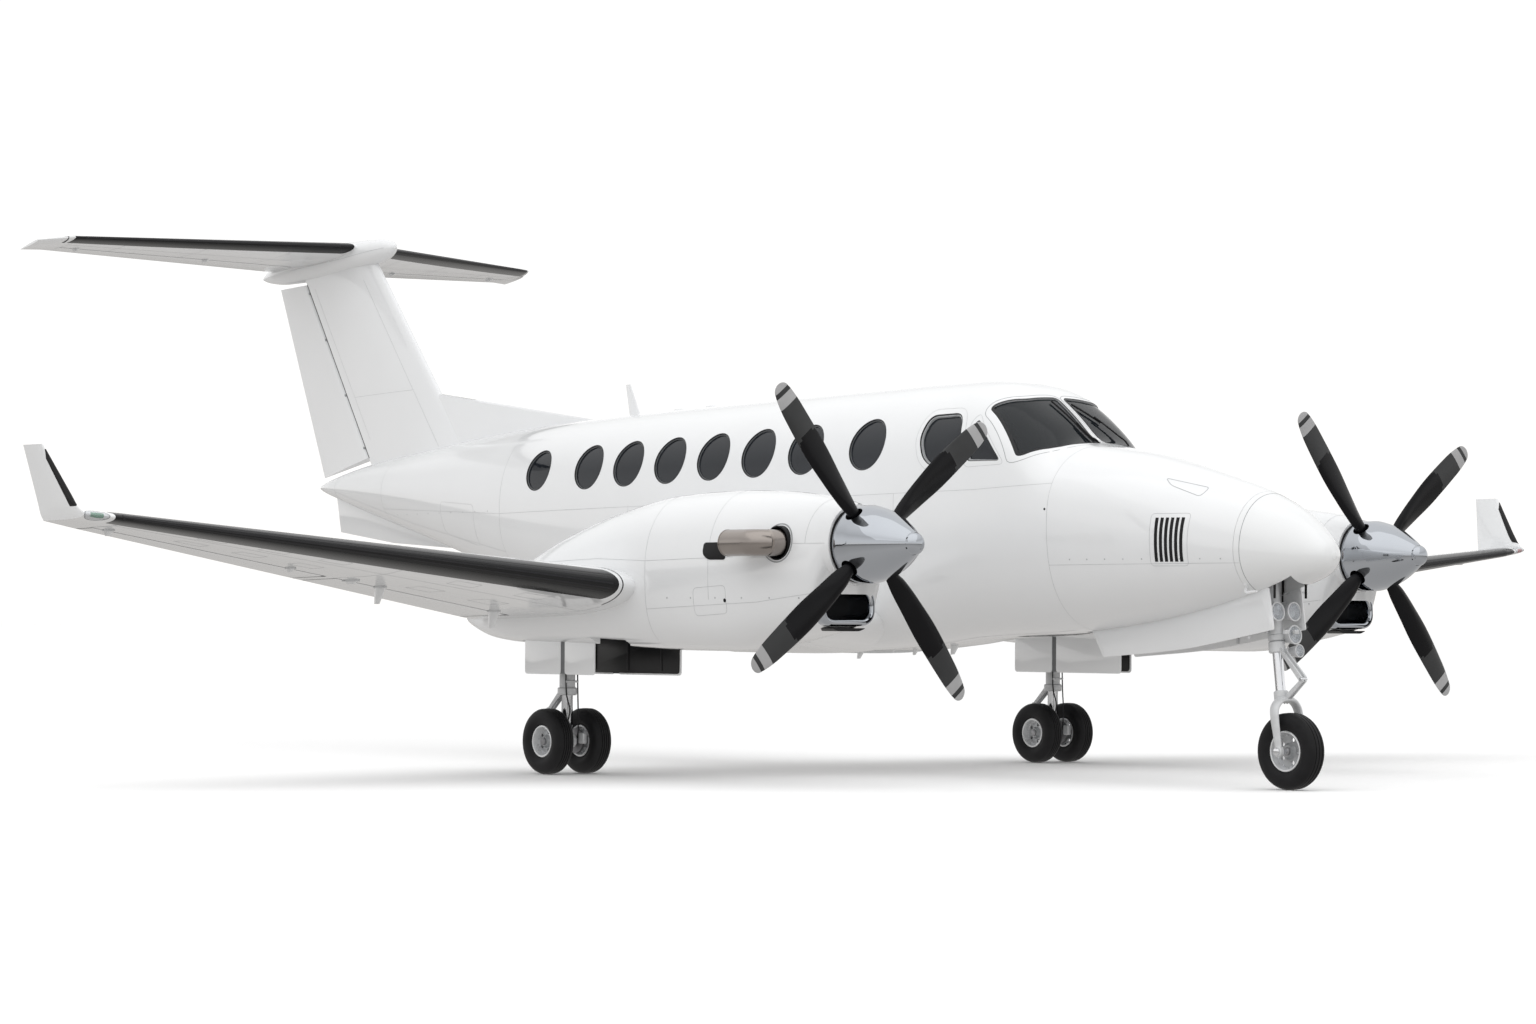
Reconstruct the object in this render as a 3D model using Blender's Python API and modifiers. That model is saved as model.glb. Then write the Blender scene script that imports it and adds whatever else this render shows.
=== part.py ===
# Twin turboprop airplane with a T-tail, winglets and four-bladed propellers,
# standing on its landing gear.
#
# Metres, +Z up. The nose points to -Y and the port wing to +X. The ground is z = 0,
# and the origin lies under the middle of the overall length.

import math

import bmesh
import bpy
from mathutils import Matrix, Vector

GAP = 0.0003            # clearance between pieces that rest on each other
RUNNING_GAP = 0.006     # clearance round a piece that turns

# Overall sizes
NOSE_Y = -6.815
TAIL_Y = 6.815
ENGINE_X = 2.62         # nacelle and propeller axis
GEAR_X = 2.57           # main leg
GEAR_Y = -1.36          # main axle
NOSE_WHEEL_Y = -6.41    # nose axle

# Fuselage
HULL_SIDES = 24
HULL_WALL = 0.055
BULKHEAD_Y = -4.62      # front of the cockpit
AFT_BULKHEAD_Y = 2.10   # back of the cabin
RADOME_Y = -6.20
FLOOR_Z = 1.42
FLOOR_THICKNESS = 0.03
PANEL_Y = (-4.40, -4.20)
PANEL_TOP = 2.36
SEAT_X = 0.36
SEAT_WIDTH = 0.46
# Side view of a seat, y behind its front and height over the floor
SEAT_OUTLINE = ((0.00, 0.22), (0.44, 0.20), (0.56, 1.02), (0.46, 1.04), (0.36, 0.38), (0.02, 0.38))
SEAT_ROWS = (-3.85, -2.75, -1.75, -0.75, 0.35)

# Fuselage stations: y, bottom, top, half width, height of the widest line,
# roundness of the upper half, roundness of the lower half (2 is an ellipse)
HULL = (
    (NOSE_Y, 1.625, 1.675, 0.020, 1.650, 2.0, 2.0),
    (-6.790, 1.570, 1.732, 0.092, 1.652, 2.0, 2.0),
    (-6.710, 1.500, 1.815, 0.165, 1.655, 2.0, 2.0),
    (-6.580, 1.458, 1.925, 0.238, 1.665, 2.0, 2.0),
    (-6.440, 1.415, 2.010, 0.300, 1.680, 2.0, 2.05),
    (-6.160, 1.345, 2.130, 0.390, 1.710, 2.0, 2.1),
    (-5.860, 1.278, 2.220, 0.470, 1.740, 2.05, 2.2),
    (-5.470, 1.205, 2.325, 0.550, 1.785, 2.2, 2.3),
    (-5.070, 1.148, 2.418, 0.620, 1.845, 2.3, 2.4),
    (-4.620, 1.100, 2.489, 0.675, 1.905, 2.35, 2.45),
    (-4.500, 1.090, 2.515, 0.688, 1.920, 2.5, 2.45),
    (-4.260, 1.075, 2.709, 0.710, 1.950, 3.0, 2.5),
    (-4.046, 1.065, 2.868, 0.727, 1.975, 3.1, 2.5),
    (-3.900, 1.060, 2.946, 0.737, 1.990, 3.0, 2.5),
    (-3.730, 1.054, 2.990, 0.748, 2.000, 2.8, 2.55),
    (-3.447, 1.040, 3.014, 0.760, 2.000, 2.5, 2.7),
    (-2.960, 0.990, 3.010, 0.770, 2.000, 2.4, 3.4),
    (-2.300, 0.945, 2.993, 0.770, 2.000, 2.4, 4.0),
    (-1.200, 0.937, 2.966, 0.770, 2.000, 2.4, 4.0),
    (-0.450, 0.955, 2.946, 0.770, 2.000, 2.4, 3.4),
    (0.250, 1.030, 2.928, 0.768, 2.000, 2.4, 2.7),
    (0.844, 1.140, 2.910, 0.755, 2.010, 2.4, 2.5),
    (1.529, 1.300, 2.885, 0.718, 2.050, 2.35, 2.4),
    (2.150, 1.452, 2.853, 0.665, 2.100, 2.3, 2.3),
    (3.005, 1.662, 2.792, 0.560, 2.190, 2.2, 2.2),
    (3.866, 1.878, 2.703, 0.438, 2.270, 2.1, 2.1),
    (4.875, 2.122, 2.590, 0.275, 2.345, 2.0, 2.0),
    (5.500, 2.290, 2.475, 0.150, 2.378, 2.0, 2.0),
    (5.700, 2.345, 2.430, 0.080, 2.386, 2.0, 2.0),
    (5.790, 2.378, 2.404, 0.022, 2.391, 2.0, 2.0),
)
RADOME_STATIONS = (NOSE_Y, -6.79, -6.71, -6.58, -6.44, RADOME_Y)
NOSE_STATIONS = (RADOME_Y, -5.86, -5.47, -5.07, BULKHEAD_Y)
CABIN_STATIONS = (BULKHEAD_Y, -4.50, -4.26, -4.046, -3.90, -3.73, -3.447, -2.96, -2.30,
                  -0.45, 0.25, 0.844, 1.529, AFT_BULKHEAD_Y)
AFT_STATIONS = (AFT_BULKHEAD_Y, 3.005, 3.866, 4.875, 5.50, 5.70, 5.79)
AFT_HOLLOW = (2.02, 3.005, 3.866, 4.80)

# Cabin windows as y, z and radius; the door takes the place of one of them to port
WINDOW_SIDES = 12
WINDOW_ROW = ((-2.669, 2.527, 0.200), (-1.948, 2.508, 0.199), (-1.377, 2.496, 0.196),
              (-0.819, 2.482, 0.193), (-0.269, 2.467, 0.192), (0.277, 2.455, 0.190),
              (0.817, 2.440, 0.187), (1.554, 2.431, 0.173))
DOOR_WINDOW = 6
LINING_THICKNESS = 0.012
LINING_GAP = 0.0006
LINING_Y = (-3.00, 1.84)
LINING_Z = (2.20, 2.80)
LINING_STATIONS = CABIN_STATIONS[6:]
COCKPIT_GLASS_Y = (-4.20, -3.20)
COCKPIT_GLASS_STATIONS = CABIN_STATIONS[1:8]
WINDSHIELD_STATIONS = CABIN_STATIONS[:6]

# Cockpit side windows, corners as y, z
SIDE_WINDOW = ((-3.765, 2.350), (-3.420, 2.342), (-3.325, 2.410), (-3.250, 2.560),
               (-3.290, 2.735), (-3.670, 2.742))
QUARTER_WINDOW = ((-4.145, 2.365), (-3.812, 2.368), (-3.822, 2.640), (-3.858, 2.685))
# Windshield: foot of its centre post as y, z, its slope, and a pane's corners in
# that sloping plane as x and distance up the slope
WINDSHIELD_FOOT = (-4.496, 2.509)
WINDSHIELD_SLOPE = 38.0
WINDSHIELD = ((0.030, -0.045), (0.030, 0.560), (0.330, 0.552), (0.565, 0.635),
              (0.652, 0.085), (0.430, 0.000))
WINDSHIELD_DEPTH = (-0.32, 0.16)    # how far its cut reaches to each side of that plane
PANE_SETBACK = 0.012
PANE_THICKNESS = 0.018
PANE_SHRINK = 0.998

# Air-stair door on the port side
DOOR_Y = (0.54, 1.22)
DOOR_Z = (1.46, 2.72)
DOOR_HINGE_Y = (0.65, 1.11)
DOOR_REACH = (-0.28, 0.30)          # its cut in the wall, inwards and outwards of the hinge
DOOR_CORNER = 0.09
# Its top edge rises outwards, so that it passes under the frame as the door falls open:
# its slope, and the distance inwards of the hinge at which it has the door's height
DOOR_TOP = (0.25, -0.106)
DOOR_PIN = 0.0105
STEP_DEPTH = 0.17
STEP_THICKNESS = 0.035
STEP_HEIGHTS = (1.74, 1.98, 2.22, 2.46)

# Wing: x, leading edge y and z, trailing edge y and z, thickness ratio
WING = (
    (0.300, -2.800, 1.141, -0.620, 0.926, 0.165),
    (3.050, -2.787, 1.415, -0.690, 1.186, 0.155),
    (7.150, -2.500, 1.825, -1.800, 1.771, 0.120),
    (7.430, -2.420, 1.853, -1.890, 1.812, 0.110),
)
WING_CAMBER = 0.020
# Winglet: x, leading edge y and z, trailing edge y and z, thickness, lean of its
# thickness from straight up (0) to inboard (90)
WINGLET = (
    (7.4303, -2.420, 1.853, -1.890, 1.812, 0.055, 0.0),
    (7.4450, -2.350, 1.905, -1.878, 1.852, 0.040, 40.0),
    (7.4580, -2.285, 1.985, -1.862, 1.930, 0.042, 80.0),
    (7.5300, -2.035, 2.325, -1.781, 2.325, 0.026, 84.0),
)
# Jacking pads: radius, and for each its x, y, underside and top
PAD_RADIUS = 0.038
WING_PAD = (1.450, -2.050, 1.010, 1.100)
NOSE_PAD = (0.000, -4.150, 1.052, 1.100)
# Control surfaces: name, x range, hinge as a fraction of the chord
FLAP_INBOARD = (0.86, 2.12)
FLAP_OUTBOARD = (3.12, 4.88)
AILERON = (4.98, 7.12)
FLAP_HINGE = 0.74
AILERON_HINGE = 0.74
PIN_RADIUS = 0.010
PIN_BORE = 0.0108
PIN_REACH = 0.030
SPACE_DEPTH = 2.0       # of the space cut for a hinged surface, aft of its hinge
SPACE_HEIGHT = 0.6      # above and below it

# Tail: fin and rudder outlines in y, z; thickness ratio
FIN = ((3.489, 2.700), (4.827, 4.330))          # leading edge, bottom and top
FIN_HINGE = ((5.000, 2.640), (6.052, 4.300))    # rudder hinge line, bottom and top
RUDDER_TRAIL = ((5.745, 2.480), (6.518, 4.285)) # rudder trailing edge
FIN_THICKNESS = 0.085
FIN_SHARE = 0.69                                # of the whole chord, ahead of the hinge
FIN_SUNK = 0.10         # its root reaches into the fuselage
FIN_RISE = 0.16         # its top reaches into the bullet
FIN_STEPS = (0.0, 0.012, 0.05, 0.12, 0.25, 0.42, 1.0)   # chord fractions, cut off at the rudder
RUDDER_NOSE = (0.054, 0.043)                    # radius, bottom and top
RUDDER_PIN = (0.12, 0.10)                       # its reach below and above
DORSAL = ((1.530, 2.875), (3.980, 3.210))       # front tip and top of the dorsal fin
VENTRAL = ((3.60, 1.80), (5.53, 2.31), (5.455, 1.97), (4.60, 1.86))
# Tailplane: x, leading edge y and z, trailing edge y and z, thickness ratio
TAILPLANE = (
    (0.000, 5.060, 4.600, 6.600, 4.460, 0.095),
    (2.560, 6.020, 4.590, 6.610, 4.515, 0.090),
    (2.740, 6.330, 4.575, 6.655, 4.508, 0.065),
)
ELEVATOR = (0.200, 2.500)
ELEVATOR_HINGE = 0.66
# Fairing at the top of the fin: y, bottom, top, half width
BULLET = (
    (4.650, 4.560, 4.590, 0.015),
    (4.700, 4.505, 4.636, 0.070),
    (4.880, 4.440, 4.664, 0.115),
    (5.300, 4.385, 4.672, 0.140),
    (5.900, 4.338, 4.640, 0.135),
    (6.400, 4.330, 4.570, 0.095),
    (6.700, 4.360, 4.482, 0.045),
    (TAIL_Y, 4.392, 4.420, 0.010),
)

# Nacelle: y, bottom, top, half width, height of the widest line, roundness of the
# lower half, which is boxy at the intake and at the wheel bay
NACELLE = (
    (-4.750, 1.425, 1.985, 0.280, 1.705, 2.0),
    (-4.665, 1.412, 2.008, 0.308, 1.690, 2.1),
    (-4.640, 1.150, 2.014, 0.318, 1.675, 3.6),
    (-4.560, 1.120, 2.030, 0.335, 1.640, 3.6),
    (-4.350, 1.070, 2.062, 0.370, 1.600, 3.2),
    (-4.050, 1.015, 2.090, 0.405, 1.570, 3.0),
    (-3.550, 0.950, 2.106, 0.432, 1.560, 3.0),
    (-2.900, 0.952, 2.085, 0.430, 1.540, 3.0),
    (-2.300, 0.972, 1.990, 0.415, 1.480, 3.5),
    (-1.700, 0.985, 1.840, 0.385, 1.400, 3.5),
    (-1.100, 0.992, 1.610, 0.330, 1.300, 3.5),
    (-0.700, 1.020, 1.400, 0.260, 1.220, 3.0),
    (-0.350, 1.105, 1.265, 0.150, 1.185, 2.4),
    (-0.168, 1.165, 1.190, 0.030, 1.178, 2.0),
)
NACELLE_SIDES = 20
NACELLE_POWER = 2.15    # roundness of the upper half
COWL_STATIONS = (-4.75, -4.665, -4.64, -4.56, -4.35, -4.05, -3.55, -2.90)
AFT_NACELLE_STATIONS = (-2.90, -2.30, -1.70, -1.10, -0.70, -0.35, -0.168)
FIREWALL_Y = -2.90
COWL_WALL = 0.022
INTAKE_Z = 1.272
INTAKE_SIZE = (0.40, 0.165)
INTAKE_LIP = 0.055
INTAKE_CORNERS = (0.125, 0.078)
INTAKE_Y = (-4.660, -4.460)
EXHAUST_Y = -4.32
EXHAUST_Z = 1.715
EXHAUST_RADIUS = 0.094
EXHAUST_WALL = 0.006
EXHAUST_HOLE = 0.122
EXHAUST_END_Y = -3.98
EXHAUST_OUT = 0.545     # middle of the tube from the engine axis

ENGINE_RADIUS = 0.235
SHAFT_RADIUS = 0.045
PROP_Y = -4.89
PROP_Z = 1.705
PROP_RADIUS = 1.38
PROP_ANGLE = 51.0       # blades lie this far round from the level line
SPINNER_BASE_Y = -4.762
# Spinner profile: distance ahead of its base, radius
SPINNER = ((0.000, 0.262), (0.050, 0.273), (0.130, 0.273), (0.240, 0.252), (0.350, 0.210),
           (0.460, 0.150), (0.560, 0.080), (0.626, 0.004))
SPINNER_SIDES = 16
HUB_RADIUS = 0.105
HUB_LENGTH = 0.17
BLADE_SIDES = 8
# Blade: distance from the axis as a share of the propeller's radius, chord,
# thickness, pitch in degrees, how far the middle of the chord lies behind the
# blade's own line
BLADE = (
    (0.043, 0.080, 0.080, 12.0, 0.000),
    (0.196, 0.092, 0.078, 11.0, -0.002),
    (0.275, 0.138, 0.052, 8.5, -0.006),
    (0.406, 0.173, 0.034, 5.0, -0.010),
    (0.594, 0.203, 0.024, 2.0, -0.009),
    (0.833, 0.183, 0.015, -2.0, -0.002),
    (0.949, 0.142, 0.010, -4.0, 0.004),
    (1.000, 0.050, 0.006, -4.5, 0.006),
)

# Wheels
TYRE_SIDES = 24
RIM_SIDES = 16
MAIN_TYRE_RADIUS = 0.248
MAIN_TYRE_WIDTH = 0.166
MAIN_RIM_RADIUS = 0.122
TWIN_SPACING = 0.36
NOSE_TYRE_RADIUS = 0.272
NOSE_TYRE_WIDTH = 0.168
NOSE_RIM_RADIUS = 0.146
AXLE_RADIUS = 0.022

# Landing gear bays: half width, y range, ceiling
MAIN_BAY = (0.262, -2.460, -1.130, 1.116)
NOSE_BAY = (0.170, -6.56, -4.52, 1.74)
MAIN_TRUNNION = (-1.40, 1.085)      # y, z
# Main gear doors: how far each side's plate reaches forward, and their shared back
MAIN_DOORS = ((1, "outer", -2.03), (-1, "inner", -2.42))
MAIN_DOOR_Y = -1.17
MAIN_DOOR_Z = (0.757, 1.088)
# Nose gear door, corners as y, z, and the tie between the two doors
NOSE_DOOR = ((-6.352, 1.430), (-6.401, 1.131), (-5.538, 0.988), (-4.704, 0.919),
             (-4.575, 1.130), (-5.537, 1.255))
NOSE_TIE = (-4.80, 1.135)
NOSE_RAKE = 7.0                     # the strut's top leans aft by this many degrees
MAIN_LEG_RADIUS = 0.060
BRACE_REACH = 0.30
MAIN_PISTON_RADIUS = 0.043
NOSE_LEG_RADIUS = 0.052
NOSE_PISTON_RADIUS = 0.036

MATERIALS = {
    # name: colour, roughness, metallic
    "airframe_white": ((0.86, 0.87, 0.88), 0.18, 0.0),
    "rubber_black": ((0.02, 0.02, 0.022), 0.55, 0.0),
    "gear_grey": ((0.55, 0.56, 0.57), 0.40, 0.1),
    "chrome": ((0.85, 0.86, 0.87), 0.06, 1.0),
    "exhaust_steel": ((0.42, 0.36, 0.31), 0.28, 1.0),
    "blade_black": ((0.035, 0.035, 0.038), 0.35, 0.0),
    "window_glass": ((0.05, 0.06, 0.07), 0.05, 0.0),
    "engine_metal": ((0.35, 0.35, 0.36), 0.45, 0.9),
    "seat_leather": ((0.45, 0.42, 0.38), 0.55, 0.0),
    "cabin_trim": ((0.30, 0.31, 0.33), 0.60, 0.0),
    "wheel_metal": ((0.75, 0.76, 0.78), 0.30, 0.8),
}


def clear_scene():
    for obj in list(bpy.data.objects):
        bpy.data.objects.remove(obj, do_unlink=True)


def make_material(name):
    colour, roughness, metallic = MATERIALS[name]
    mat = bpy.data.materials.new(name)
    mat.use_nodes = True
    shader = mat.node_tree.nodes["Principled BSDF"]
    shader.inputs["Base Color"].default_value = (*colour, 1.0)
    shader.inputs["Roughness"].default_value = roughness
    shader.inputs["Metallic"].default_value = metallic
    return mat


clear_scene()
PARTS = bpy.data.collections.new("turboprop_airplane")
CUTTERS = bpy.data.collections.new("cutters")
bpy.context.scene.collection.children.link(PARTS)
bpy.context.scene.collection.children.link(CUTTERS)
MATS = {name: make_material(name) for name in MATERIALS}


# Mesh helpers

def object_from(bm, name, material=None, origin=(0, 0, 0), parent=None, smooth=True):
    """Turn a bmesh in world coordinates into an object whose origin is given."""
    mesh = bpy.data.meshes.new(name)
    bmesh.ops.translate(bm, verts=bm.verts, vec=-Vector(origin))
    bm.to_mesh(mesh)
    bm.free()
    obj = bpy.data.objects.new(name, mesh)
    if material:
        mesh.materials.append(MATS[material])
        PARTS.objects.link(obj)
    else:
        CUTTERS.objects.link(obj)
        obj.hide_render = True
        obj.display_type = "WIRE"
    obj.location = Vector(origin)
    if parent:
        obj.parent = parent
        obj.location = Vector(origin) - parent.location
    if smooth:
        mesh.shade_smooth()
        mesh.set_sharp_from_angle(angle=math.radians(40))
    return obj


def pivot(name, position):
    """An empty on a joint's axis."""
    empty = bpy.data.objects.new(name, None)
    empty.location = position
    PARTS.objects.link(empty)
    return empty


def boolean(obj, other, operation="DIFFERENCE", solver="EXACT"):
    mod = obj.modifiers.new(f"{operation.lower()}_{other.name}", "BOOLEAN")
    mod.operation = operation
    mod.object = other
    mod.solver = solver
    return obj


def loft_mesh(rings, cap_start=True, cap_end=True):
    """Skin a row of rings that have the same number of points.

    The sides are split along the same diagonals each time, so that a skin and its
    offset stay the same distance apart."""
    bm = bmesh.new()
    rows = [[bm.verts.new(point) for point in ring] for ring in rings]
    count = len(rings[0])
    sides = []
    for near, far in zip(rows, rows[1:]):
        for k in range(count):
            nxt = (k + 1) % count
            sides.append(bm.faces.new((near[k], near[nxt], far[nxt], far[k])))
    if cap_start:
        bm.faces.new(rows[0][::-1])
    if cap_end:
        bm.faces.new(rows[-1])
    bmesh.ops.recalc_face_normals(bm, faces=bm.faces)
    bmesh.ops.triangulate(bm, faces=sides, quad_method="FIXED")
    return bm


def box_mesh(low, high, bevel=0.0):
    bm = bmesh.new()
    bmesh.ops.create_cube(bm, size=1.0)
    size = Vector(high) - Vector(low)
    bmesh.ops.scale(bm, vec=size, verts=bm.verts)
    bmesh.ops.translate(bm, vec=(Vector(high) + Vector(low)) / 2, verts=bm.verts)
    if bevel:
        bmesh.ops.bevel(bm, geom=bm.edges[:], offset=bevel, segments=1, affect="EDGES")
    return bm


def rod_mesh(start, end, radius, sides=16, end_radius=None):
    """A cylinder, or a cone, between two points."""
    start, end = Vector(start), Vector(end)
    bm = bmesh.new()
    bmesh.ops.create_cone(bm, cap_ends=True, segments=sides, radius1=radius,
                          radius2=radius if end_radius is None else end_radius,
                          depth=(end - start).length)
    turn = Vector((0, 0, 1)).rotation_difference(end - start).to_matrix().to_4x4()
    bmesh.ops.transform(bm, matrix=Matrix.Translation((start + end) / 2) @ turn, verts=bm.verts)
    return bm


def prism_mesh(outline, axis, low, high):
    """Extrude a closed outline, given in the other two axes, along an axis."""
    def point(pair, along):
        if axis == "X":
            return (along, pair[0], pair[1])
        if axis == "Y":
            return (pair[0], along, pair[1])
        return (pair[0], pair[1], along)
    rings = [[point(pair, along) for pair in outline] for along in (low, high)]
    return loft_mesh(rings)


def turned_mesh(profile, centre, axis, sides):
    """Turn a profile of (distance along the axis, radius) about an axis.

    The profile starts and ends on, or comes back to, the same line, so the result
    is closed."""
    axis = Vector(axis).normalized()
    side = axis.orthogonal().normalized()
    up = axis.cross(side)
    rings = []
    for along, radius in profile:
        ring = []
        for k in range(sides):
            angle = 2 * math.pi * (k + 0.5) / sides
            ring.append(Vector(centre) + axis * along
                        + (side * math.cos(angle) + up * math.sin(angle)) * radius)
        rings.append(ring)
    return rings


def join_union(first, *others):
    for other in others:
        boolean(first, other, "UNION")
    return first


def cutter(bm, name):
    return object_from(bm, name)


def interpolate(table, key):
    """A row between the rows of a table, on a smooth curve that doesn't overshoot."""
    keys = [row[0] for row in table]
    k = max(0, min(len(table) - 2, next((i for i in range(len(keys) - 1)
                                         if key <= keys[i + 1]), len(keys) - 2)))
    span = keys[k + 1] - keys[k]
    t = (key - keys[k]) / span
    row = [key]
    for column in range(1, len(table[0])):
        value = [r[column] for r in table]
        slope = [(value[i + 1] - value[i]) / (keys[i + 1] - keys[i]) for i in range(len(keys) - 1)]

        def tangent(i):
            if i == 0 or i == len(keys) - 1:
                return slope[min(i, len(slope) - 1)]
            if slope[i - 1] * slope[i] <= 0:
                return 0.0
            return 2 * slope[i - 1] * slope[i] / (slope[i - 1] + slope[i])
        h00 = 2 * t ** 3 - 3 * t ** 2 + 1
        h10 = t ** 3 - 2 * t ** 2 + t
        h01 = -2 * t ** 3 + 3 * t ** 2
        h11 = t ** 3 - t ** 2
        row.append(h00 * value[k] + h10 * span * tangent(k)
                   + h01 * value[k + 1] + h11 * span * tangent(k + 1))
    return row


# Sections

def oval_ring(y, centre_x, bottom, top, half_width, waist, upper_power, lower_power, sides):
    """A superellipse in a plane across Y, with its own upper and lower halves."""
    ring = []
    for k in range(sides):
        angle = 2 * math.pi * (k + 0.5) / sides
        across, rise = math.cos(angle), math.sin(angle)
        power = upper_power if rise > 0 else lower_power
        height = top - waist if rise > 0 else waist - bottom
        x = math.copysign(abs(across) ** (2 / power), across) * half_width
        z = math.copysign(abs(rise) ** (2 / power), rise) * height
        ring.append(Vector((centre_x + x, y, waist + z)))
    return ring


def grown_ring(ring, grow):
    """Move each side of a section in a plane across Y outwards by the same distance."""
    count = len(ring)
    grown = []
    for k in range(count):
        before = (ring[k] - ring[k - 1]).normalized()
        after = (ring[(k + 1) % count] - ring[k]).normalized()
        out = Vector((before.z + after.z, 0, -before.x - after.x)).normalized()
        grown.append(ring[k] + out * (grow / math.sqrt((1 + before.dot(after)) / 2)))
    return grown


def hull_ring(y, grow=0.0):
    _, bottom, top, half, waist, upper, lower = interpolate(HULL, y)
    ring = oval_ring(y, 0.0, bottom, top, half, waist, upper, lower, HULL_SIDES)
    return grown_ring(ring, grow)


def hull_rings(stations, grow=0.0, start_shift=0.0, end_shift=0.0):
    stations = list(stations)
    stations[0] += start_shift
    stations[-1] += end_shift
    return [hull_ring(y, grow) for y in stations]


def nacelle_ring(y, side):
    _, bottom, top, half, waist, lower = interpolate(NACELLE, y)
    return oval_ring(y, side * ENGINE_X, bottom, top, half, waist, NACELLE_POWER, lower,
                     NACELLE_SIDES)


# Chord fractions at which a wing section has points
CHORD_STEPS = (0.0, 0.012, 0.05, 0.12, 0.25, 0.42, 0.60, 0.80, 1.0)


def half_thickness(u):
    """Half thickness of a symmetrical section of unit thickness, with a blunt tail."""
    return 5 * (0.2969 * math.sqrt(u) - 0.1260 * u - 0.3516 * u ** 2
                + 0.2843 * u ** 3 - 0.0955 * u ** 4)


def camber(u, amount):
    return amount * 4 * u * (1 - u)


def wing_ring(lead, trail, thickness, lift, camber_amount=0.0, grow=0.0):
    """A wing section between two points; lift is the direction of its upper side."""
    lead, trail, lift = Vector(lead), Vector(trail), Vector(lift).normalized()
    chord = (trail - lead).length
    along = (trail - lead).normalized()
    upper, lower = [], []
    for u in CHORD_STEPS:
        base = lead + (trail - lead) * u + lift * camber(u, camber_amount) * chord
        rise = half_thickness(u) * thickness * chord + grow
        if u == 0.0:
            base = base - along * grow
            rise = 0.0
        if u == 1.0:
            base = base + along * grow
        upper.append(base + lift * rise)
        lower.append(base - lift * rise)
    return upper[::-1] + lower[1:]


def station_of(rows, x):
    """Leading edge, trailing edge and thickness ratio of a surface at a distance out."""
    k = next((i for i in range(len(rows) - 1) if x <= rows[i + 1][0]), len(rows) - 2)
    t = (x - rows[k][0]) / (rows[k + 1][0] - rows[k][0])
    row = [a + (b - a) * t for a, b in zip(rows[k], rows[k + 1])]
    return Vector((x, row[1], row[2])), Vector((x, row[3], row[4])), row[5]


def wing_station(x):
    return station_of(WING, x)


def tail_station(x):
    return station_of(TAILPLANE, x)


def mirrored(points, side):
    return [Vector((p[0] * side, p[1], p[2])) for p in points]


def hinge_point(station, x, fraction, camber_amount):
    lead, trail, _ = station(x)
    chord = (trail - lead).length
    return lead + (trail - lead) * fraction + Vector((0, 0, camber(fraction, camber_amount) * chord))


def surface_ring(station, x, fraction, camber_amount):
    """Section of a hinged surface: a round nose about the hinge, then the tail of the
    wing section."""
    lead, trail, ratio = station(x)
    chord = (trail - lead).length
    lift = Vector((0, 0, 1))
    centre = hinge_point(station, x, fraction, camber_amount)
    radius = half_thickness(fraction) * ratio * chord
    ring = []
    steps = [fraction + (1.0 - fraction) * s for s in (1.0, 0.5, 0.1)]
    for u in steps:
        base = lead + (trail - lead) * u + lift * camber(u, camber_amount) * chord
        ring.append(base + lift * half_thickness(u) * ratio * chord)
    for angle in (90, 125, 155, 180, 205, 235, 270):
        a = math.radians(angle)
        ring.append(centre + Vector((0, math.cos(a), math.sin(a))) * radius)
    for u in steps[::-1]:
        base = lead + (trail - lead) * u + lift * camber(u, camber_amount) * chord
        ring.append(base - lift * half_thickness(u) * ratio * chord)
    return ring


def hinge_line(station, span, fraction, camber_amount):
    """Both ends of a hinge line and its direction."""
    start, end = (hinge_point(station, x, fraction, camber_amount) for x in span)
    return start, end, (end - start).normalized()


def surface_cutter(station, span, fraction, camber_amount, side, name):
    """Takes the wing away behind a hinged surface's cove line."""
    start, end, direction = hinge_line(station, span, fraction, camber_amount)
    aft = (Vector((0, 1, 0)) - direction * direction.y).normalized()
    up = direction.cross(aft)
    rings = []
    for x, centre in zip(span, (start, end)):
        lead, trail, ratio = station(x)
        radius = half_thickness(fraction) * ratio * (trail - lead).length
        front = centre - aft * (radius + RUNNING_GAP)
        back = centre + aft * SPACE_DEPTH
        ring = [front - up * SPACE_HEIGHT, back - up * SPACE_HEIGHT,
                back + up * SPACE_HEIGHT, front + up * SPACE_HEIGHT]
        rings.append(mirrored(ring, side))
    return cutter(loft_mesh(rings), name)


def square_ends(rings, centres, direction):
    """Slide both ends of a surface along its own lines until they stand square to its
    hinge, so that they pass the wing's ribs when it turns."""
    near, far = rings
    squared = []
    for centre in centres:
        squared.append([p + (q - p) * ((centre - p).dot(direction) / (q - p).dot(direction))
                        for p, q in zip(near, far)])
    return squared


def hinged_surface(name, station, span, fraction, camber_amount, side, material="airframe_white"):
    """A flap, aileron or elevator with a hinge pin at each end."""
    span = (span[0] + RUNNING_GAP, span[1] - RUNNING_GAP)
    start, end, direction = hinge_line(station, span, fraction, camber_amount)
    middle = (start + end) / 2
    middle.x *= side
    joint = pivot(f"{name}_pivot", middle)
    rings = [surface_ring(station, x, fraction, camber_amount) for x in span]
    rings = [mirrored(ring, side) for ring in square_ends(rings, (start, end), direction)]
    body = object_from(loft_mesh(rings), name, material, middle, joint)
    ends = mirrored((start - direction * PIN_REACH, end + direction * PIN_REACH), side)
    pin = cutter(rod_mesh(ends[0], ends[1], PIN_RADIUS, 12), f"{name}_pin")
    boolean(body, pin, "UNION")


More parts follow.
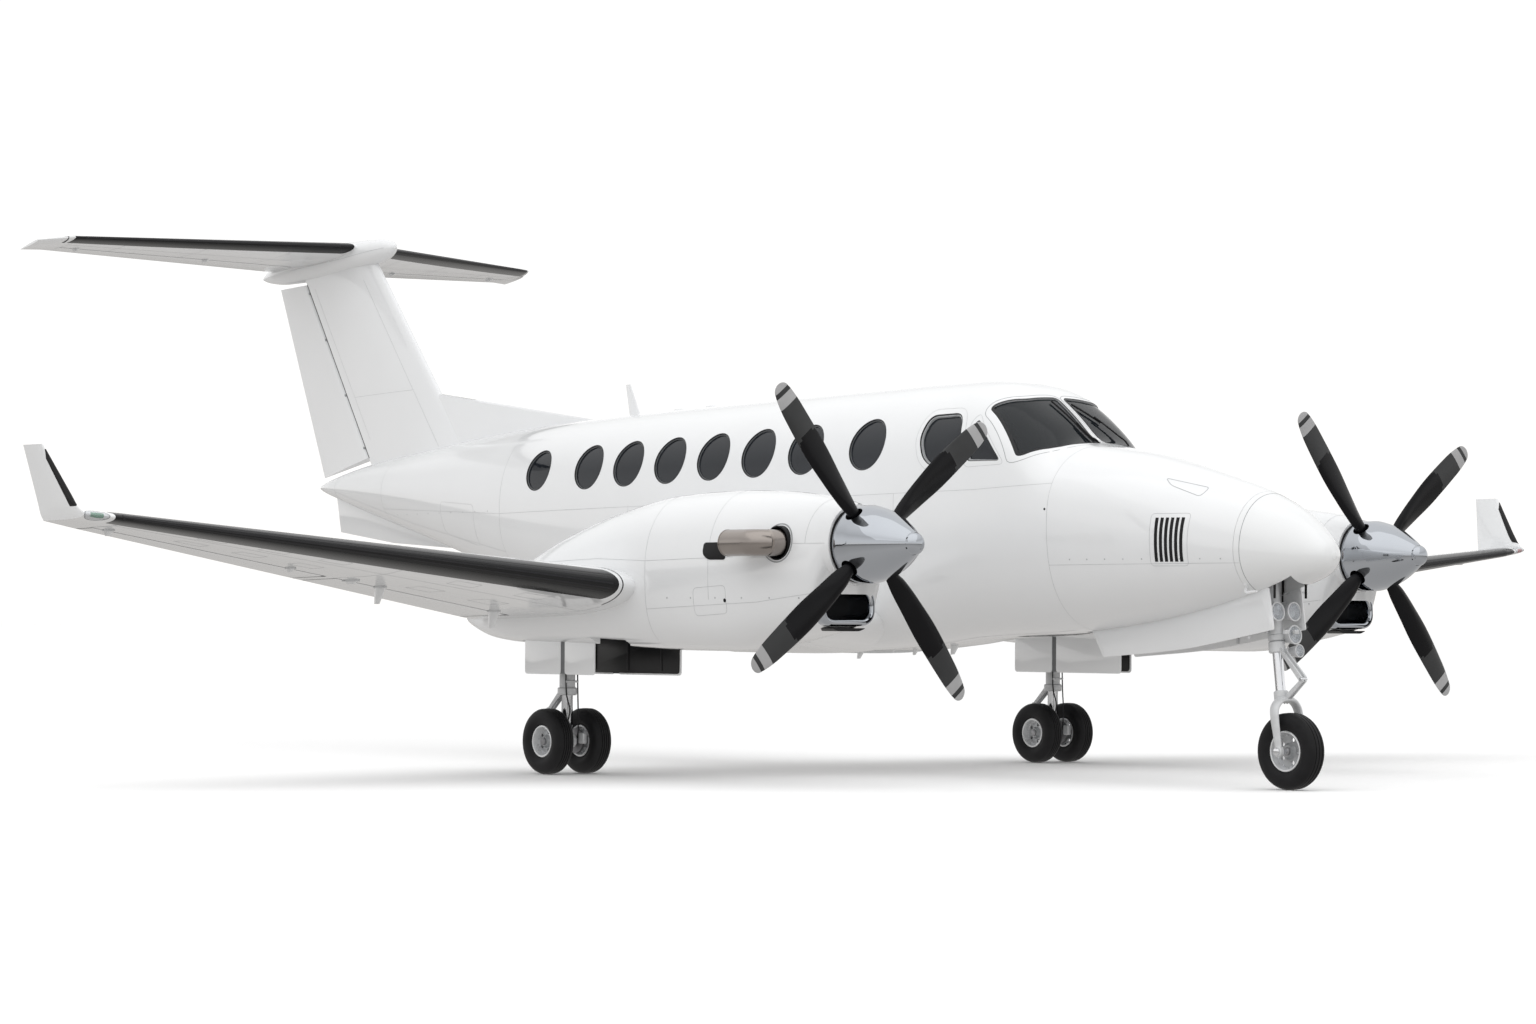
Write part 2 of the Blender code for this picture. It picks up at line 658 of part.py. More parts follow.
def hinge_bores(obj, name, station, span, fraction, camber_amount, side):
    """Bores in the fixed structure for a hinged surface's pins."""
    start, end, direction = hinge_line(station, span, fraction, camber_amount)
    reach = PIN_REACH + 0.004
    ends = mirrored((start - direction * reach, end + direction * reach), side)
    boolean(obj, cutter(rod_mesh(ends[0], ends[1], PIN_BORE, 16), f"{name}_bore"))


# Fuselage

def side_word(side):
    return "left" if side > 0 else "right"


def window_prism(outline, side, shrink, name):
    centre_y = sum(p[0] for p in outline) / len(outline)
    centre_z = sum(p[1] for p in outline) / len(outline)
    points = [(centre_y + (y - centre_y) * shrink, centre_z + (z - centre_z) * shrink)
              for y, z in outline]
    low, high = sorted((side * 0.35, side * 0.95))
    return cutter(prism_mesh(points, "X", low, high), name)


def windshield_prism(side, shrink, name):
    a = math.radians(WINDSHIELD_SLOPE)
    foot = Vector((0, *WINDSHIELD_FOOT))
    up_slope = Vector((0, math.cos(a), math.sin(a)))
    out = Vector((0, -math.sin(a), math.cos(a)))
    centre_x = sum(p[0] for p in WINDSHIELD) / len(WINDSHIELD)
    centre_s = sum(p[1] for p in WINDSHIELD) / len(WINDSHIELD)
    corners = [foot + Vector((side * (centre_x + (x - centre_x) * shrink), 0, 0))
               + up_slope * (centre_s + (s - centre_s) * shrink) for x, s in WINDSHIELD]
    return cutter(loft_mesh([[p + out * (depth * shrink) for p in corners]
                             for depth in WINDSHIELD_DEPTH]), name)


def round_window(y, z, radius, side, name):
    return cutter(rod_mesh((side * 0.35, y, z), (side * 0.95, y, z), radius, WINDOW_SIDES), name)


def hull_band(stations, inset, thickness, *placement, start_shift=0.0, end_shift=0.0):
    """A tube that follows the hull's skin at an inset from it; placement is the
    object's name, material and so on."""
    band = object_from(loft_mesh(hull_rings(stations, -inset, start_shift, end_shift)), *placement)
    longer = (stations[0] - HULL_WALL, *stations, stations[-1] + HULL_WALL)
    inside = hull_rings(longer, -inset - thickness)
    return boolean(band, cutter(loft_mesh(inside), f"{band.name}_inside"))


def solidify(obj, thickness):
    mod = obj.modifiers.new("wall", "SOLIDIFY")
    mod.thickness = thickness
    mod.offset = -1.0
    mod.use_even_offset = True
    mod.use_rim = True
    return obj


def nose_bay_cutter(name):
    half, front, back, ceiling = NOSE_BAY
    return cutter(box_mesh((-half, front, 0.9), (half, back, ceiling)), name)


def hull_side(y, z):
    """Distance of the hull's skin from the middle plane at a height."""
    _, bottom, top, half, waist, upper, lower = interpolate(HULL, y)
    if z < waist:
        power, depth = lower, (waist - z) / (waist - bottom)
    else:
        power, depth = upper, (z - waist) / (top - waist)
    return half * (1 - depth ** power) ** (1 / power)


def door_frame():
    """Middle of the door's hinge line, then the directions along it and outwards.

    The line follows the skin at the door's foot, so it runs slightly inboard aft."""
    front, back = (Vector((hull_side(y, DOOR_Z[0]), y, DOOR_Z[0] - 0.0045)) for y in DOOR_HINGE_Y)
    along = (back - front).normalized()
    return (front + back) / 2, along, along.cross(Vector((0, 0, 1)))


def door_box(grow, name):
    middle, along, out = door_frame()
    half = (DOOR_Y[1] - DOOR_Y[0]) / 2 + grow
    bm = box_mesh((DOOR_REACH[0] - grow, -half, DOOR_Z[0] - middle.z - grow),
                  (DOOR_REACH[1], half, DOOR_Z[1] - middle.z + grow))
    slope, level = DOOR_TOP
    for vert in bm.verts:
        if vert.co.z > 0.5:
            vert.co.z += (vert.co.x - level) * slope
    edges = [e for e in bm.edges if abs(e.verts[0].co.x - e.verts[1].co.x) > DOOR_REACH[1]]
    bmesh.ops.bevel(bm, geom=edges, offset=DOOR_CORNER, segments=3, profile=0.5, affect="EDGES")
    turn = Matrix((out, along, (0, 0, 1))).transposed().to_4x4()
    bmesh.ops.transform(bm, matrix=Matrix.Translation(middle) @ turn, verts=bm.verts)
    return cutter(bm, name)


def door_hinge_rod(radius, sides, reach=0.0):
    middle, along, _ = door_frame()
    half = (DOOR_HINGE_Y[1] - DOOR_HINGE_Y[0]) / 2 + reach
    return rod_mesh(middle - along * half, middle + along * half, radius, sides)


def build_fuselage():
    radome = object_from(loft_mesh(hull_rings(RADOME_STATIONS, end_shift=-GAP / 2)),
                         "radome", "airframe_white")
    nose = object_from(loft_mesh(hull_rings(NOSE_STATIONS, 0.0, GAP / 2, -GAP / 2)),
                       "nose_section", "airframe_white")
    boolean(nose, nose_bay_cutter("nose_bay_in_nose"))
    boolean(radome, nose_bay_cutter("nose_bay_in_radome"))

    cabin = hull_band(CABIN_STATIONS, 0.0, HULL_WALL, "cabin_shell", "airframe_white",
                      start_shift=GAP / 2, end_shift=-GAP / 2)
    boolean(cabin, nose_bay_cutter("nose_bay_in_cabin"))
    for index, (y, z, radius) in enumerate(WINDOW_ROW):
        for side in (1, -1):
            if side > 0 and index == DOOR_WINDOW:
                continue
            boolean(cabin, round_window(y, z, radius, side, f"window_{side_word(side)}_{index}"))
    for side in (1, -1):
        word = side_word(side)
        boolean(cabin, window_prism(SIDE_WINDOW, side, 1.0, f"side_window_cut_{word}"))
        boolean(cabin, window_prism(QUARTER_WINDOW, side, 1.0, f"quarter_window_cut_{word}"))
        boolean(cabin, windshield_prism(side, 1.0, f"windshield_cut_{word}"))
    boolean(cabin, door_box(RUNNING_GAP, "door_opening"))
    boolean(cabin, cutter(door_hinge_rod(DOOR_PIN, 12), "door_hinge_rod"), "UNION", "MANIFOLD")
    boolean(cabin, jacking_pad(*NOSE_PAD, "jacking_pad_nose"), "UNION")

    aft = object_from(loft_mesh(hull_rings(AFT_STATIONS, 0.0, GAP / 2)), "aft_fuselage",
                      "airframe_white")
    boolean(aft, cutter(loft_mesh(hull_rings(AFT_HOLLOW, -HULL_WALL)), "aft_hollow"))


def build_glazing():
    for side in (1, -1):
        word = side_word(side)
        pane = hull_band(WINDSHIELD_STATIONS, PANE_SETBACK, PANE_THICKNESS,
                         f"windshield_{word}", "window_glass")
        boolean(pane, windshield_prism(side, PANE_SHRINK, f"windshield_trim_{word}"), "INTERSECT")

        band = hull_band(COCKPIT_GLASS_STATIONS, HULL_WALL + LINING_GAP, LINING_THICKNESS,
                         f"cockpit_side_glass_{word}", "window_glass")
        low, high = sorted((side * 0.30, side * 0.95))
        trim = box_mesh((low, COCKPIT_GLASS_Y[0], LINING_Z[0]), (high, COCKPIT_GLASS_Y[1], LINING_Z[1]))
        boolean(band, cutter(trim, f"side_glass_trim_{word}"), "INTERSECT")


def build_lining():
    """Side linings that carry the cabin's window panes, just inside the hull."""
    for side in (1, -1):
        word = side_word(side)
        band = hull_band(LINING_STATIONS, HULL_WALL + LINING_GAP, LINING_THICKNESS,
                         f"window_lining_{word}", "window_glass")
        low, high = sorted((side * 0.30, side * 0.95))
        bottom, top = LINING_Z
        boolean(band, cutter(box_mesh((low, LINING_Y[0], bottom), (high, LINING_Y[1], top)),
                             f"lining_trim_{word}"), "INTERSECT")
        if side > 0:
            # Over the door the lining is only a rail along its top
            boolean(band, cutter(box_mesh((0.3, DOOR_Y[0] - 0.03, 2.0),
                                          (0.95, DOOR_Y[1] + 0.03, DOOR_Z[1] + 0.02)),
                                 "door_gap_in_lining"))


def build_interior():
    floor = object_from(loft_mesh(hull_rings(CABIN_STATIONS, -HULL_WALL - LINING_GAP)),
                        "cabin_floor", "cabin_trim")
    boolean(floor, cutter(box_mesh((-1, BULKHEAD_Y + 0.03, FLOOR_Z - FLOOR_THICKNESS),
                                   (1, AFT_BULKHEAD_Y - 0.03, FLOOR_Z)), "floor_trim"),
            "INTERSECT")
    panel = object_from(box_mesh((-0.70, PANEL_Y[0], FLOOR_Z + GAP), (0.70, PANEL_Y[1], PANEL_TOP)),
                        "instrument_panel", "cabin_trim")
    boolean(panel, cutter(loft_mesh(hull_rings(WINDSHIELD_STATIONS, -HULL_WALL - LINING_THICKNESS
                                               - 3 * LINING_GAP)), "panel_trim"), "INTERSECT")
    boolean(panel, cutter(box_mesh((-0.70, PANEL_Y[0] + 0.05, FLOOR_Z - 0.1),
                                   (-0.13, PANEL_Y[1] + 0.1, FLOOR_Z + 0.42)), "foot_space_right"))
    boolean(panel, cutter(box_mesh((0.13, PANEL_Y[0] + 0.05, FLOOR_Z - 0.1),
                                   (0.70, PANEL_Y[1] + 0.1, FLOOR_Z + 0.42)), "foot_space_left"))

    low = FLOOR_Z + GAP
    seats = object_from(box_mesh((-SEAT_X - 0.02, SEAT_ROWS[0], low),
                                 (-SEAT_X + 0.02, SEAT_ROWS[-1] + 0.4, low + 0.03)),
                        "seats", "seat_leather")
    others = [box_mesh((SEAT_X - 0.02, SEAT_ROWS[0], low),
                       (SEAT_X + 0.02, SEAT_ROWS[-1] + 0.4, low + 0.03)),
              box_mesh((-SEAT_X, SEAT_ROWS[0] + 0.1, low), (SEAT_X, SEAT_ROWS[0] + 0.14, low + 0.02))]
    for y in SEAT_ROWS:
        outline = [(y + along, low + up) for along, up in SEAT_OUTLINE]
        for x in (-SEAT_X, SEAT_X):
            if x > 0 and y == SEAT_ROWS[-1]:
                continue
            half = SEAT_WIDTH / 2
            others.append(box_mesh((x - 0.12, y + 0.08, low + 0.01), (x + 0.12, y + 0.34, low + 0.25)))
            others.append(prism_mesh(outline, "X", x - half, x + half))
    for k, bm in enumerate(others):
        boolean(seats, cutter(bm, f"seat_block_{k}"), "UNION")


def build_door():
    middle = door_frame()[0]
    joint = pivot("door_pivot", middle)
    stations = (DOOR_Y[0] - 0.1, 0.844, DOOR_Y[1] + 0.1)
    door = hull_band(stations, 0.0, HULL_WALL, "airstair_door", "airframe_white", middle,
                     joint)
    boolean(door, door_box(0.0, "door_trim"), "INTERSECT")
    for k, z in enumerate(STEP_HEIGHTS):
        front, back = ((hull_side(y, z) - HULL_WALL / 2, y) for y in DOOR_HINGE_Y)
        outline = (front, back, (back[0] - STEP_DEPTH, back[1]), (front[0] - STEP_DEPTH, front[1]))
        boolean(door, cutter(prism_mesh(outline, "Z", z - STEP_THICKNESS, z), f"door_step_{k}"),
                "UNION")
    boolean(door, cutter(door_hinge_rod(DOOR_PIN + 0.0009, 20, 0.006), "hinge_groove"))


def jacking_pad(x, y, underside, top, name):
    return cutter(rod_mesh((x, y, underside), (x, y, top), PAD_RADIUS, 12), name)


# Wings

def wing_mesh(side, grow=0.0):
    rings = []
    for row in WING:
        lead, trail, ratio = wing_station(row[0])
        ring = wing_ring(lead, trail, ratio, (0, 0, 1), WING_CAMBER, grow)
        rings.append(mirrored(ring, side))
    return loft_mesh(rings)


def build_wings():
    for side in (1, -1):
        word = side_word(side)
        wing = object_from(wing_mesh(side), f"wing_{word}", "airframe_white")
        boolean(wing, cutter(loft_mesh(hull_rings(CABIN_STATIONS, 0.0004)),
                             f"hull_in_wing_{word}"))
        x, y, underside, top = WING_PAD
        boolean(wing, jacking_pad(side * x, y, underside, top, f"jacking_pad_{word}"), "UNION")
        surfaces = (("flap_inboard", FLAP_INBOARD, FLAP_HINGE),
                    ("flap_outboard", FLAP_OUTBOARD, FLAP_HINGE),
                    ("aileron", AILERON, AILERON_HINGE))
        for name, span, fraction in surfaces:
            label = f"{name}_{word}"
            boolean(wing, surface_cutter(wing_station, span, fraction, WING_CAMBER, side,
                                         f"{label}_space"))
            hinge_bores(wing, label, wing_station, span, fraction, WING_CAMBER, side)
            hinged_surface(label, wing_station, span, fraction, WING_CAMBER, side)

        rings = []
        for x, lead_y, lead_z, trail_y, trail_z, thickness, lean in WINGLET:
            chord = math.hypot(trail_y - lead_y, trail_z - lead_z)
            a = math.radians(lean)
            ring = wing_ring((x, lead_y, lead_z), (x, trail_y, trail_z), thickness / chord,
                             (-math.sin(a), 0, math.cos(a)), WING_CAMBER * (1 - lean / 90))
            rings.append(mirrored(ring, side))
        object_from(loft_mesh(rings), f"winglet_{word}", "airframe_white")


# Nacelles

def rounded_outline(width, height, corner, centre):
    """A rounded rectangle as x, z points."""
    points = []
    for cx, cz, first in ((1, 1, 0), (-1, 1, 90), (-1, -1, 180), (1, -1, 270)):
        for step in range(4):
            a = math.radians(first + step * 30)
            points.append((centre[0] + cx * (width / 2 - corner) + corner * math.cos(a),
                           centre[1] + cz * (height / 2 - corner) + corner * math.sin(a)))
    return points


def lip_prism(side, grow, corner, ahead):
    """A rounded block along the intake; grow is counted from the mouth's own outline."""
    width, height = INTAKE_SIZE
    outline = rounded_outline(width + 2 * grow, height + 2 * grow, corner,
                              (side * ENGINE_X, INTAKE_Z))
    return prism_mesh(outline, "Y", INTAKE_Y[0] - ahead, INTAKE_Y[1] + ahead)


def exhaust_path(side, out):
    """Centre line of an exhaust stack: out of the engine's side, then aft."""
    start_x = ENGINE_X + out * (ENGINE_RADIUS - 0.06)
    turn = 0.105
    turn_x = ENGINE_X + out * (EXHAUST_OUT - turn)
    points = [Vector((start_x, EXHAUST_Y, EXHAUST_Z))]
    for step in range(3):
        a = math.radians(step * 45)
        points.append(Vector((turn_x + out * turn * math.sin(a),
                              EXHAUST_Y + turn * (1 - math.cos(a)), EXHAUST_Z)))
    points.append(Vector((ENGINE_X + out * EXHAUST_OUT, EXHAUST_END_Y, EXHAUST_Z)))
    return [Vector((p.x * side, p.y, p.z)) for p in points]


def tube_mesh(path, radius, sides):
    """A closed tube along a path that lies in a level plane."""
    rings = []
    for k, point in enumerate(path):
        ahead = path[min(k + 1, len(path) - 1)] - path[max(k - 1, 0)]
        along = ahead.normalized()
        across = along.cross(Vector((0, 0, 1))).normalized()
        rings.append([point + (across * math.cos(a) + Vector((0, 0, 1)) * math.sin(a)) * radius
                      for a in (2 * math.pi * j / sides for j in range(sides))])
    return loft_mesh(rings)


def build_nacelles():
    for side in (1, -1):
        word = side_word(side)
        cowl_rings = [nacelle_ring(y, side) for y in COWL_STATIONS]
        for point in cowl_rings[-1]:
            point.y -= GAP
        cowl = object_from(loft_mesh(cowl_rings, False, False), f"engine_cowl_{word}",
                           "airframe_white")
        solidify(cowl, COWL_WALL)
        outer, inner = INTAKE_CORNERS
        space = lip_prism(side, INTAKE_LIP + GAP, outer, COWL_WALL)
        boolean(cowl, cutter(space, f"lip_space_{word}"))

        lip = object_from(lip_prism(side, INTAKE_LIP, outer, 0.0), f"intake_lip_{word}",
                          "chrome")
        boolean(lip, cutter(lip_prism(side, 0.0, inner, COWL_WALL), f"intake_mouth_{word}"))

        aft = object_from(loft_mesh([nacelle_ring(y, side) for y in AFT_NACELLE_STATIONS]),
                          f"nacelle_{word}", "airframe_white")
        boolean(aft, cutter(wing_mesh(side, 0.0005), f"wing_in_nacelle_{word}"),
                solver="MANIFOLD")
        half, front, back, ceiling = MAIN_BAY
        boolean(aft, cutter(box_mesh((side * GEAR_X - half, front, 0.8),
                                     (side * GEAR_X + half, back, ceiling)),
                            f"main_bay_{word}"), solver="MANIFOLD")

        engine = object_from(rod_mesh((side * ENGINE_X, -4.60, PROP_Z),
                                      (side * ENGINE_X, FIREWALL_Y - GAP, PROP_Z),
                                      ENGINE_RADIUS, 12), f"engine_{word}", "engine_metal")
        boolean(engine, cutter(rod_mesh((side * ENGINE_X, PROP_Y + 0.02, PROP_Z),
                                        (side * ENGINE_X, -4.50, PROP_Z), SHAFT_RADIUS, 12),
                               f"shaft_{word}"), "UNION")

        for out, where in ((1, "outer"), (-1, "inner")):
            path = exhaust_path(side, out)
            boolean(engine, cutter(tube_mesh(path, EXHAUST_RADIUS, 10), f"stack_{where}_{word}"),
                    "UNION")
            bore = path[1:]
            bore[-1] = bore[-1] + (path[-1] - path[-2]).normalized() * 0.02
            boolean(engine, cutter(tube_mesh(bore, EXHAUST_RADIUS - EXHAUST_WALL, 10),
                                   f"stack_bore_{where}_{word}"))
            middle = Vector((side * (ENGINE_X + out * 0.25), EXHAUST_Y + 0.012, EXHAUST_Z))
            beyond = middle + Vector((side * out * 0.40, 0, 0))
            boolean(cowl, cutter(rod_mesh(middle, beyond, EXHAUST_HOLE, 12),
                                 f"stack_hole_{where}_{word}"))


# Propellers

def blade_rings(side, angle):
    """Sections of one blade from the hub outwards."""
    a = math.radians(angle)
    out = Vector((math.cos(a), 0, math.sin(a)))
    travel = Vector((-math.sin(a), 0, math.cos(a)))
    centre = Vector((side * ENGINE_X, PROP_Y, PROP_Z))
    rings = []
    for share, chord, thickness, pitch, back in BLADE:
        p = math.radians(pitch)
        # The leading edge faces the way the blade turns and forwards
        lead = travel * math.cos(p) + Vector((0, -1, 0)) * math.sin(p)
        face = lead.cross(out).normalized()
        middle = centre + out * (share * PROP_RADIUS) - lead * back
        ring = []
        for k in range(BLADE_SIDES):
            t = 2 * math.pi * k / BLADE_SIDES
            ring.append(middle + lead * (chord / 2) * math.cos(t) + face * (thickness / 2) * math.sin(t))
        rings.append(ring)
    return rings


def build_propellers():
    angles = [180 - PROP_ANGLE, 90 - PROP_ANGLE, -PROP_ANGLE, -90 - PROP_ANGLE]
    for side in (1, -1):
        word = side_word(side)
        centre = Vector((side * ENGINE_X, PROP_Y, PROP_Z))
        joint = pivot(f"propeller_pivot_{word}", centre)
        hub = object_from(rod_mesh(centre - Vector((0, HUB_LENGTH / 2, 0)),
                                   centre + Vector((0, HUB_LENGTH / 2, 0)), HUB_RADIUS, 12),
                          f"propeller_{word}", "blade_black", centre, joint)
        for k, angle in enumerate(angles):
            boolean(hub, cutter(loft_mesh(blade_rings(side, angle)), f"blade_{word}_{k}"), "UNION")
        boolean(hub, cutter(rod_mesh(centre + Vector((0, 0.015, 0)), centre + Vector((0, 0.2, 0)),
                                     SHAFT_RADIUS + 0.0007, 24), f"shaft_bore_{word}"))

        base = Vector((side * ENGINE_X, SPINNER_BASE_Y, PROP_Z))
        rings = turned_mesh(SPINNER, base, (0, -1, 0), SPINNER_SIDES)
        spinner = object_from(loft_mesh(rings), f"spinner_{word}", "chrome", centre, joint)
        boolean(spinner, cutter(rod_mesh(centre - Vector((0, HUB_LENGTH / 2 + GAP, 0)),
                                         centre + Vector((0, HUB_LENGTH, 0)),
                                         HUB_RADIUS + 0.0062, 12), f"hub_space_{word}"))
        for k, angle in enumerate(angles):
            a = math.radians(angle)
            out = Vector((math.cos(a), 0, math.sin(a)))
            boolean(spinner, cutter(rod_mesh(centre, centre + out * 0.33, 0.062, 10),
                                    f"blade_hole_{word}_{k}"))


# Wheels

def tyre_profile(radius, width, rim):
    """Cross-section of a tyre as (along the axle, radius), a closed line.

    The radii are those of the corners, so that the flats reach the radius that is given."""
    radius = radius / math.cos(math.pi / TYRE_SIDES)
    w = width / 2
    depth = radius - rim
    return ((-0.66 * w, rim), (-1.00 * w, rim + 0.38 * depth), (-0.88 * w, rim + 0.78 * depth),
            (-0.44 * w, radius), (0.44 * w, radius), (0.88 * w, rim + 0.78 * depth),
            (1.00 * w, rim + 0.38 * depth), (0.66 * w, rim))


def closed_turn(profile, centre, sides):
    """A ring of material: the last section of the profile joins the first."""
    rings = turned_mesh(profile, centre, (1, 0, 0), sides)
    bm = bmesh.new()
    rows = [[bm.verts.new(point) for point in ring] for ring in rings]
    for near, far in zip(rows, rows[1:] + rows[:1]):
        for k in range(sides):
            nxt = (k + 1) % sides
            bm.faces.new((near[k], near[nxt], far[nxt], far[k]))
    bmesh.ops.recalc_face_normals(bm, faces=bm.faces)
    return bm


def rim_profile(rim, width, hub):
    w = width / 2
    return ((-0.60 * w, rim - GAP), (-0.60 * w, rim - 0.016), (-0.14 * w, rim - 0.030),
            (-0.40 * w, hub), (0.40 * w, hub), (0.12 * w, rim - 0.030),
            (0.60 * w, rim - 0.016), (0.60 * w, rim - GAP))


def tyre(name, centre, radius, width, rim, joint):
    return object_from(closed_turn(tyre_profile(radius, width, rim), centre, TYRE_SIDES), name,
                       "rubber_black", centre, joint)


def rim_mesh(centre, width, rim, hub):
    return closed_turn(rim_profile(rim * math.cos(math.pi / TYRE_SIDES), width, hub), centre,
                       RIM_SIDES)


# Landing gear

def main_gear(side):
    word = side_word(side)
    x = side * GEAR_X
    top_y, top_z = MAIN_TRUNNION
    half = MAIN_BAY[0]
    leg = object_from(rod_mesh((x, GEAR_Y, 0.60), (x, GEAR_Y, top_z + 0.02), MAIN_LEG_RADIUS, 12),
                      f"main_leg_{word}", "gear_grey")
    trunnion = cutter(rod_mesh((x - half + GAP, top_y, top_z), (x + half - GAP, top_y, top_z),
                               0.030, 12), f"main_trunnion_{word}")
    collar = cutter(rod_mesh((x, GEAR_Y, 0.595), (x, GEAR_Y, 0.655), 0.074, 12),
                    f"main_collar_{word}")
    knee_y, knee_z = GEAR_Y + 0.205, 0.478
    knee = cutter(rod_mesh((x - 0.036, knee_y, knee_z), (x + 0.036, knee_y, knee_z), 0.021, 8),
                  f"main_knee_{word}")
    link = cutter(prism_mesh(((GEAR_Y + 0.02, 0.607), (knee_y - 0.008, knee_z - 0.010),
                              (knee_y + 0.009, knee_z + 0.011), (GEAR_Y + 0.04, 0.647)), "X",
                             x - 0.027, x + 0.027), f"main_upper_link_{word}")
    axle_height = MAIN_TYRE_RADIUS
    piston = cutter(rod_mesh((x, GEAR_Y, axle_height), (x, GEAR_Y, 0.62), MAIN_PISTON_RADIUS, 12),
                    f"main_piston_{word}")
    boss = cutter(rod_mesh((x - 0.060, GEAR_Y, axle_height), (x + 0.060, GEAR_Y, axle_height),
                           0.052, 12), f"main_boss_{word}")
    lower = cutter(prism_mesh(((GEAR_Y + 0.02, 0.315), (GEAR_Y + 0.03, 0.275),
                               (knee_y + 0.012, knee_z - 0.006), (knee_y - 0.011, knee_z + 0.007)),
                              "X", x - 0.020, x + 0.020), f"main_lower_link_{word}")
    brace = cutter(rod_mesh((x, GEAR_Y, 0.78), (x, GEAR_Y - BRACE_REACH, 1.07), 0.020, 10),
                   f"main_brace_{word}")
    join_union(leg, trunnion, collar, knee, link, piston, boss, lower, brace)
    beam_low = Vector((x - half + GAP, GEAR_Y - BRACE_REACH - 0.02, 1.05))
    beam_high = Vector((x + half - GAP, GEAR_Y - BRACE_REACH + 0.02, 1.09))
    spare = Vector((GAP, GAP, GAP))
    boolean(leg, cutter(box_mesh(beam_low - spare, beam_high + spare + Vector((0, 0, 0.1))),
                        f"beam_in_leg_{word}"))
    boolean(leg, cutter(rod_mesh((x - 0.1, GEAR_Y, axle_height), (x + 0.1, GEAR_Y, axle_height),
                                 AXLE_RADIUS + 0.0006, 16), f"axle_bore_{word}"))

    axle_centre = Vector((x, GEAR_Y, axle_height))
    joint = pivot(f"main_wheels_pivot_{word}", axle_centre)
    reach = Vector((TWIN_SPACING / 2 + 0.03, 0, 0))
    rims = object_from(rod_mesh(axle_centre - reach, axle_centre + reach, AXLE_RADIUS, 12),
                       f"main_rims_{word}", "wheel_metal", axle_centre, joint)
    for out, where in ((1, "outer"), (-1, "inner")):
        centre = axle_centre + Vector((side * out * TWIN_SPACING / 2, 0, 0))
        tyre(f"main_tyre_{where}_{word}", centre, MAIN_TYRE_RADIUS, MAIN_TYRE_WIDTH,
             MAIN_RIM_RADIUS, joint)
        boolean(rims, cutter(rim_mesh(centre, MAIN_TYRE_WIDTH, MAIN_RIM_RADIUS, AXLE_RADIUS - 0.006),
                             f"main_rim_{where}_{word}"), "UNION")

    doors = object_from(box_mesh(beam_low, beam_high), f"main_doors_{word}", "airframe_white")
    for out, where, front in MAIN_DOORS:
        wall = x + side * out * (half - GAP)
        low, high = sorted((wall, wall - side * out * 0.012))
        bottom, top = MAIN_DOOR_Z
        boolean(doors, cutter(box_mesh((low, front, bottom), (high, MAIN_DOOR_Y, top)),
                              f"main_door_{where}_{word}"), "UNION")
    boolean(doors, cutter(rod_mesh((x - 1, top_y, top_z), (x + 1, top_y, top_z), 0.032, 12),
                          f"trunnion_in_doors_{word}"))


def nose_point(height, ahead=0.0, x=0.0):
    """A point beside the nose strut's axis, which leans aft towards its top."""
    rake = math.radians(NOSE_RAKE)
    foot = Vector((0, NOSE_WHEEL_Y + 0.045, NOSE_TYRE_RADIUS))
    axis = Vector((0, math.sin(rake), math.cos(rake)))
    front = Vector((0, -math.cos(rake), math.sin(rake)))
    return foot + axis * height + front * ahead + Vector((x, 0, 0))


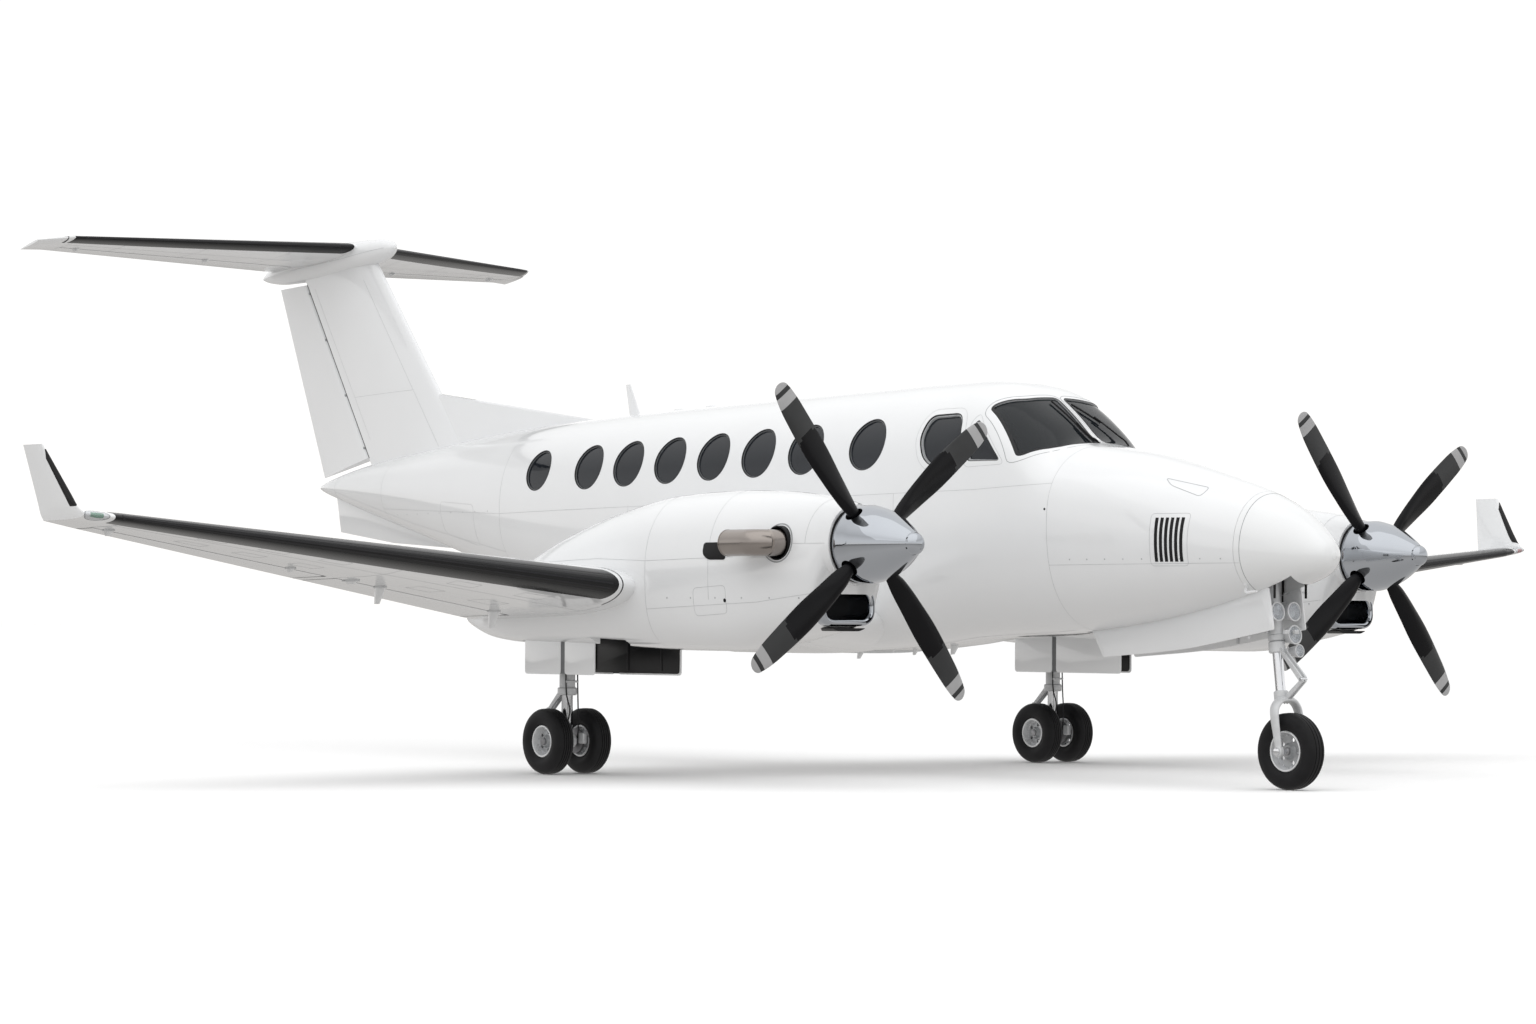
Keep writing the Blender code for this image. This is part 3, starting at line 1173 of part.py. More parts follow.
def nose_gear():
    upper = object_from(rod_mesh(nose_point(0.78), nose_point(1.36), NOSE_LEG_RADIUS, 16),
                        "nose_leg", "gear_grey")
    cross = nose_point(1.33)
    half = NOSE_BAY[0]
    trunnion = cutter(rod_mesh((-half + GAP, cross.y, cross.z), (half - GAP, cross.y, cross.z),
                               0.028, 12), "nose_trunnion")
    bar = cutter(rod_mesh(nose_point(0.98, 0.03, -0.12), nose_point(0.98, 0.03, 0.12), 0.020, 10),
                 "light_bar")
    join_union(upper, trunnion, bar)
    for k, (x, height) in enumerate(((-0.085, 0.98), (0.085, 0.98), (0.0, 0.86))):
        lamp = cutter(rod_mesh(nose_point(height, 0.035, x), nose_point(height, 0.155, x),
                               0.052, 16, 0.064), f"lamp_{k}")
        boolean(upper, lamp, "UNION")

    axle = Vector((0, NOSE_WHEEL_Y, NOSE_TYRE_RADIUS))
    steer = pivot("nose_steering_pivot", nose_point(0.5))
    fork = object_from(rod_mesh(nose_point(0.36), nose_point(0.7797), NOSE_PISTON_RADIUS, 16),
                       "nose_fork", "gear_grey", nose_point(0.5), steer)
    collar = cutter(rod_mesh(nose_point(0.70), nose_point(0.7795), 0.060, 16), "steering_collar")
    crown = cutter(box_mesh((-0.145, NOSE_WHEEL_Y - 0.005, 0.585), (0.145, NOSE_WHEEL_Y + 0.125, 0.655),
                            0.018), "fork_crown")
    join_union(fork, collar, crown)
    for x in (-1, 1):
        low, high = sorted((x * 0.112, x * 0.145))
        arm = cutter(prism_mesh(((NOSE_WHEEL_Y - 0.035, 0.245), (NOSE_WHEEL_Y + 0.035, 0.235),
                                 (NOSE_WHEEL_Y + 0.095, 0.62), (NOSE_WHEEL_Y + 0.015, 0.62)), "X",
                                low, high), f"fork_arm_{x}")
        boolean(fork, arm, "UNION")
    boolean(fork, cutter(rod_mesh((-0.135, axle.y, axle.z), (0.135, axle.y, axle.z),
                                  AXLE_RADIUS, 12), "nose_axle"), "UNION")
    link = cutter(prism_mesh([nose_point(h, a)[1:] for h, a in
                              ((0.745, 0.03), (0.500, 0.235), (0.475, 0.205), (0.700, 0.02))],
                             "X", -0.030, 0.030), "scissor_upper")
    lower = cutter(prism_mesh([nose_point(h, a)[1:] for h, a in
                               ((0.500, 0.235), (0.470, 0.235), (0.330, 0.03), (0.375, 0.02))],
                              "X", -0.022, 0.022), "scissor_lower")
    join_union(fork, link, lower)

    roll = pivot("nose_wheel_pivot", axle)
    roll.parent = steer
    roll.location = axle - steer.location
    for obj in (tyre("nose_tyre", axle, NOSE_TYRE_RADIUS, NOSE_TYRE_WIDTH, NOSE_RIM_RADIUS, None),
                object_from(rim_mesh(axle, NOSE_TYRE_WIDTH, NOSE_RIM_RADIUS, AXLE_RADIUS + 0.0008),
                            "nose_rim", "wheel_metal", axle)):
        obj.parent = roll
        obj.location = (0, 0, 0)

    doors = object_from(rod_mesh((-half + 0.005, *NOSE_TIE), (half - 0.005, *NOSE_TIE), 0.010, 10),
                        "nose_doors", "airframe_white")
    for side in (1, -1):
        wall = side * (half - GAP)
        low, high = sorted((wall, wall - side * 0.010))
        boolean(doors, cutter(prism_mesh(NOSE_DOOR, "X", low, high), f"nose_door_{side_word(side)}"),
                "UNION")


# Tail

def build_tail():
    bullet = object_from(bullet_mesh(), "tail_bullet", "airframe_white")
    boolean(bullet, cutter(loft_mesh(tailplane_rings(0.0004)), "tailplane_in_bullet"))
    fin_rings = []
    lead_low, lead_high = (Vector((0, *point)) for point in FIN)
    hinge_low, hinge_high = (Vector((0, *point)) for point in FIN_HINGE)
    lead_rise = (lead_high - lead_low).normalized()
    axis = (hinge_high - hinge_low).normalized()
    for lead, hinge, reach, nose in ((lead_low, hinge_low, -FIN_SUNK, RUDDER_NOSE[0]),
                                     (lead_high, hinge_high, FIN_RISE, RUDDER_NOSE[1])):
        lead = lead + lead_rise * reach
        hinge = hinge + axis * reach
        chord = (hinge - lead).length / FIN_SHARE
        along = (hinge - lead).normalized()
        last = (hinge - lead).length - nose - RUNNING_GAP
        port = []
        starboard = []
        for u in FIN_STEPS:
            distance = min(u * chord, last)
            half = half_thickness(distance / chord) * FIN_THICKNESS * chord
            port.append(lead + along * distance + Vector((half, 0, 0)))
            starboard.append(lead + along * distance - Vector((half, 0, 0)))
        fin_rings.append(port[::-1] + starboard[1:])
    fin = object_from(loft_mesh(fin_rings), "fin", "airframe_white")
    boolean(fin, cutter(loft_mesh(hull_rings(AFT_STATIONS, 0.0004)), "hull_in_fin"))
    boolean(fin, cutter(bullet_mesh(0.0004), "bullet_in_fin"))

    rudder_rings = []
    for hinge, tail, radius in zip((hinge_low, hinge_high), RUDDER_TRAIL, RUDDER_NOSE):
        trail = Vector((0, *tail))
        along = (trail - hinge).normalized()
        ring = [trail + Vector((0.003, 0, 0))]
        for angle in (90, 60, 30, 0, -30, -60, -90):
            a = math.radians(angle)
            ring.append(hinge - along * radius * math.cos(a) + Vector((radius * math.sin(a), 0, 0)))
        ring.append(trail - Vector((0.003, 0, 0)))
        rudder_rings.append(ring)
    middle = (hinge_low + hinge_high) / 2
    joint = pivot("rudder_pivot", middle)
    rudder = object_from(loft_mesh(rudder_rings), "rudder", "airframe_white", middle, joint)
    low = hinge_low - axis * RUDDER_PIN[0]
    high = hinge_high + axis * RUDDER_PIN[1]
    boolean(rudder, cutter(rod_mesh(low, high, PIN_RADIUS, 12), "rudder_pin"), "UNION")
    boolean(bpy.data.objects["aft_fuselage"],
            cutter(rod_mesh(low - axis * 0.004, high, PIN_BORE, 16), "rudder_bore_low"))
    boolean(bpy.data.objects["tail_bullet"],
            cutter(rod_mesh(low, high + axis * 0.004, PIN_BORE, 16), "rudder_bore_high"))

    dorsal = [(DORSAL[0][0], 2.60), (4.00, 2.60), (DORSAL[1][0] + 0.02, DORSAL[1][1]),
              (DORSAL[0][0], DORSAL[0][1])]
    dorsal_fin = object_from(prism_mesh(dorsal, "X", -0.022, 0.022), "dorsal_fin",
                             "airframe_white")
    boolean(dorsal_fin, cutter(loft_mesh(hull_rings((1.2, 1.529, 2.10) + AFT_STATIONS[1:], 0.0004)),
                               "hull_in_dorsal"))
    boolean(dorsal_fin, cutter(loft_mesh(grown_fin(fin_rings)), "fin_in_dorsal"))

    ventral_fin = object_from(prism_mesh(VENTRAL, "X", -0.016, 0.016), "ventral_fin",
                              "airframe_white")
    boolean(ventral_fin, cutter(loft_mesh(hull_rings(AFT_STATIONS, 0.0004)),
                                "hull_in_ventral"))

    tailplane = object_from(loft_mesh(tailplane_rings()), "tailplane", "airframe_white")
    for side in (1, -1):
        name = f"elevator_{side_word(side)}"
        boolean(tailplane, surface_cutter(tail_station, ELEVATOR, ELEVATOR_HINGE, 0.0, side,
                                          f"{name}_space"))
        hinge_bores(tailplane, name, tail_station, ELEVATOR, ELEVATOR_HINGE, 0.0, side)
        hinged_surface(name, tail_station, ELEVATOR, ELEVATOR_HINGE, 0.0, side)


def tailplane_rings(grow=0.0):
    rings = []
    for side, rows in ((-1, TAILPLANE[::-1]), (1, TAILPLANE[1:])):
        for row in rows:
            lead, trail, ratio = tail_station(row[0])
            rings.append(mirrored(wing_ring(lead, trail, ratio, (0, 0, 1), 0.0, grow), side))
    return rings


def grown_fin(rings):
    """The fin's sections, grown by a touching gap."""
    grown = []
    for ring in rings:
        centre = sum(ring, Vector()) / len(ring)
        grown.append([p + (p - centre).normalized() * 0.0006 for p in ring])
    return grown


def bullet_mesh(grow=0.0):
    rings = []
    for y, bottom, top, half in BULLET:
        rings.append(oval_ring(y, 0.0, bottom - grow, top + grow, half + grow,
                               (bottom + top) / 2, 2.0, 2.0, 12))
    return loft_mesh(rings)


build_fuselage()
build_glazing()
build_lining()
build_interior()
build_door()
build_wings()
build_nacelles()
build_propellers()
for SIDE in (1, -1):
    main_gear(SIDE)
nose_gear()
build_tail()
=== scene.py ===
# Looks of a twin turboprop airplane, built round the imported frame.
#
# Metres, +Z up. The nose points to -Y and the port wing to +X.

import math

import bmesh
import bpy
import numpy as np
from mathutils import Matrix, Vector


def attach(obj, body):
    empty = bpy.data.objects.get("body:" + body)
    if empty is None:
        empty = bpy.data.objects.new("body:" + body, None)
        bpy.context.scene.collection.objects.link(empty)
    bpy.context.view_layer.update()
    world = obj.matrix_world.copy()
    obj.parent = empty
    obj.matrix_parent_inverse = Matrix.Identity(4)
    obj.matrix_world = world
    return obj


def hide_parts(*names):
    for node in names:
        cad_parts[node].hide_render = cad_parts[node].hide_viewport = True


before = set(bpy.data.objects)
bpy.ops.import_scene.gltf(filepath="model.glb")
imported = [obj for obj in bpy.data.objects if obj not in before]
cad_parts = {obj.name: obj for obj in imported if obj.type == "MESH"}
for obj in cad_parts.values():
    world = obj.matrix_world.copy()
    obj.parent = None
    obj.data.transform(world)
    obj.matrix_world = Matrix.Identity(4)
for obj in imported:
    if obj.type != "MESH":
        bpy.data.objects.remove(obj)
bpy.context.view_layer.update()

NOSE_Y = -6.815
TAIL_Y = 6.815
ENGINE_X = 2.62
GEAR_X = 2.57
GEAR_Y = -1.36
NOSE_WHEEL_Y = -6.41
HULL_WALL = 0.055
# Half of the fine gap between two lengths of a skin
SEAM = 0.0015
RUNNING_GAP = 0.006
AIRFRAME = "airframe"

# Fuselage stations: y, bottom, top, half width, height of the widest line,
# roundness of the upper half, roundness of the lower half (2 is an ellipse)
HULL = (
    (NOSE_Y, 1.625, 1.675, 0.020, 1.650, 2.0, 2.0),
    (-6.790, 1.570, 1.732, 0.092, 1.652, 2.0, 2.0),
    (-6.710, 1.500, 1.815, 0.165, 1.655, 2.0, 2.0),
    (-6.580, 1.458, 1.925, 0.238, 1.665, 2.0, 2.0),
    (-6.440, 1.415, 2.010, 0.300, 1.680, 2.0, 2.05),
    (-6.160, 1.345, 2.130, 0.390, 1.710, 2.0, 2.1),
    (-5.860, 1.278, 2.220, 0.470, 1.740, 2.05, 2.2),
    (-5.470, 1.205, 2.325, 0.550, 1.785, 2.2, 2.3),
    (-5.070, 1.148, 2.418, 0.620, 1.845, 2.3, 2.4),
    (-4.620, 1.100, 2.489, 0.675, 1.905, 2.35, 2.45),
    (-4.500, 1.090, 2.515, 0.688, 1.920, 2.5, 2.45),
    (-4.260, 1.075, 2.709, 0.710, 1.950, 3.0, 2.5),
    (-4.046, 1.065, 2.868, 0.727, 1.975, 3.1, 2.5),
    (-3.900, 1.060, 2.946, 0.737, 1.990, 3.0, 2.5),
    (-3.730, 1.054, 2.990, 0.748, 2.000, 2.8, 2.55),
    (-3.447, 1.040, 3.014, 0.760, 2.000, 2.5, 2.7),
    (-2.960, 0.990, 3.010, 0.770, 2.000, 2.4, 3.4),
    (-2.300, 0.945, 2.993, 0.770, 2.000, 2.4, 4.0),
    (-1.200, 0.937, 2.966, 0.770, 2.000, 2.4, 4.0),
    (-0.450, 0.955, 2.946, 0.770, 2.000, 2.4, 3.4),
    (0.250, 1.030, 2.928, 0.768, 2.000, 2.4, 2.7),
    (0.844, 1.140, 2.910, 0.755, 2.010, 2.4, 2.5),
    (1.529, 1.300, 2.885, 0.718, 2.050, 2.35, 2.4),
    (2.150, 1.452, 2.853, 0.665, 2.100, 2.3, 2.3),
    (3.005, 1.662, 2.792, 0.560, 2.190, 2.2, 2.2),
    (3.866, 1.878, 2.703, 0.438, 2.270, 2.1, 2.1),
    (4.875, 2.122, 2.590, 0.275, 2.345, 2.0, 2.0),
    (5.500, 2.290, 2.475, 0.150, 2.378, 2.0, 2.0),
    (5.700, 2.345, 2.430, 0.080, 2.386, 2.0, 2.0),
    (5.790, 2.378, 2.404, 0.022, 2.391, 2.0, 2.0),
)
HULL_END_Y = HULL[-1][0]
RADOME_Y = -6.20
BULKHEAD_Y = -4.62
AFT_BULKHEAD_Y = 2.10
FLOOR_Z = 1.42

# Windows, as y, z and radius; the door takes the place of one to port
WINDOW_ROW = ((-2.669, 2.527, 0.200), (-1.948, 2.508, 0.199), (-1.377, 2.496, 0.196),
              (-0.819, 2.482, 0.193), (-0.269, 2.467, 0.192), (0.277, 2.455, 0.190),
              (0.817, 2.440, 0.187), (1.554, 2.431, 0.173))
DOOR_WINDOW = 6
SIDE_WINDOW = ((-3.765, 2.350), (-3.420, 2.342), (-3.325, 2.410), (-3.250, 2.560),
               (-3.290, 2.735), (-3.670, 2.742))
QUARTER_WINDOW = ((-4.145, 2.365), (-3.812, 2.368), (-3.822, 2.640), (-3.858, 2.685))
# Windshield: foot of its centre post, slope, and a pane's corners in the sloping
# plane as x and distance up the slope
WINDSHIELD_FOOT = Vector((0, -4.496, 2.509))
WINDSHIELD_SLOPE = math.radians(38.0)
WINDSHIELD = ((0.030, -0.045), (0.030, 0.560), (0.330, 0.552), (0.565, 0.635),
              (0.652, 0.085), (0.430, 0.000))
UP_SLOPE = Vector((0, math.cos(WINDSHIELD_SLOPE), math.sin(WINDSHIELD_SLOPE)))
OUT_SLOPE = Vector((0, -math.sin(WINDSHIELD_SLOPE), math.cos(WINDSHIELD_SLOPE)))

# Air-stair door
DOOR_Y = (0.54, 1.22)
DOOR_Z = (1.46, 2.72)
DOOR_HINGE_Y = (0.65, 1.11)
DOOR_TOP = (0.25, -0.106)
DOOR_CORNER = 0.09

# Wing and tailplane: x, leading edge y and z, trailing edge y and z, thickness ratio
WING = (
    (0.300, -2.800, 1.141, -0.620, 0.926, 0.165),
    (3.050, -2.787, 1.415, -0.690, 1.186, 0.155),
    (7.150, -2.500, 1.825, -1.800, 1.771, 0.120),
    (7.430, -2.420, 1.853, -1.890, 1.812, 0.110),
)
WING_CAMBER = 0.020
# Winglet: x, leading edge y and z, trailing edge y and z, thickness, lean in degrees
WINGLET = (
    (7.4303, -2.420, 1.853, -1.890, 1.812, 0.055, 0.0),
    (7.4450, -2.350, 1.905, -1.878, 1.852, 0.040, 40.0),
    (7.4580, -2.285, 1.985, -1.862, 1.930, 0.042, 80.0),
    (7.5300, -2.035, 2.325, -1.781, 2.325, 0.026, 84.0),
)
FLAP_INBOARD = (0.86, 2.12)
FLAP_OUTBOARD = (3.12, 4.88)
AILERON = (4.98, 7.12)
SURFACE_HINGE = 0.74
TAILPLANE = (
    (0.000, 5.060, 4.600, 6.600, 4.460, 0.095),
    (2.560, 6.020, 4.590, 6.610, 4.515, 0.090),
    (2.740, 6.330, 4.575, 6.655, 4.508, 0.065),
)
ELEVATOR = (0.200, 2.500)
ELEVATOR_HINGE = 0.66

# Fin and rudder: points at the bottom and top of each line, as y and z
FIN_LEAD = (Vector((0, 3.489, 2.700)), Vector((0, 4.827, 4.330)))
FIN_HINGE = (Vector((0, 5.000, 2.640)), Vector((0, 6.052, 4.300)))
RUDDER_TRAIL = (Vector((0, 5.745, 2.480)), Vector((0, 6.518, 4.285)))
FIN_THICKNESS = 0.085
FIN_SHARE = 0.69
RUDDER_NOSE = (0.054, 0.043)
DORSAL = ((1.530, 2.875), (3.980, 3.210))
VENTRAL = ((3.60, 1.80), (5.53, 2.31), (5.455, 1.97), (4.60, 1.86))
# Fairing at the top of the fin: y, bottom, top, half width, widest line, powers
BULLET = (
    (4.650, 4.560, 4.590, 0.015, 4.575, 2.0, 2.0),
    (4.700, 4.505, 4.636, 0.070, 4.570, 2.0, 2.0),
    (4.880, 4.440, 4.661, 0.115, 4.552, 2.0, 2.0),
    (5.300, 4.385, 4.666, 0.140, 4.528, 2.0, 2.0),
    (5.900, 4.338, 4.638, 0.135, 4.489, 2.0, 2.0),
    (6.400, 4.330, 4.570, 0.095, 4.450, 2.0, 2.0),
    (6.700, 4.360, 4.482, 0.045, 4.421, 2.0, 2.0),
    (TAIL_Y, 4.392, 4.420, 0.010, 4.406, 2.0, 2.0),
)

# Nacelle: as the fuselage's stations
NACELLE_TOP = 2.15
NACELLE = tuple((*row[:5], NACELLE_TOP, row[5]) for row in (
    (-4.750, 1.425, 1.985, 0.280, 1.705, 2.0),
    (-4.665, 1.412, 2.008, 0.308, 1.690, 2.1),
    (-4.640, 1.150, 2.014, 0.318, 1.675, 3.6),
    (-4.560, 1.120, 2.030, 0.335, 1.640, 3.6),
    (-4.350, 1.070, 2.062, 0.370, 1.600, 3.2),
    (-4.050, 1.015, 2.090, 0.405, 1.570, 3.0),
    (-3.550, 0.950, 2.106, 0.432, 1.560, 3.0),
    (-2.900, 0.952, 2.085, 0.430, 1.540, 3.0),
    (-2.300, 0.972, 1.990, 0.415, 1.480, 3.5),
    (-1.700, 0.985, 1.840, 0.385, 1.400, 3.5),
    (-1.100, 0.992, 1.610, 0.330, 1.300, 3.5),
    (-0.700, 1.020, 1.400, 0.260, 1.220, 3.0),
    (-0.350, 1.105, 1.265, 0.150, 1.185, 2.4),
    (-0.168, 1.165, 1.190, 0.030, 1.178, 2.0),
))
FIREWALL_Y = -2.90
COWL_WALL = 0.022
INTAKE_Z = 1.272
INTAKE_SIZE = (0.40, 0.165)
INTAKE_LIP = 0.055
INTAKE_CORNERS = (0.125, 0.078)
INTAKE_Y = (-4.660, -4.460)
EXHAUST_Y = -4.32
EXHAUST_Z = 1.715
EXHAUST_RADIUS = 0.094
EXHAUST_HOLE = 0.122
EXHAUST_END_Y = -3.98
EXHAUST_OUT = 0.545

PROP_Y = -4.89
PROP_Z = 1.705
PROP_RADIUS = 1.38
PROP_ANGLE = 51.0
SPINNER_BASE_Y = -4.762
# Spinner: distance ahead of its base, radius
SPINNER = ((0.000, 0.262), (0.050, 0.273), (0.130, 0.273), (0.240, 0.252), (0.350, 0.210),
           (0.460, 0.150), (0.560, 0.080), (0.626, 0.003))
# Blade: share of the propeller's radius, chord, thickness, pitch, setback
BLADE = (
    (0.043, 0.080, 0.080, 12.0, 0.000),
    (0.196, 0.092, 0.078, 11.0, -0.002),
    (0.275, 0.138, 0.052, 8.5, -0.006),
    (0.406, 0.173, 0.034, 5.0, -0.010),
    (0.594, 0.203, 0.024, 2.0, -0.009),
    (0.833, 0.183, 0.015, -2.0, -0.002),
    (0.949, 0.142, 0.010, -4.0, 0.004),
    (1.000, 0.050, 0.006, -4.5, 0.006),
)

# Wheels: radius, width, rim radius
MAIN_TYRE = (0.248, 0.166, 0.122)
NOSE_TYRE = (0.272, 0.168, 0.146)
TWIN_SPACING = 0.36

# Landing gear bays: half width, y range, ceiling
MAIN_BAY = (0.262, -2.460, -1.130, 1.116)
NOSE_BAY = (0.170, -6.56, -4.52, 1.74)
MAIN_TRUNNION = (-1.40, 1.085)
# Doors beside a main leg: outer (1) or inner (-1), front edge
MAIN_DOORS = ((1, -2.03), (-1, -2.42))
MAIN_DOOR_Y = -1.17
MAIN_DOOR_Z = (0.757, 1.088)
NOSE_DOOR = ((-6.352, 1.430), (-6.401, 1.131), (-5.538, 0.988), (-4.704, 0.919),
             (-4.575, 1.130), (-5.537, 1.255))
NOSE_TIE = (-4.80, 1.135)
NOSE_RAKE = math.radians(7.0)


# Materials

MATS = {}


def material(name, colour, roughness=0.4, metallic=0.0, vary=0.05, scale=3.0, rough_vary=0.04,
             bump=0.0, bump_scale=150.0, coat=0.0, alpha=1.0, gloss=0.5):
    """A surface whose colour, roughness and fine relief drift with noise in the object's
    own space."""
    mat = MATS[name] = bpy.data.materials.new(name)
    mat.use_nodes = True
    nodes, links = mat.node_tree.nodes, mat.node_tree.links
    shader = nodes["Principled BSDF"]
    coordinates = nodes.new("ShaderNodeTexCoord")
    noise = nodes.new("ShaderNodeTexNoise")
    noise.inputs["Scale"].default_value = scale
    noise.inputs["Detail"].default_value = 6.0
    links.new(coordinates.outputs["Object"], noise.inputs["Vector"])
    ramp = nodes.new("ShaderNodeValToRGB")
    low, high = ramp.color_ramp.elements
    low.position, high.position = 0.3, 0.7
    low.color = (*(c * (1 - vary) for c in colour), 1)
    high.color = (*(min(1.0, c * (1 + vary)) for c in colour), 1)
    links.new(noise.outputs["Fac"], ramp.inputs["Fac"])
    links.new(ramp.outputs["Color"], shader.inputs["Base Color"])
    spread = nodes.new("ShaderNodeMapRange")
    spread.inputs["To Min"].default_value = max(0.01, roughness - rough_vary)
    spread.inputs["To Max"].default_value = roughness + rough_vary
    links.new(noise.outputs["Fac"], spread.inputs["Value"])
    links.new(spread.outputs["Result"], shader.inputs["Roughness"])
    shader.inputs["Metallic"].default_value = metallic
    shader.inputs["Specular IOR Level"].default_value = gloss
    shader.inputs["Coat Weight"].default_value = coat
    shader.inputs["Coat Roughness"].default_value = 0.04
    shader.inputs["Alpha"].default_value = alpha
    if bump:
        grain = nodes.new("ShaderNodeTexNoise")
        grain.inputs["Scale"].default_value = bump_scale
        grain.inputs["Detail"].default_value = 4.0
        links.new(coordinates.outputs["Object"], grain.inputs["Vector"])
        relief = nodes.new("ShaderNodeBump")
        relief.inputs["Strength"].default_value = bump
        relief.inputs["Distance"].default_value = 0.002
        links.new(grain.outputs["Fac"], relief.inputs["Height"])
        links.new(relief.outputs["Normal"], shader.inputs["Normal"])


material("paint", (0.80, 0.81, 0.82), 0.16, vary=0.012, scale=1.3, rough_vary=0.03, bump=0.02,
         bump_scale=40.0, coat=0.8)
material("composite", (0.79, 0.80, 0.805), 0.20, vary=0.012, scale=2.0, bump=0.02, bump_scale=60.0,
         coat=0.7)
material("seam", (0.30, 0.31, 0.32), 0.6, vary=0.15, scale=9.0)
material("faint_seam", (0.50, 0.51, 0.52), 0.5, vary=0.10, scale=9.0)
material("fastener", (0.45, 0.46, 0.47), 0.4, 0.3, vary=0.15, scale=20.0)
material("black", (0.010, 0.010, 0.011), 0.5, vary=0.2, scale=8.0, gloss=0.2)
material("seal", (0.016, 0.016, 0.018), 0.45, vary=0.2, scale=14.0, bump=0.1, gloss=0.3)
material("boot", (0.006, 0.006, 0.007), 0.22, vary=0.15, scale=5.0, bump=0.05, bump_scale=90.0,
         gloss=0.3)
material("glass", (0.012, 0.015, 0.020), 0.05, vary=0.12, scale=1.5, rough_vary=0.01, alpha=0.92,
         gloss=0.45)
material("clear_glass", (0.009, 0.012, 0.015), 0.03, vary=0.1, scale=1.5, rough_vary=0.01,
         alpha=0.80, gloss=0.35)
material("rubber_grey", (0.13, 0.135, 0.14), 0.45, vary=0.1, scale=10.0)
material("reveal", (0.42, 0.43, 0.44), 0.4, vary=0.08, scale=6.0)
material("chrome", (0.42, 0.44, 0.47), 0.05, 1.0, vary=0.03, scale=2.0, rough_vary=0.02)
material("steel", (0.31, 0.28, 0.26), 0.24, 1.0, vary=0.06, scale=2.5, rough_vary=0.03)
material("blade", (0.030, 0.031, 0.032), 0.36, vary=0.10, scale=6.0, bump=0.03, gloss=0.3)
material("blade_boot", (0.004, 0.004, 0.005), 0.25, vary=0.15, scale=8.0, gloss=0.15)
material("blade_band", (0.38, 0.38, 0.385), 0.45, vary=0.06, scale=8.0)
material("gear", (0.60, 0.61, 0.62), 0.35, 0.1, vary=0.08, scale=14.0, bump=0.06)
material("piston", (0.75, 0.76, 0.78), 0.10, 1.0, vary=0.04, scale=9.0)
material("alloy", (0.40, 0.41, 0.42), 0.36, 0.6, vary=0.12, scale=12.0, bump=0.08)
material("bead", (0.74, 0.75, 0.76), 0.28, 0.4, vary=0.06, scale=12.0)
material("tyre", (0.009, 0.009, 0.010), 0.55, vary=0.25, scale=10.0, bump=0.20, bump_scale=260.0,
         gloss=0.2)
# Insides of the gear bays and cowls: nearly black, a colour that paints the shade of these
# recesses.
material("bay", (0.012, 0.012, 0.012), 0.6, vary=0.3, scale=6.0, bump=0.1, gloss=0.2)
material("door_inside", (0.012, 0.012, 0.013), 0.32, vary=0.2, scale=7.0, gloss=0.3)
material("trim", (0.16, 0.165, 0.17), 0.6, vary=0.12, scale=9.0, bump=0.1)
material("leather", (0.42, 0.37, 0.31), 0.5, vary=0.12, scale=9.0, bump=0.35, bump_scale=170.0)
material("lamp", (0.70, 0.72, 0.75), 0.06, 0.9, vary=0.08, scale=30.0)
material("lens", (0.60, 0.63, 0.66), 0.05, 0.0, vary=0.06, scale=12.0, alpha=0.35)
material("engine", (0.30, 0.30, 0.31), 0.42, 0.85, vary=0.2, scale=9.0, bump=0.2)
material("red_lens", (0.50, 0.04, 0.03), 0.08, vary=0.1, scale=12.0, alpha=0.8)
material("green_lens", (0.05, 0.32, 0.16), 0.08, vary=0.1, scale=12.0, alpha=0.8)


# Mesh helpers

def side_word(side):
    return "left" if side > 0 else "right"


def around(count, phase=0.0):
    """Evenly spread angles of a full turn."""
    return [2 * math.pi * (k + phase) / count for k in range(count)]


def new_object(name, verts, faces, mats, kinds=None):
    """A mesh object; kinds gives each face's material as a number."""
    mesh = bpy.data.meshes.new(name)
    mesh.from_pydata([tuple(v) for v in verts], [], faces)
    mesh.update()
    for mat in ([mats] if isinstance(mats, str) else mats):
        mesh.materials.append(MATS[mat])
    if kinds is not None:
        mesh.polygons.foreach_set("material_index", np.asarray(kinds, np.int32))
    obj = bpy.data.objects.new(name, mesh)
    bpy.context.scene.collection.objects.link(obj)
    return obj


def from_bmesh(name, bm, mats):
    obj = new_object(name, [], [], mats)
    bm.normal_update()
    bm.to_mesh(obj.data)
    bm.free()
    return obj


def shade(obj, angle=35):
    obj.data.shade_smooth()
    obj.data.set_sharp_from_angle(angle=math.radians(angle))
    return obj


def place(obj, body=AIRFRAME, slot="white_paint", *nodes):
    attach(obj, body)
    if nodes:
        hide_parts(*nodes)
    return obj


def bake(obj):
    """Turn an object's modifiers into its mesh."""
    graph = bpy.context.evaluated_depsgraph_get()
    mesh = bpy.data.meshes.new_from_object(obj.evaluated_get(graph))
    obj.modifiers.clear()
    obj.data = mesh


def combine(obj, others, operation="DIFFERENCE"):
    """Cut, join or intersect with other closed objects, which are used up."""
    others = [others] if isinstance(others, bpy.types.Object) else list(others)
    for other in others:
        mod = obj.modifiers.new("combine", "BOOLEAN")
        mod.operation = operation
        mod.object = other
        mod.solver = "MANIFOLD"
    bake(obj)
    for other in others:
        bpy.data.objects.remove(other)
    return obj


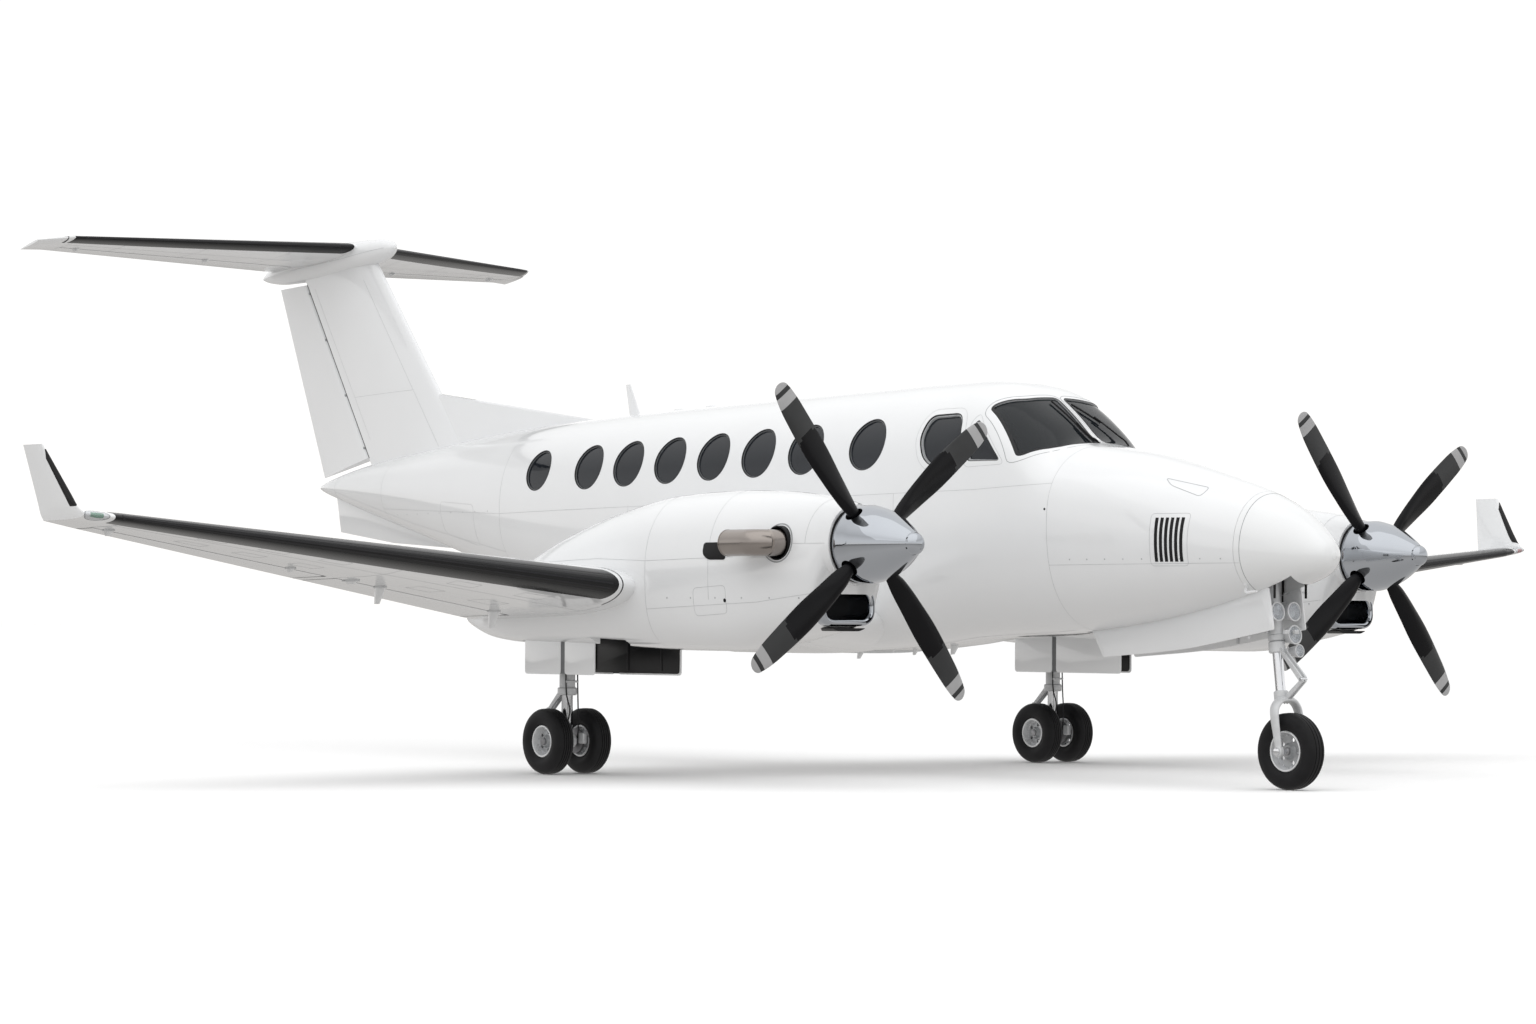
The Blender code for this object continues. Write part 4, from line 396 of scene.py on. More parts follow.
def joined(name, objects):
    """Several objects as one, with their materials kept."""
    bm = bmesh.new()
    mats = []
    for obj in objects:
        first = len(bm.faces)
        bm.from_mesh(obj.data)
        bm.faces.ensure_lookup_table()
        for face in bm.faces[first:]:
            mat = obj.data.materials[face.material_index]
            if mat not in mats:
                mats.append(mat)
            face.material_index = mats.index(mat)
        bpy.data.objects.remove(obj)
    out = new_object(name, [], [], [])
    bm.to_mesh(out.data)
    bm.free()
    for mat in mats:
        out.data.materials.append(mat)
    return out


def face_outwards(obj):
    bm = bmesh.new()
    bm.from_mesh(obj.data)
    bmesh.ops.recalc_face_normals(bm, faces=bm.faces)
    bm.to_mesh(obj.data)
    bm.free()
    return obj


def loft(name, rings, mats="paint", closed=False, kinds=None):
    """A skin over rows of points; closed joins the last row to the first."""
    rings = np.asarray(rings, float)
    rows, count = rings.shape[:2]
    faces = []
    for i in range(rows if closed else rows - 1):
        a, b = i * count, ((i + 1) % rows) * count
        for k in range(count):
            n = (k + 1) % count
            faces.append((a + k, a + n, b + n, b + k))
    if not closed:
        faces.append(tuple(range(count))[::-1])
        faces.append(tuple(range((rows - 1) * count, rows * count)))
    if kinds is not None:
        kinds = list(kinds) + [0] * (len(faces) - len(kinds))
    return face_outwards(new_object(name, rings.reshape(-1, 3), faces, mats, kinds))


def box(name, corner, other, mats="paint", bevel=0.0):
    """A block between two opposite corners."""
    bm = bmesh.new()
    bmesh.ops.create_cube(bm, size=1.0)
    low, high = (Vector([pick(pair) for pair in zip(corner, other)]) for pick in (min, max))
    bmesh.ops.scale(bm, vec=high - low, verts=bm.verts)
    bmesh.ops.translate(bm, vec=(high + low) / 2, verts=bm.verts)
    if bevel:
        bmesh.ops.bevel(bm, geom=bm.edges[:], offset=bevel, segments=3, profile=0.5,
                        affect="EDGES")
    return shade(from_bmesh(name, bm, mats))


def frame_of(axis):
    """Two directions square to an axis."""
    axis = Vector(axis).normalized()
    side = axis.orthogonal().normalized()
    return axis, side, axis.cross(side)


def turned(name, profile, centre, axis, sides=48, mats="paint", kinds=None, angle=30,
           closed=False):
    """A profile of (distance along the axis, radius) turned about it. kinds gives each
    band's material."""
    axis, side, up = frame_of(axis)
    centre = Vector(centre)
    rings = []
    for along, radius in profile:
        rings.append([centre + axis * along
                      + (side * math.cos(t) + up * math.sin(t)) * radius
                      for t in around(sides, 0.5)])
    if kinds is not None:
        kinds = [kind for kind in kinds for _ in range(sides)]
    return shade(loft(name, rings, mats, closed, kinds), angle)


def rod(name, start, end, radius, mats="gear", sides=24, bevel=0.003, end_radius=None):
    """A round bar with softened ends."""
    start, end = Vector(start), Vector(end)
    length = (end - start).length
    last = radius if end_radius is None else end_radius
    soft = min(bevel, radius * 0.4, last * 0.4, length * 0.3)
    profile = ((0, radius - soft), (soft, radius), (length - soft, last), (length, last - soft))
    return turned(name, profile, start, end - start, sides, mats)


def tube(name, points, radius, mats="gear", sides=12, hollow=0.0):
    """A bar, pipe or hose along a smooth line through points."""
    points = [Vector(p) for p in smooth_line(points, 0.02)]
    along = [(points[min(k + 1, len(points) - 1)] - points[max(k - 1, 0)]).normalized()
             for k in range(len(points))]
    side = along[0].orthogonal().normalized()
    rings = []
    inner = []
    for point, way in zip(points, along):
        side = (side - way * side.dot(way)).normalized()
        up = way.cross(side)
        turns = [side * math.cos(t) + up * math.sin(t) for t in around(sides)]
        rings.append([point + turn * radius for turn in turns])
        inner.append([point + turn * (radius - hollow) for turn in turns])
    if hollow:
        return shade(loft(name, rings + inner[::-1], mats, True))
    return shade(loft(name, rings, mats))


def prism(name, outline, axis, start, end, mats="paint", bevel=0.0):
    """A closed outline, given in the other two axes, run along an axis."""
    place_of = "XYZ".index(axis)

    def point(pair, along):
        return (*pair[:place_of], along, *pair[place_of:])
    obj = loft(name, [[point(pair, along) for pair in outline]
                      for along in sorted((start, end))], mats)
    if bevel:
        bm = bmesh.new()
        bm.from_mesh(obj.data)
        bmesh.ops.bevel(bm, geom=bm.edges[:], offset=bevel, segments=2, profile=0.5,
                        affect="EDGES")
        bm.to_mesh(obj.data)
        bm.free()
    return shade(obj)


def smooth_line(points, step):
    """Points every step or so along a smooth curve through the given points."""
    points = np.array([tuple(p) for p in points], float)
    if len(points) < 3:
        count = max(2, int(np.linalg.norm(points[1] - points[0]) / step) + 1)
        return [points[0] + (points[1] - points[0]) * t for t in np.linspace(0, 1, count)]
    ends = np.vstack([2 * points[0] - points[1], points, 2 * points[-1] - points[-2]])
    line = []
    for k in range(1, len(ends) - 2):
        a, b, c, d = ends[k - 1:k + 3]
        count = max(2, int(np.linalg.norm(c - b) / step) + 1)
        for t in np.linspace(0, 1, count, endpoint=False):
            line.append(0.5 * (2 * b + (c - a) * t + (2 * a - 5 * b + 4 * c - d) * t * t
                               + (3 * b - a - 3 * c + d) * t ** 3))
    line.append(points[-1])
    return line


def polyline(points, step=0.02):
    """Points every step along straight runs."""
    line = []
    for a, b in zip(points, points[1:]):
        a, b = np.array(a, float), np.array(b, float)
        count = max(1, int(np.linalg.norm(b - a) / step))
        line += [a + (b - a) * t for t in np.linspace(0, 1, count, endpoint=False)]
    line.append(np.array(points[-1], float))
    return np.array(line)


def closed_line(ring):
    return [*ring, ring[0]]


def rounded(corners, radius, steps=6):
    """A closed outline with its corners rounded."""
    corners = [np.array(c, float) for c in corners]
    out = []
    count = len(corners)
    for k in range(count):
        here = corners[k]
        before, after = corners[k - 1] - here, corners[(k + 1) % count] - here
        reach = min(radius, 0.45 * np.linalg.norm(before), 0.45 * np.linalg.norm(after))
        a = here + before / np.linalg.norm(before) * reach
        b = here + after / np.linalg.norm(after) * reach
        for t in np.linspace(0, 1, steps):
            out.append((1 - t) ** 2 * a + 2 * t * (1 - t) * here + t * t * b)
    return out


def strips(name, lines, width, mats="seam", lift=0.0006):
    """Thin closed strips that lie on a surface; each line is its points and normals."""
    verts, faces = [], []
    for points, normals in lines:
        points, normals = np.asarray(points, float), np.asarray(normals, float)
        loop = np.linalg.norm(points[0] - points[-1]) < 1e-6
        if loop:
            points, normals = points[:-1], normals[:-1]
            way = np.roll(points, -1, 0) - np.roll(points, 1, 0)
        else:
            way = np.gradient(points, axis=0)
        way /= np.linalg.norm(way, axis=1)[:, None] + 1e-12
        across = np.cross(way, normals)
        across /= np.linalg.norm(across, axis=1)[:, None] + 1e-12
        first, count = len(verts), len(points)
        for p, n, w in zip(points, normals, across):
            half = w * width / 2
            verts += [p - half + n * lift, p + half + n * lift,
                      p + half - n * 0.002, p - half - n * 0.002]
        for i in range(count if loop else count - 1):
            a, b = first + 4 * i, first + 4 * ((i + 1) % count)
            for k in range(4):
                j = (k + 1) % 4
                faces.append((a + k, a + j, b + j, b + k))
        if not loop:
            faces.append((first + 3, first + 2, first + 1, first))
            last = first + 4 * (count - 1)
            faces.append((last, last + 1, last + 2, last + 3))
    return new_object(name, verts, faces, mats)


# Bodies with superellipse sections

def table_rows(table, keys):
    """Columns of a table at any keys, on curves that don't overshoot."""
    data = np.array(table, float).T
    x, values = data[0], data[1:]
    slope = np.diff(values) / np.diff(x)
    tangent = np.zeros_like(values)
    before, after = slope[:, :-1], slope[:, 1:]
    rising = before * after > 0
    total = np.where(rising, before + after, 1.0)
    tangent[:, 1:-1] = np.where(rising, 2 * before * after / total, 0.0)
    tangent[:, 0], tangent[:, -1] = slope[:, 0], slope[:, -1]
    keys = np.clip(np.asarray(keys, float), x[0], x[-1])
    k = np.clip(np.searchsorted(x, keys) - 1, 0, len(x) - 2)
    span = x[k + 1] - x[k]
    t = (keys - x[k]) / span
    return ((2 * t ** 3 - 3 * t ** 2 + 1) * values[:, k]
            + (t ** 3 - 2 * t ** 2 + t) * span * tangent[:, k]
            + (3 * t ** 2 - 2 * t ** 3) * values[:, k + 1]
            + (t ** 3 - t ** 2) * span * tangent[:, k + 1])


# Steps in which a line looks for the skin, and halvings that then close in on it
CAST_STEPS = 300
CAST_HALVINGS = 25


class Shell:
    """A body whose sections across Y are superellipses with unlike halves."""

    def __init__(self, table, centre_x=0.0, blur=0.0):
        self.table, self.centre_x, self.blur = table, centre_x, blur
        self.low, self.high = table[0][0], table[-1][0]
        self.cache = np.linspace(self.low, self.high, 2400)
        reach = np.minimum(blur, 0.6 * np.minimum(self.cache - self.low, self.high - self.cache))
        offsets = np.linspace(-1, 1, 9)
        self.rows = sum(table_rows(table, self.cache + reach * d) for d in offsets) / len(offsets)

    def at(self, y):
        return [np.interp(y, self.cache, row) for row in self.rows]

    def value(self, points):
        """Below zero inside, above zero outside."""
        bottom, top, half, waist, upper, lower = self.at(points[:, 1])
        above = points[:, 2] > waist
        power = np.where(above, upper, lower)
        height = np.where(above, top - waist, waist - bottom)
        across = np.abs(points[:, 0] - self.centre_x) / half
        rise = np.abs(points[:, 2] - waist) / height
        return (across ** power + rise ** power) ** (1 / power) - 1

    def normal(self, points):
        points = np.asarray(points, float)
        step = 0.002
        out = np.empty_like(points)
        for axis in range(3):
            shift = np.zeros(3)
            shift[axis] = step
            out[:, axis] = self.value(points + shift) - self.value(points - shift)
        return out / (np.linalg.norm(out, axis=1)[:, None] + 1e-12)

    def ring(self, y, sides, grow=0.0):
        bottom, top, half, waist, upper, lower = self.at(y)
        t = 2 * np.pi * (np.arange(sides) + 0.5) / sides
        across, rise = np.cos(t), np.sin(t)
        power = np.where(rise > 0, upper, lower)
        height = np.where(rise > 0, top - waist, waist - bottom)
        x = self.centre_x + np.sign(across) * np.abs(across) ** (2 / power) * half
        z = waist + np.sign(rise) * np.abs(rise) ** (2 / power) * height
        ring = np.stack([x, np.full(sides, float(y)), z], 1)
        if grow:
            flat = self.normal(ring) * (1, 0, 1)
            ring = ring + flat / np.linalg.norm(flat, axis=1)[:, None] * grow
        return ring

    def rings(self, stations, sides, grow=0.0):
        return [self.ring(y, sides, grow) for y in stations]

    def cast(self, origins, directions, reach=3.0):
        """Where lines from outside first meet the skin."""
        origins = np.asarray(origins, float)
        directions = np.broadcast_to(np.asarray(directions, float), origins.shape)
        far = np.zeros(len(origins))
        found = np.zeros(len(origins), bool)
        for t in np.linspace(0, reach, CAST_STEPS):
            inside = self.value(origins + directions * t) < 0
            far = np.where(found, far, t)
            found |= inside
        near = far - reach / (CAST_STEPS - 1)
        for _ in range(CAST_HALVINGS):
            middle = (near + far) / 2
            inside = self.value(origins + directions * middle[:, None]) < 0
            far = np.where(inside, middle, far)
            near = np.where(inside, near, middle)
        points = origins + directions * far[:, None]
        return points, self.normal(points)

    def beside(self, side, pairs):
        """The skin at y, z pairs, seen from one side."""
        x = self.centre_x + side * 1.2
        return self.cast([(x, y, z) for y, z in pairs], (-side, 0, 0), 1.2)

    def spot(self, side, y, z):
        """The skin's point and normal at one place."""
        points, normals = self.from_side(side, [(y, z), (y + 0.001, z)])
        return Vector(points[0]), Vector(normals[0])

    def from_side(self, side, pairs):
        """A line on the skin from y, z pairs, seen from one side."""
        pairs = polyline(pairs)
        x = self.centre_x + side * 1.6
        return self.cast([(x, y, z) for y, z in pairs], (-side, 0, 0))

    def from_above(self, pairs, way=1):
        """A line on the skin from x, y pairs, seen from above, or from below with -1."""
        pairs = polyline(pairs)
        return self.cast([(x, y, 2.0 + way * 2.5) for x, y in pairs], (0, 0, -way), 4.0)

    def round_at(self, y, first=0.0, last=360.0):
        """A line round the skin at a station, between two angles."""
        waist = self.at(y)[3]
        t = np.radians(np.linspace(first, last, 121))
        out = np.stack([np.cos(t), 0 * t, np.sin(t)], 1)
        points, normals = self.cast(np.array([self.centre_x, y, waist]) + out * 1.5, -out, 1.5)
        if last - first >= 360:
            points[-1] = points[0]
        return points, normals

    def polish(self, obj, limit=0.004):
        """Give the faces that lie on the skin the skin's own normals."""
        mesh = obj.data
        mesh.shade_smooth()
        mesh.set_sharp_from_angle(angle=math.radians(35))
        count = len(mesh.vertices)
        co = np.empty(count * 3)
        mesh.vertices.foreach_get("co", co)
        co = co.reshape(-1, 3)
        normals = self.normal(co)
        step = 0.002
        slope = (self.value(co + normals * step) - self.value(co - normals * step)) / (2 * step)
        distance = self.value(co) / np.maximum(np.abs(slope), 1e-6)
        near = np.abs(distance) < limit
        loops = np.empty(len(mesh.loops), np.int32)
        mesh.loops.foreach_get("vertex_index", loops)
        face_normals = np.empty(len(mesh.polygons) * 3)
        mesh.polygons.foreach_get("normal", face_normals)
        face_normals = face_normals.reshape(-1, 3)
        totals = np.empty(len(mesh.polygons), np.int32)
        mesh.polygons.foreach_get("loop_total", totals)
        owner = np.repeat(np.arange(len(totals)), totals)
        chosen = normals[loops]
        fits = (chosen * face_normals[owner]).sum(1) > 0.80
        custom = np.where((near[loops] & fits)[:, None], chosen, 0.0)
        mesh.normals_split_custom_set(custom.tolist())
        return obj


HULL_SHELL = Shell(HULL, 0.0, 0.06)


def stations(first, last, step):
    return np.linspace(first, last, max(2, int(round((last - first) / step)) + 1))


# Fuselage

HULL_SIDES = 144


def hull_cut_sides(outline, side, grow, name, reach=(0.35, 0.95)):
    """A closed block over a window's outline, given as y and z."""
    return prism(name, grown_outline(outline, grow), "X", side * reach[0], side * reach[1],
                 "reveal")


def circle(y, z, radius, sides=64):
    return [(y + radius * math.cos(t), z + radius * math.sin(t)) for t in around(sides)]


def window_outlines(side):
    """Outlines of a side's windows as y, z."""
    return [circle(y, z, radius) for index, (y, z, radius) in enumerate(WINDOW_ROW)
            if not (side > 0 and index == DOOR_WINDOW)]


def cockpit_outlines():
    return [rounded(SIDE_WINDOW, 0.10, 10), rounded(QUARTER_WINDOW, 0.045, 8)]


def pane_outline(grow, radius):
    """A windshield pane's outline in the sloping plane, grown outwards."""
    corners = np.array(rounded(WINDSHIELD, radius, 8))
    way = np.roll(corners, -1, 0) - np.roll(corners, 1, 0)
    out = np.stack([way[:, 1], -way[:, 0]], 1) / (np.linalg.norm(way, axis=1)[:, None] + 1e-9)
    return list(corners - out * grow)


def slope_block(side, grow, name, radius=0.05, reach=(-0.32, 0.16)):
    """A closed block over a windshield pane, square to the sloping plane."""
    points = [WINDSHIELD_FOOT + Vector((side * x, 0, 0)) + UP_SLOPE * s
              for x, s in pane_outline(grow, radius)]
    return loft(name, [[p + OUT_SLOPE * depth for p in points] for depth in reach], "reveal")


def on_pane(pairs, lift=0.0):
    """The skin at places in the windshield's sloping plane."""
    origins = [WINDSHIELD_FOOT + Vector((x, 0, 0)) + UP_SLOPE * s + OUT_SLOPE * 0.5
               for x, s in pairs]
    points, normals = HULL_SHELL.cast(origins, -OUT_SLOPE, 1.2)
    return points + normals * lift, normals


def slope_line(side, grow, radius=0.05):
    """A closed line on the skin round a windshield pane."""
    ring = pane_outline(grow, radius)
    points, normals = on_pane([(side * x, s) for x, s in polyline(closed_line(ring))])
    points[-1] = points[0]
    return points, normals


def hull_side(y, z):
    """Distance of the skin from the middle plane at a height."""
    return HULL_SHELL.beside(1, [(y, z)])[0][0][0]


def door_frame():
    front, back = (Vector((hull_side(y, DOOR_Z[0]), y, DOOR_Z[0] - 0.0045)) for y in DOOR_HINGE_Y)
    along = (back - front).normalized()
    return (front + back) / 2, along, along.cross(Vector((0, 0, 1)))


def door_block(grow, name):
    middle, along, out = door_frame()
    half = (DOOR_Y[1] - DOOR_Y[0]) / 2 + grow
    bm = bmesh.new()
    bmesh.ops.create_cube(bm, size=1.0)
    low = Vector((-0.28 - grow, -half, DOOR_Z[0] - middle.z - grow))
    high = Vector((0.30, half, DOOR_Z[1] - middle.z + grow))
    bmesh.ops.scale(bm, vec=high - low, verts=bm.verts)
    bmesh.ops.translate(bm, vec=(high + low) / 2, verts=bm.verts)
    slope, level = DOOR_TOP
    for vert in bm.verts:
        if vert.co.z > 0.5:
            vert.co.z += (vert.co.x - level) * slope
    edges = [e for e in bm.edges if abs(e.verts[0].co.x - e.verts[1].co.x) > 0.3]
    bmesh.ops.bevel(bm, geom=edges, offset=DOOR_CORNER, segments=8, profile=0.5, affect="EDGES")
    turn = Matrix((out, along, (0, 0, 1))).transposed().to_4x4()
    bmesh.ops.transform(bm, matrix=Matrix.Translation(middle) @ turn, verts=bm.verts)
    return from_bmesh(name, bm, "reveal")


def bay_block(name):
    half, front, back, ceiling = NOSE_BAY
    return box(name, (-half, front, 0.85), (half, back, ceiling), "bay")


def hull_skin(name, first, last, step, mat="paint", wall=HULL_WALL, extra=()):
    """A stretch of the fuselage's skin: a solid, or a wall of the given thickness."""
    rows = sorted(set(stations(first, last, step)) | set(extra))
    skin = loft(name, HULL_SHELL.rings(rows, HULL_SIDES), mat)
    if wall:
        longer = [rows[0] - 0.06, *rows, rows[-1] + 0.06]
        combine(skin, loft("inside", HULL_SHELL.rings(longer, HULL_SIDES, -wall), "trim"))
    return skin


def build_fuselage():
    tip = [NOSE_Y + 0.0015 * k * k for k in range(1, 12)]
    radome = hull_skin("radome_skin", NOSE_Y, RADOME_Y - SEAM, 0.03, "composite", 0, tip)
    combine(radome, bay_block("bay"))
    place(HULL_SHELL.polish(radome), AIRFRAME, "white_composite", "radome")

    nose = hull_skin("nose_skin", RADOME_Y + SEAM, BULKHEAD_Y - SEAM, 0.04, "paint", 0)
    combine(nose, bay_block("bay"))
    place(HULL_SHELL.polish(nose), AIRFRAME, "white_paint", "nose_section")

    cabin = hull_skin("cabin_skin", BULKHEAD_Y + SEAM, AFT_BULKHEAD_Y - SEAM, 0.045)
    cuts = [bay_block("bay"), door_block(RUNNING_GAP, "door_opening")]
    for side in (1, -1):
        for outline in window_outlines(side) + cockpit_outlines():
            cuts.append(hull_cut_sides(outline, side, 0.0, "window"))
        cuts.append(slope_block(side, 0.0, "pane_opening"))
    combine(cabin, cuts)
    place(HULL_SHELL.polish(cabin), AIRFRAME, "white_paint", "cabin_shell")

    aft = hull_skin("aft_skin", AFT_BULKHEAD_Y + SEAM, HULL_END_Y, 0.06, "paint", 0)
    place(HULL_SHELL.polish(aft), AIRFRAME, "white_paint", "aft_fuselage")


def skin_patch(name, outline, side, inset, thickness, mat, rings=6):
    """A pane that follows the hull's skin at an inset, within an outline of y, z."""
    outline = np.array(outline)
    centre = outline.mean(0)
    verts, faces = [], []
    count = len(outline)
    for depth in (inset, inset + thickness):
        for r in range(rings, 0, -1):
            points, normals = HULL_SHELL.beside(side, centre + (outline - centre) * r / rings)
            verts += list(points - normals * depth)
        points, normals = HULL_SHELL.beside(side, [centre])
        verts += list(points - normals * depth)
    layer = rings * count + 1
    for base in (0, layer):
        for r in range(rings - 1):
            for k in range(count):
                n = (k + 1) % count
                a, b = base + r * count, base + (r + 1) * count
                faces.append((a + k, a + n, b + n, b + k))
        hub = base + layer - 1
        a = base + (rings - 1) * count
        for k in range(count):
            faces.append((a + k, a + (k + 1) % count, hub))
    for k in range(count):
        n = (k + 1) % count
        faces.append((k, n, layer + n, layer + k))
    return shade(face_outwards(new_object(name, verts, faces, mat)))


def grown_outline(outline, grow):
    outline = np.array(outline)
    away = outline - outline.mean(0)
    return list(outline + away * grow / np.linalg.norm(away, axis=1)[:, None])


def rim_ring(name, outline, side, inset, depth, width, mat):
    """A ring round a window's reveal, from an inset inwards."""
    rings = []
    for offset, grow in ((inset, 0.0), (inset, -width), (inset + depth, -width),
                         (inset + depth, 0.0)):
        points, normals = HULL_SHELL.beside(side, grown_outline(outline, grow))
        rings.append(points - normals * offset)
    return shade(loft(name, rings, mat, True), 30)


def glaze(outlines, side, pane, seal, step):
    """Panes with their seals and stepped reveals: a pane's inset and thickness, a seal's
    depth and width, a step's inset, depth, width and material."""
    panes, rims = [], []
    for outline in outlines:
        panes.append(skin_patch("pane", grown_outline(outline, 0.004), side, *pane, "glass"))
        rims.append(rim_ring("seal", outline, side, -0.0006, *seal, "seal"))
        rims.append(rim_ring("step", outline, side, *step))
    return panes, rims


def windshield_layer(name, outer, inner, mat):
    """The hull's skin round the windshield, between two offsets."""
    layer = loft(name, HULL_SHELL.rings(stations(-4.62, -3.80, 0.03), HULL_SIDES, outer), mat)
    return combine(layer, loft("inside", HULL_SHELL.rings(stations(-4.68, -3.72, 0.03),
                                                          HULL_SIDES, inner), mat))


def build_windows():
    for side in (1, -1):
        word = side_word(side)
        outlines = window_outlines(side)
        panes, seals = glaze(outlines, side, (0.017, 0.006), (0.012, 0.006),
                             (0.008, 0.008, 0.012, "rubber_grey"))
        lining = hull_lining(side, outlines)
        place(joined(f"cabin_panes_{word}", panes), AIRFRAME, "dark_glass",
              f"window_lining_{word}")
        place(lining, AIRFRAME, "cabin_trim")
        panes, more = glaze(cockpit_outlines(), side, (0.026, 0.008), (0.010, 0.005),
                            (0.010, 0.016, 0.016, "reveal"))
        place(joined(f"cockpit_side_panes_{word}", panes), AIRFRAME, "dark_glass",
              f"cockpit_side_glass_{word}")
        place(joined(f"window_seals_{word}", seals + more), AIRFRAME, "cabin_trim")

        pane = windshield_layer(f"windshield_pane_{word}", -0.012, -0.026, "clear_glass")
        combine(pane, slope_block(side, -0.001, "pane_edge"), "INTERSECT")
        place(shade(pane), AIRFRAME, "dark_glass", f"windshield_{word}")
        seal = windshield_layer(f"windshield_seal_{word}", 0.0015, -0.012, "seal")
        combine(seal, slope_block(side, 0.006, "seal_edge"), "INTERSECT")
        combine(seal, slope_block(side, -0.010, "seal_hole", 0.045))
        place(shade(seal, 30), AIRFRAME, "cabin_trim")


def hull_lining(side, outlines):
    """The cabin's inner lining, with an opening at each window."""
    rows = stations(-3.00, 1.84, 0.08)
    lining = loft(f"cabin_lining_{side_word(side)}",
                  HULL_SHELL.rings(rows, 72, -HULL_WALL - 0.001), "trim")
    longer = [rows[0] - 0.1, *rows, rows[-1] + 0.1]
    combine(lining, loft("inside", HULL_SHELL.rings(longer, 72, -HULL_WALL - 0.012), "trim"))
    combine(lining, box("band", (side * 0.30, -3.01, FLOOR_Z + 0.01), (side * 0.95, 1.85, 2.86)),
            "INTERSECT")
    cuts = [hull_cut_sides(outline, side, -0.02, "hole") for outline in outlines]
    if side > 0:
        cuts.append(box("door_gap", (0.2, DOOR_Y[0] - 0.04, 1.3), (1.0, DOOR_Y[1] + 0.04, 2.76)))
    combine(lining, cuts)
    return shade(lining)


# Panel lines on the fuselage

LOUVRE = ((-5.815, 1.61), (-5.565, 1.61), (-5.565, 1.925), (-5.815, 1.925))
LOUVRE_FRAME = ((-5.845, 1.58), (-5.535, 1.58), (-5.535, 1.955), (-5.845, 1.955))
HATCH = ((-5.510, 2.215), (-5.870, 2.140), (-5.850, 2.075), (-5.590, 2.160))


def closed_pairs(pairs, radius=0.02):
    return closed_line(rounded(pairs, radius, 5))


# Lines on each side of the hull, as y and z
SIDE_LINES = (
    ((-6.24, 1.60), (BULKHEAD_Y, 1.59)),
    ((BULKHEAD_Y, 2.19), (-3.90, 2.155), (-1.20, 2.115), (AFT_BULKHEAD_Y, 2.075), (4.30, 2.16)),
    ((-2.30, 1.35), (-1.00, 1.36), (0.80, 1.42), (AFT_BULKHEAD_Y, 1.60)),
    ((AFT_BULKHEAD_Y, 1.75), (3.80, 2.02), (5.30, 2.34)),
    ((0.20, 1.40), (0.20, 2.11)),
    ((-3.05, 2.14), (-3.05, 1.60)),
    closed_pairs(((2.55, 1.80), (3.15, 1.92), (3.15, 2.20), (2.55, 2.16)), 0.05),
    closed_pairs(LOUVRE_FRAME, 0.03),
)


def build_hull_lines():
    hull = HULL_SHELL
    dots = []
    dark = [hull.round_at(-6.245, -90, 270)]
    faint = [hull.round_at(BULKHEAD_Y, -80, 260)]
    faint += [hull.round_at(y, -90, 270) for y in (AFT_BULKHEAD_Y, 4.30, 5.30)]
    for side in (1, -1):
        faint += [hull.from_side(side, line) for line in SIDE_LINES]
        dark.append(hull.from_side(side, closed_pairs(HATCH, 0.03)))
        for outline in cockpit_outlines():
            faint.append(hull.from_side(side, closed_line(grown_outline(outline, 0.045))))
        dark.append(slope_line(side, 0.040, 0.07))
        dots += [hull.spot(side, y, 1.63) for y in np.arange(-6.1, -4.7, 0.16)]
        dots += [hull.spot(side, y, 2.10) for y in np.arange(2.3, 4.2, 0.22)]
    faint.append(hull.from_above([(0.0, -3.60), (0.0, 1.50)]))
    for x in (-0.24, 0.24):
        faint.append(hull.from_above([(x, -4.50), (x, -2.40), (x, 1.50)], -1))
    place(strips("hull_panel_lines", dark, 0.0045, "seam"))
    place(strips("hull_faint_lines", faint, 0.0032, "faint_seam"))
    place(studs("hull_fasteners", dots, 0.006))


def studs(name, spots, radius, mats="fastener", sides=10, rise=0.0012):
    """Small round heads on a surface, from pairs of point and normal."""
    verts, faces = [], []
    for point, normal in spots:
        _, side, up = frame_of(Vector(normal))
        point, normal = Vector(point), Vector(normal)
        first = len(verts)
        for lift, scale in ((-0.001, 1.0), (rise * 0.6, 1.0), (rise, 0.7)):
            for t in around(sides):
                verts.append(point + normal * lift
                             + (side * math.cos(t) + up * math.sin(t)) * radius * scale)
        for row in range(2):
            for k in range(sides):
                n = (k + 1) % sides
                a = first + row * sides
                faces.append((a + k, a + n, a + sides + n, a + sides + k))
        faces.append(tuple(first + k for k in range(sides))[::-1])
        faces.append(tuple(first + 2 * sides + k for k in range(sides)))
    return shade(new_object(name, verts, faces, mats))


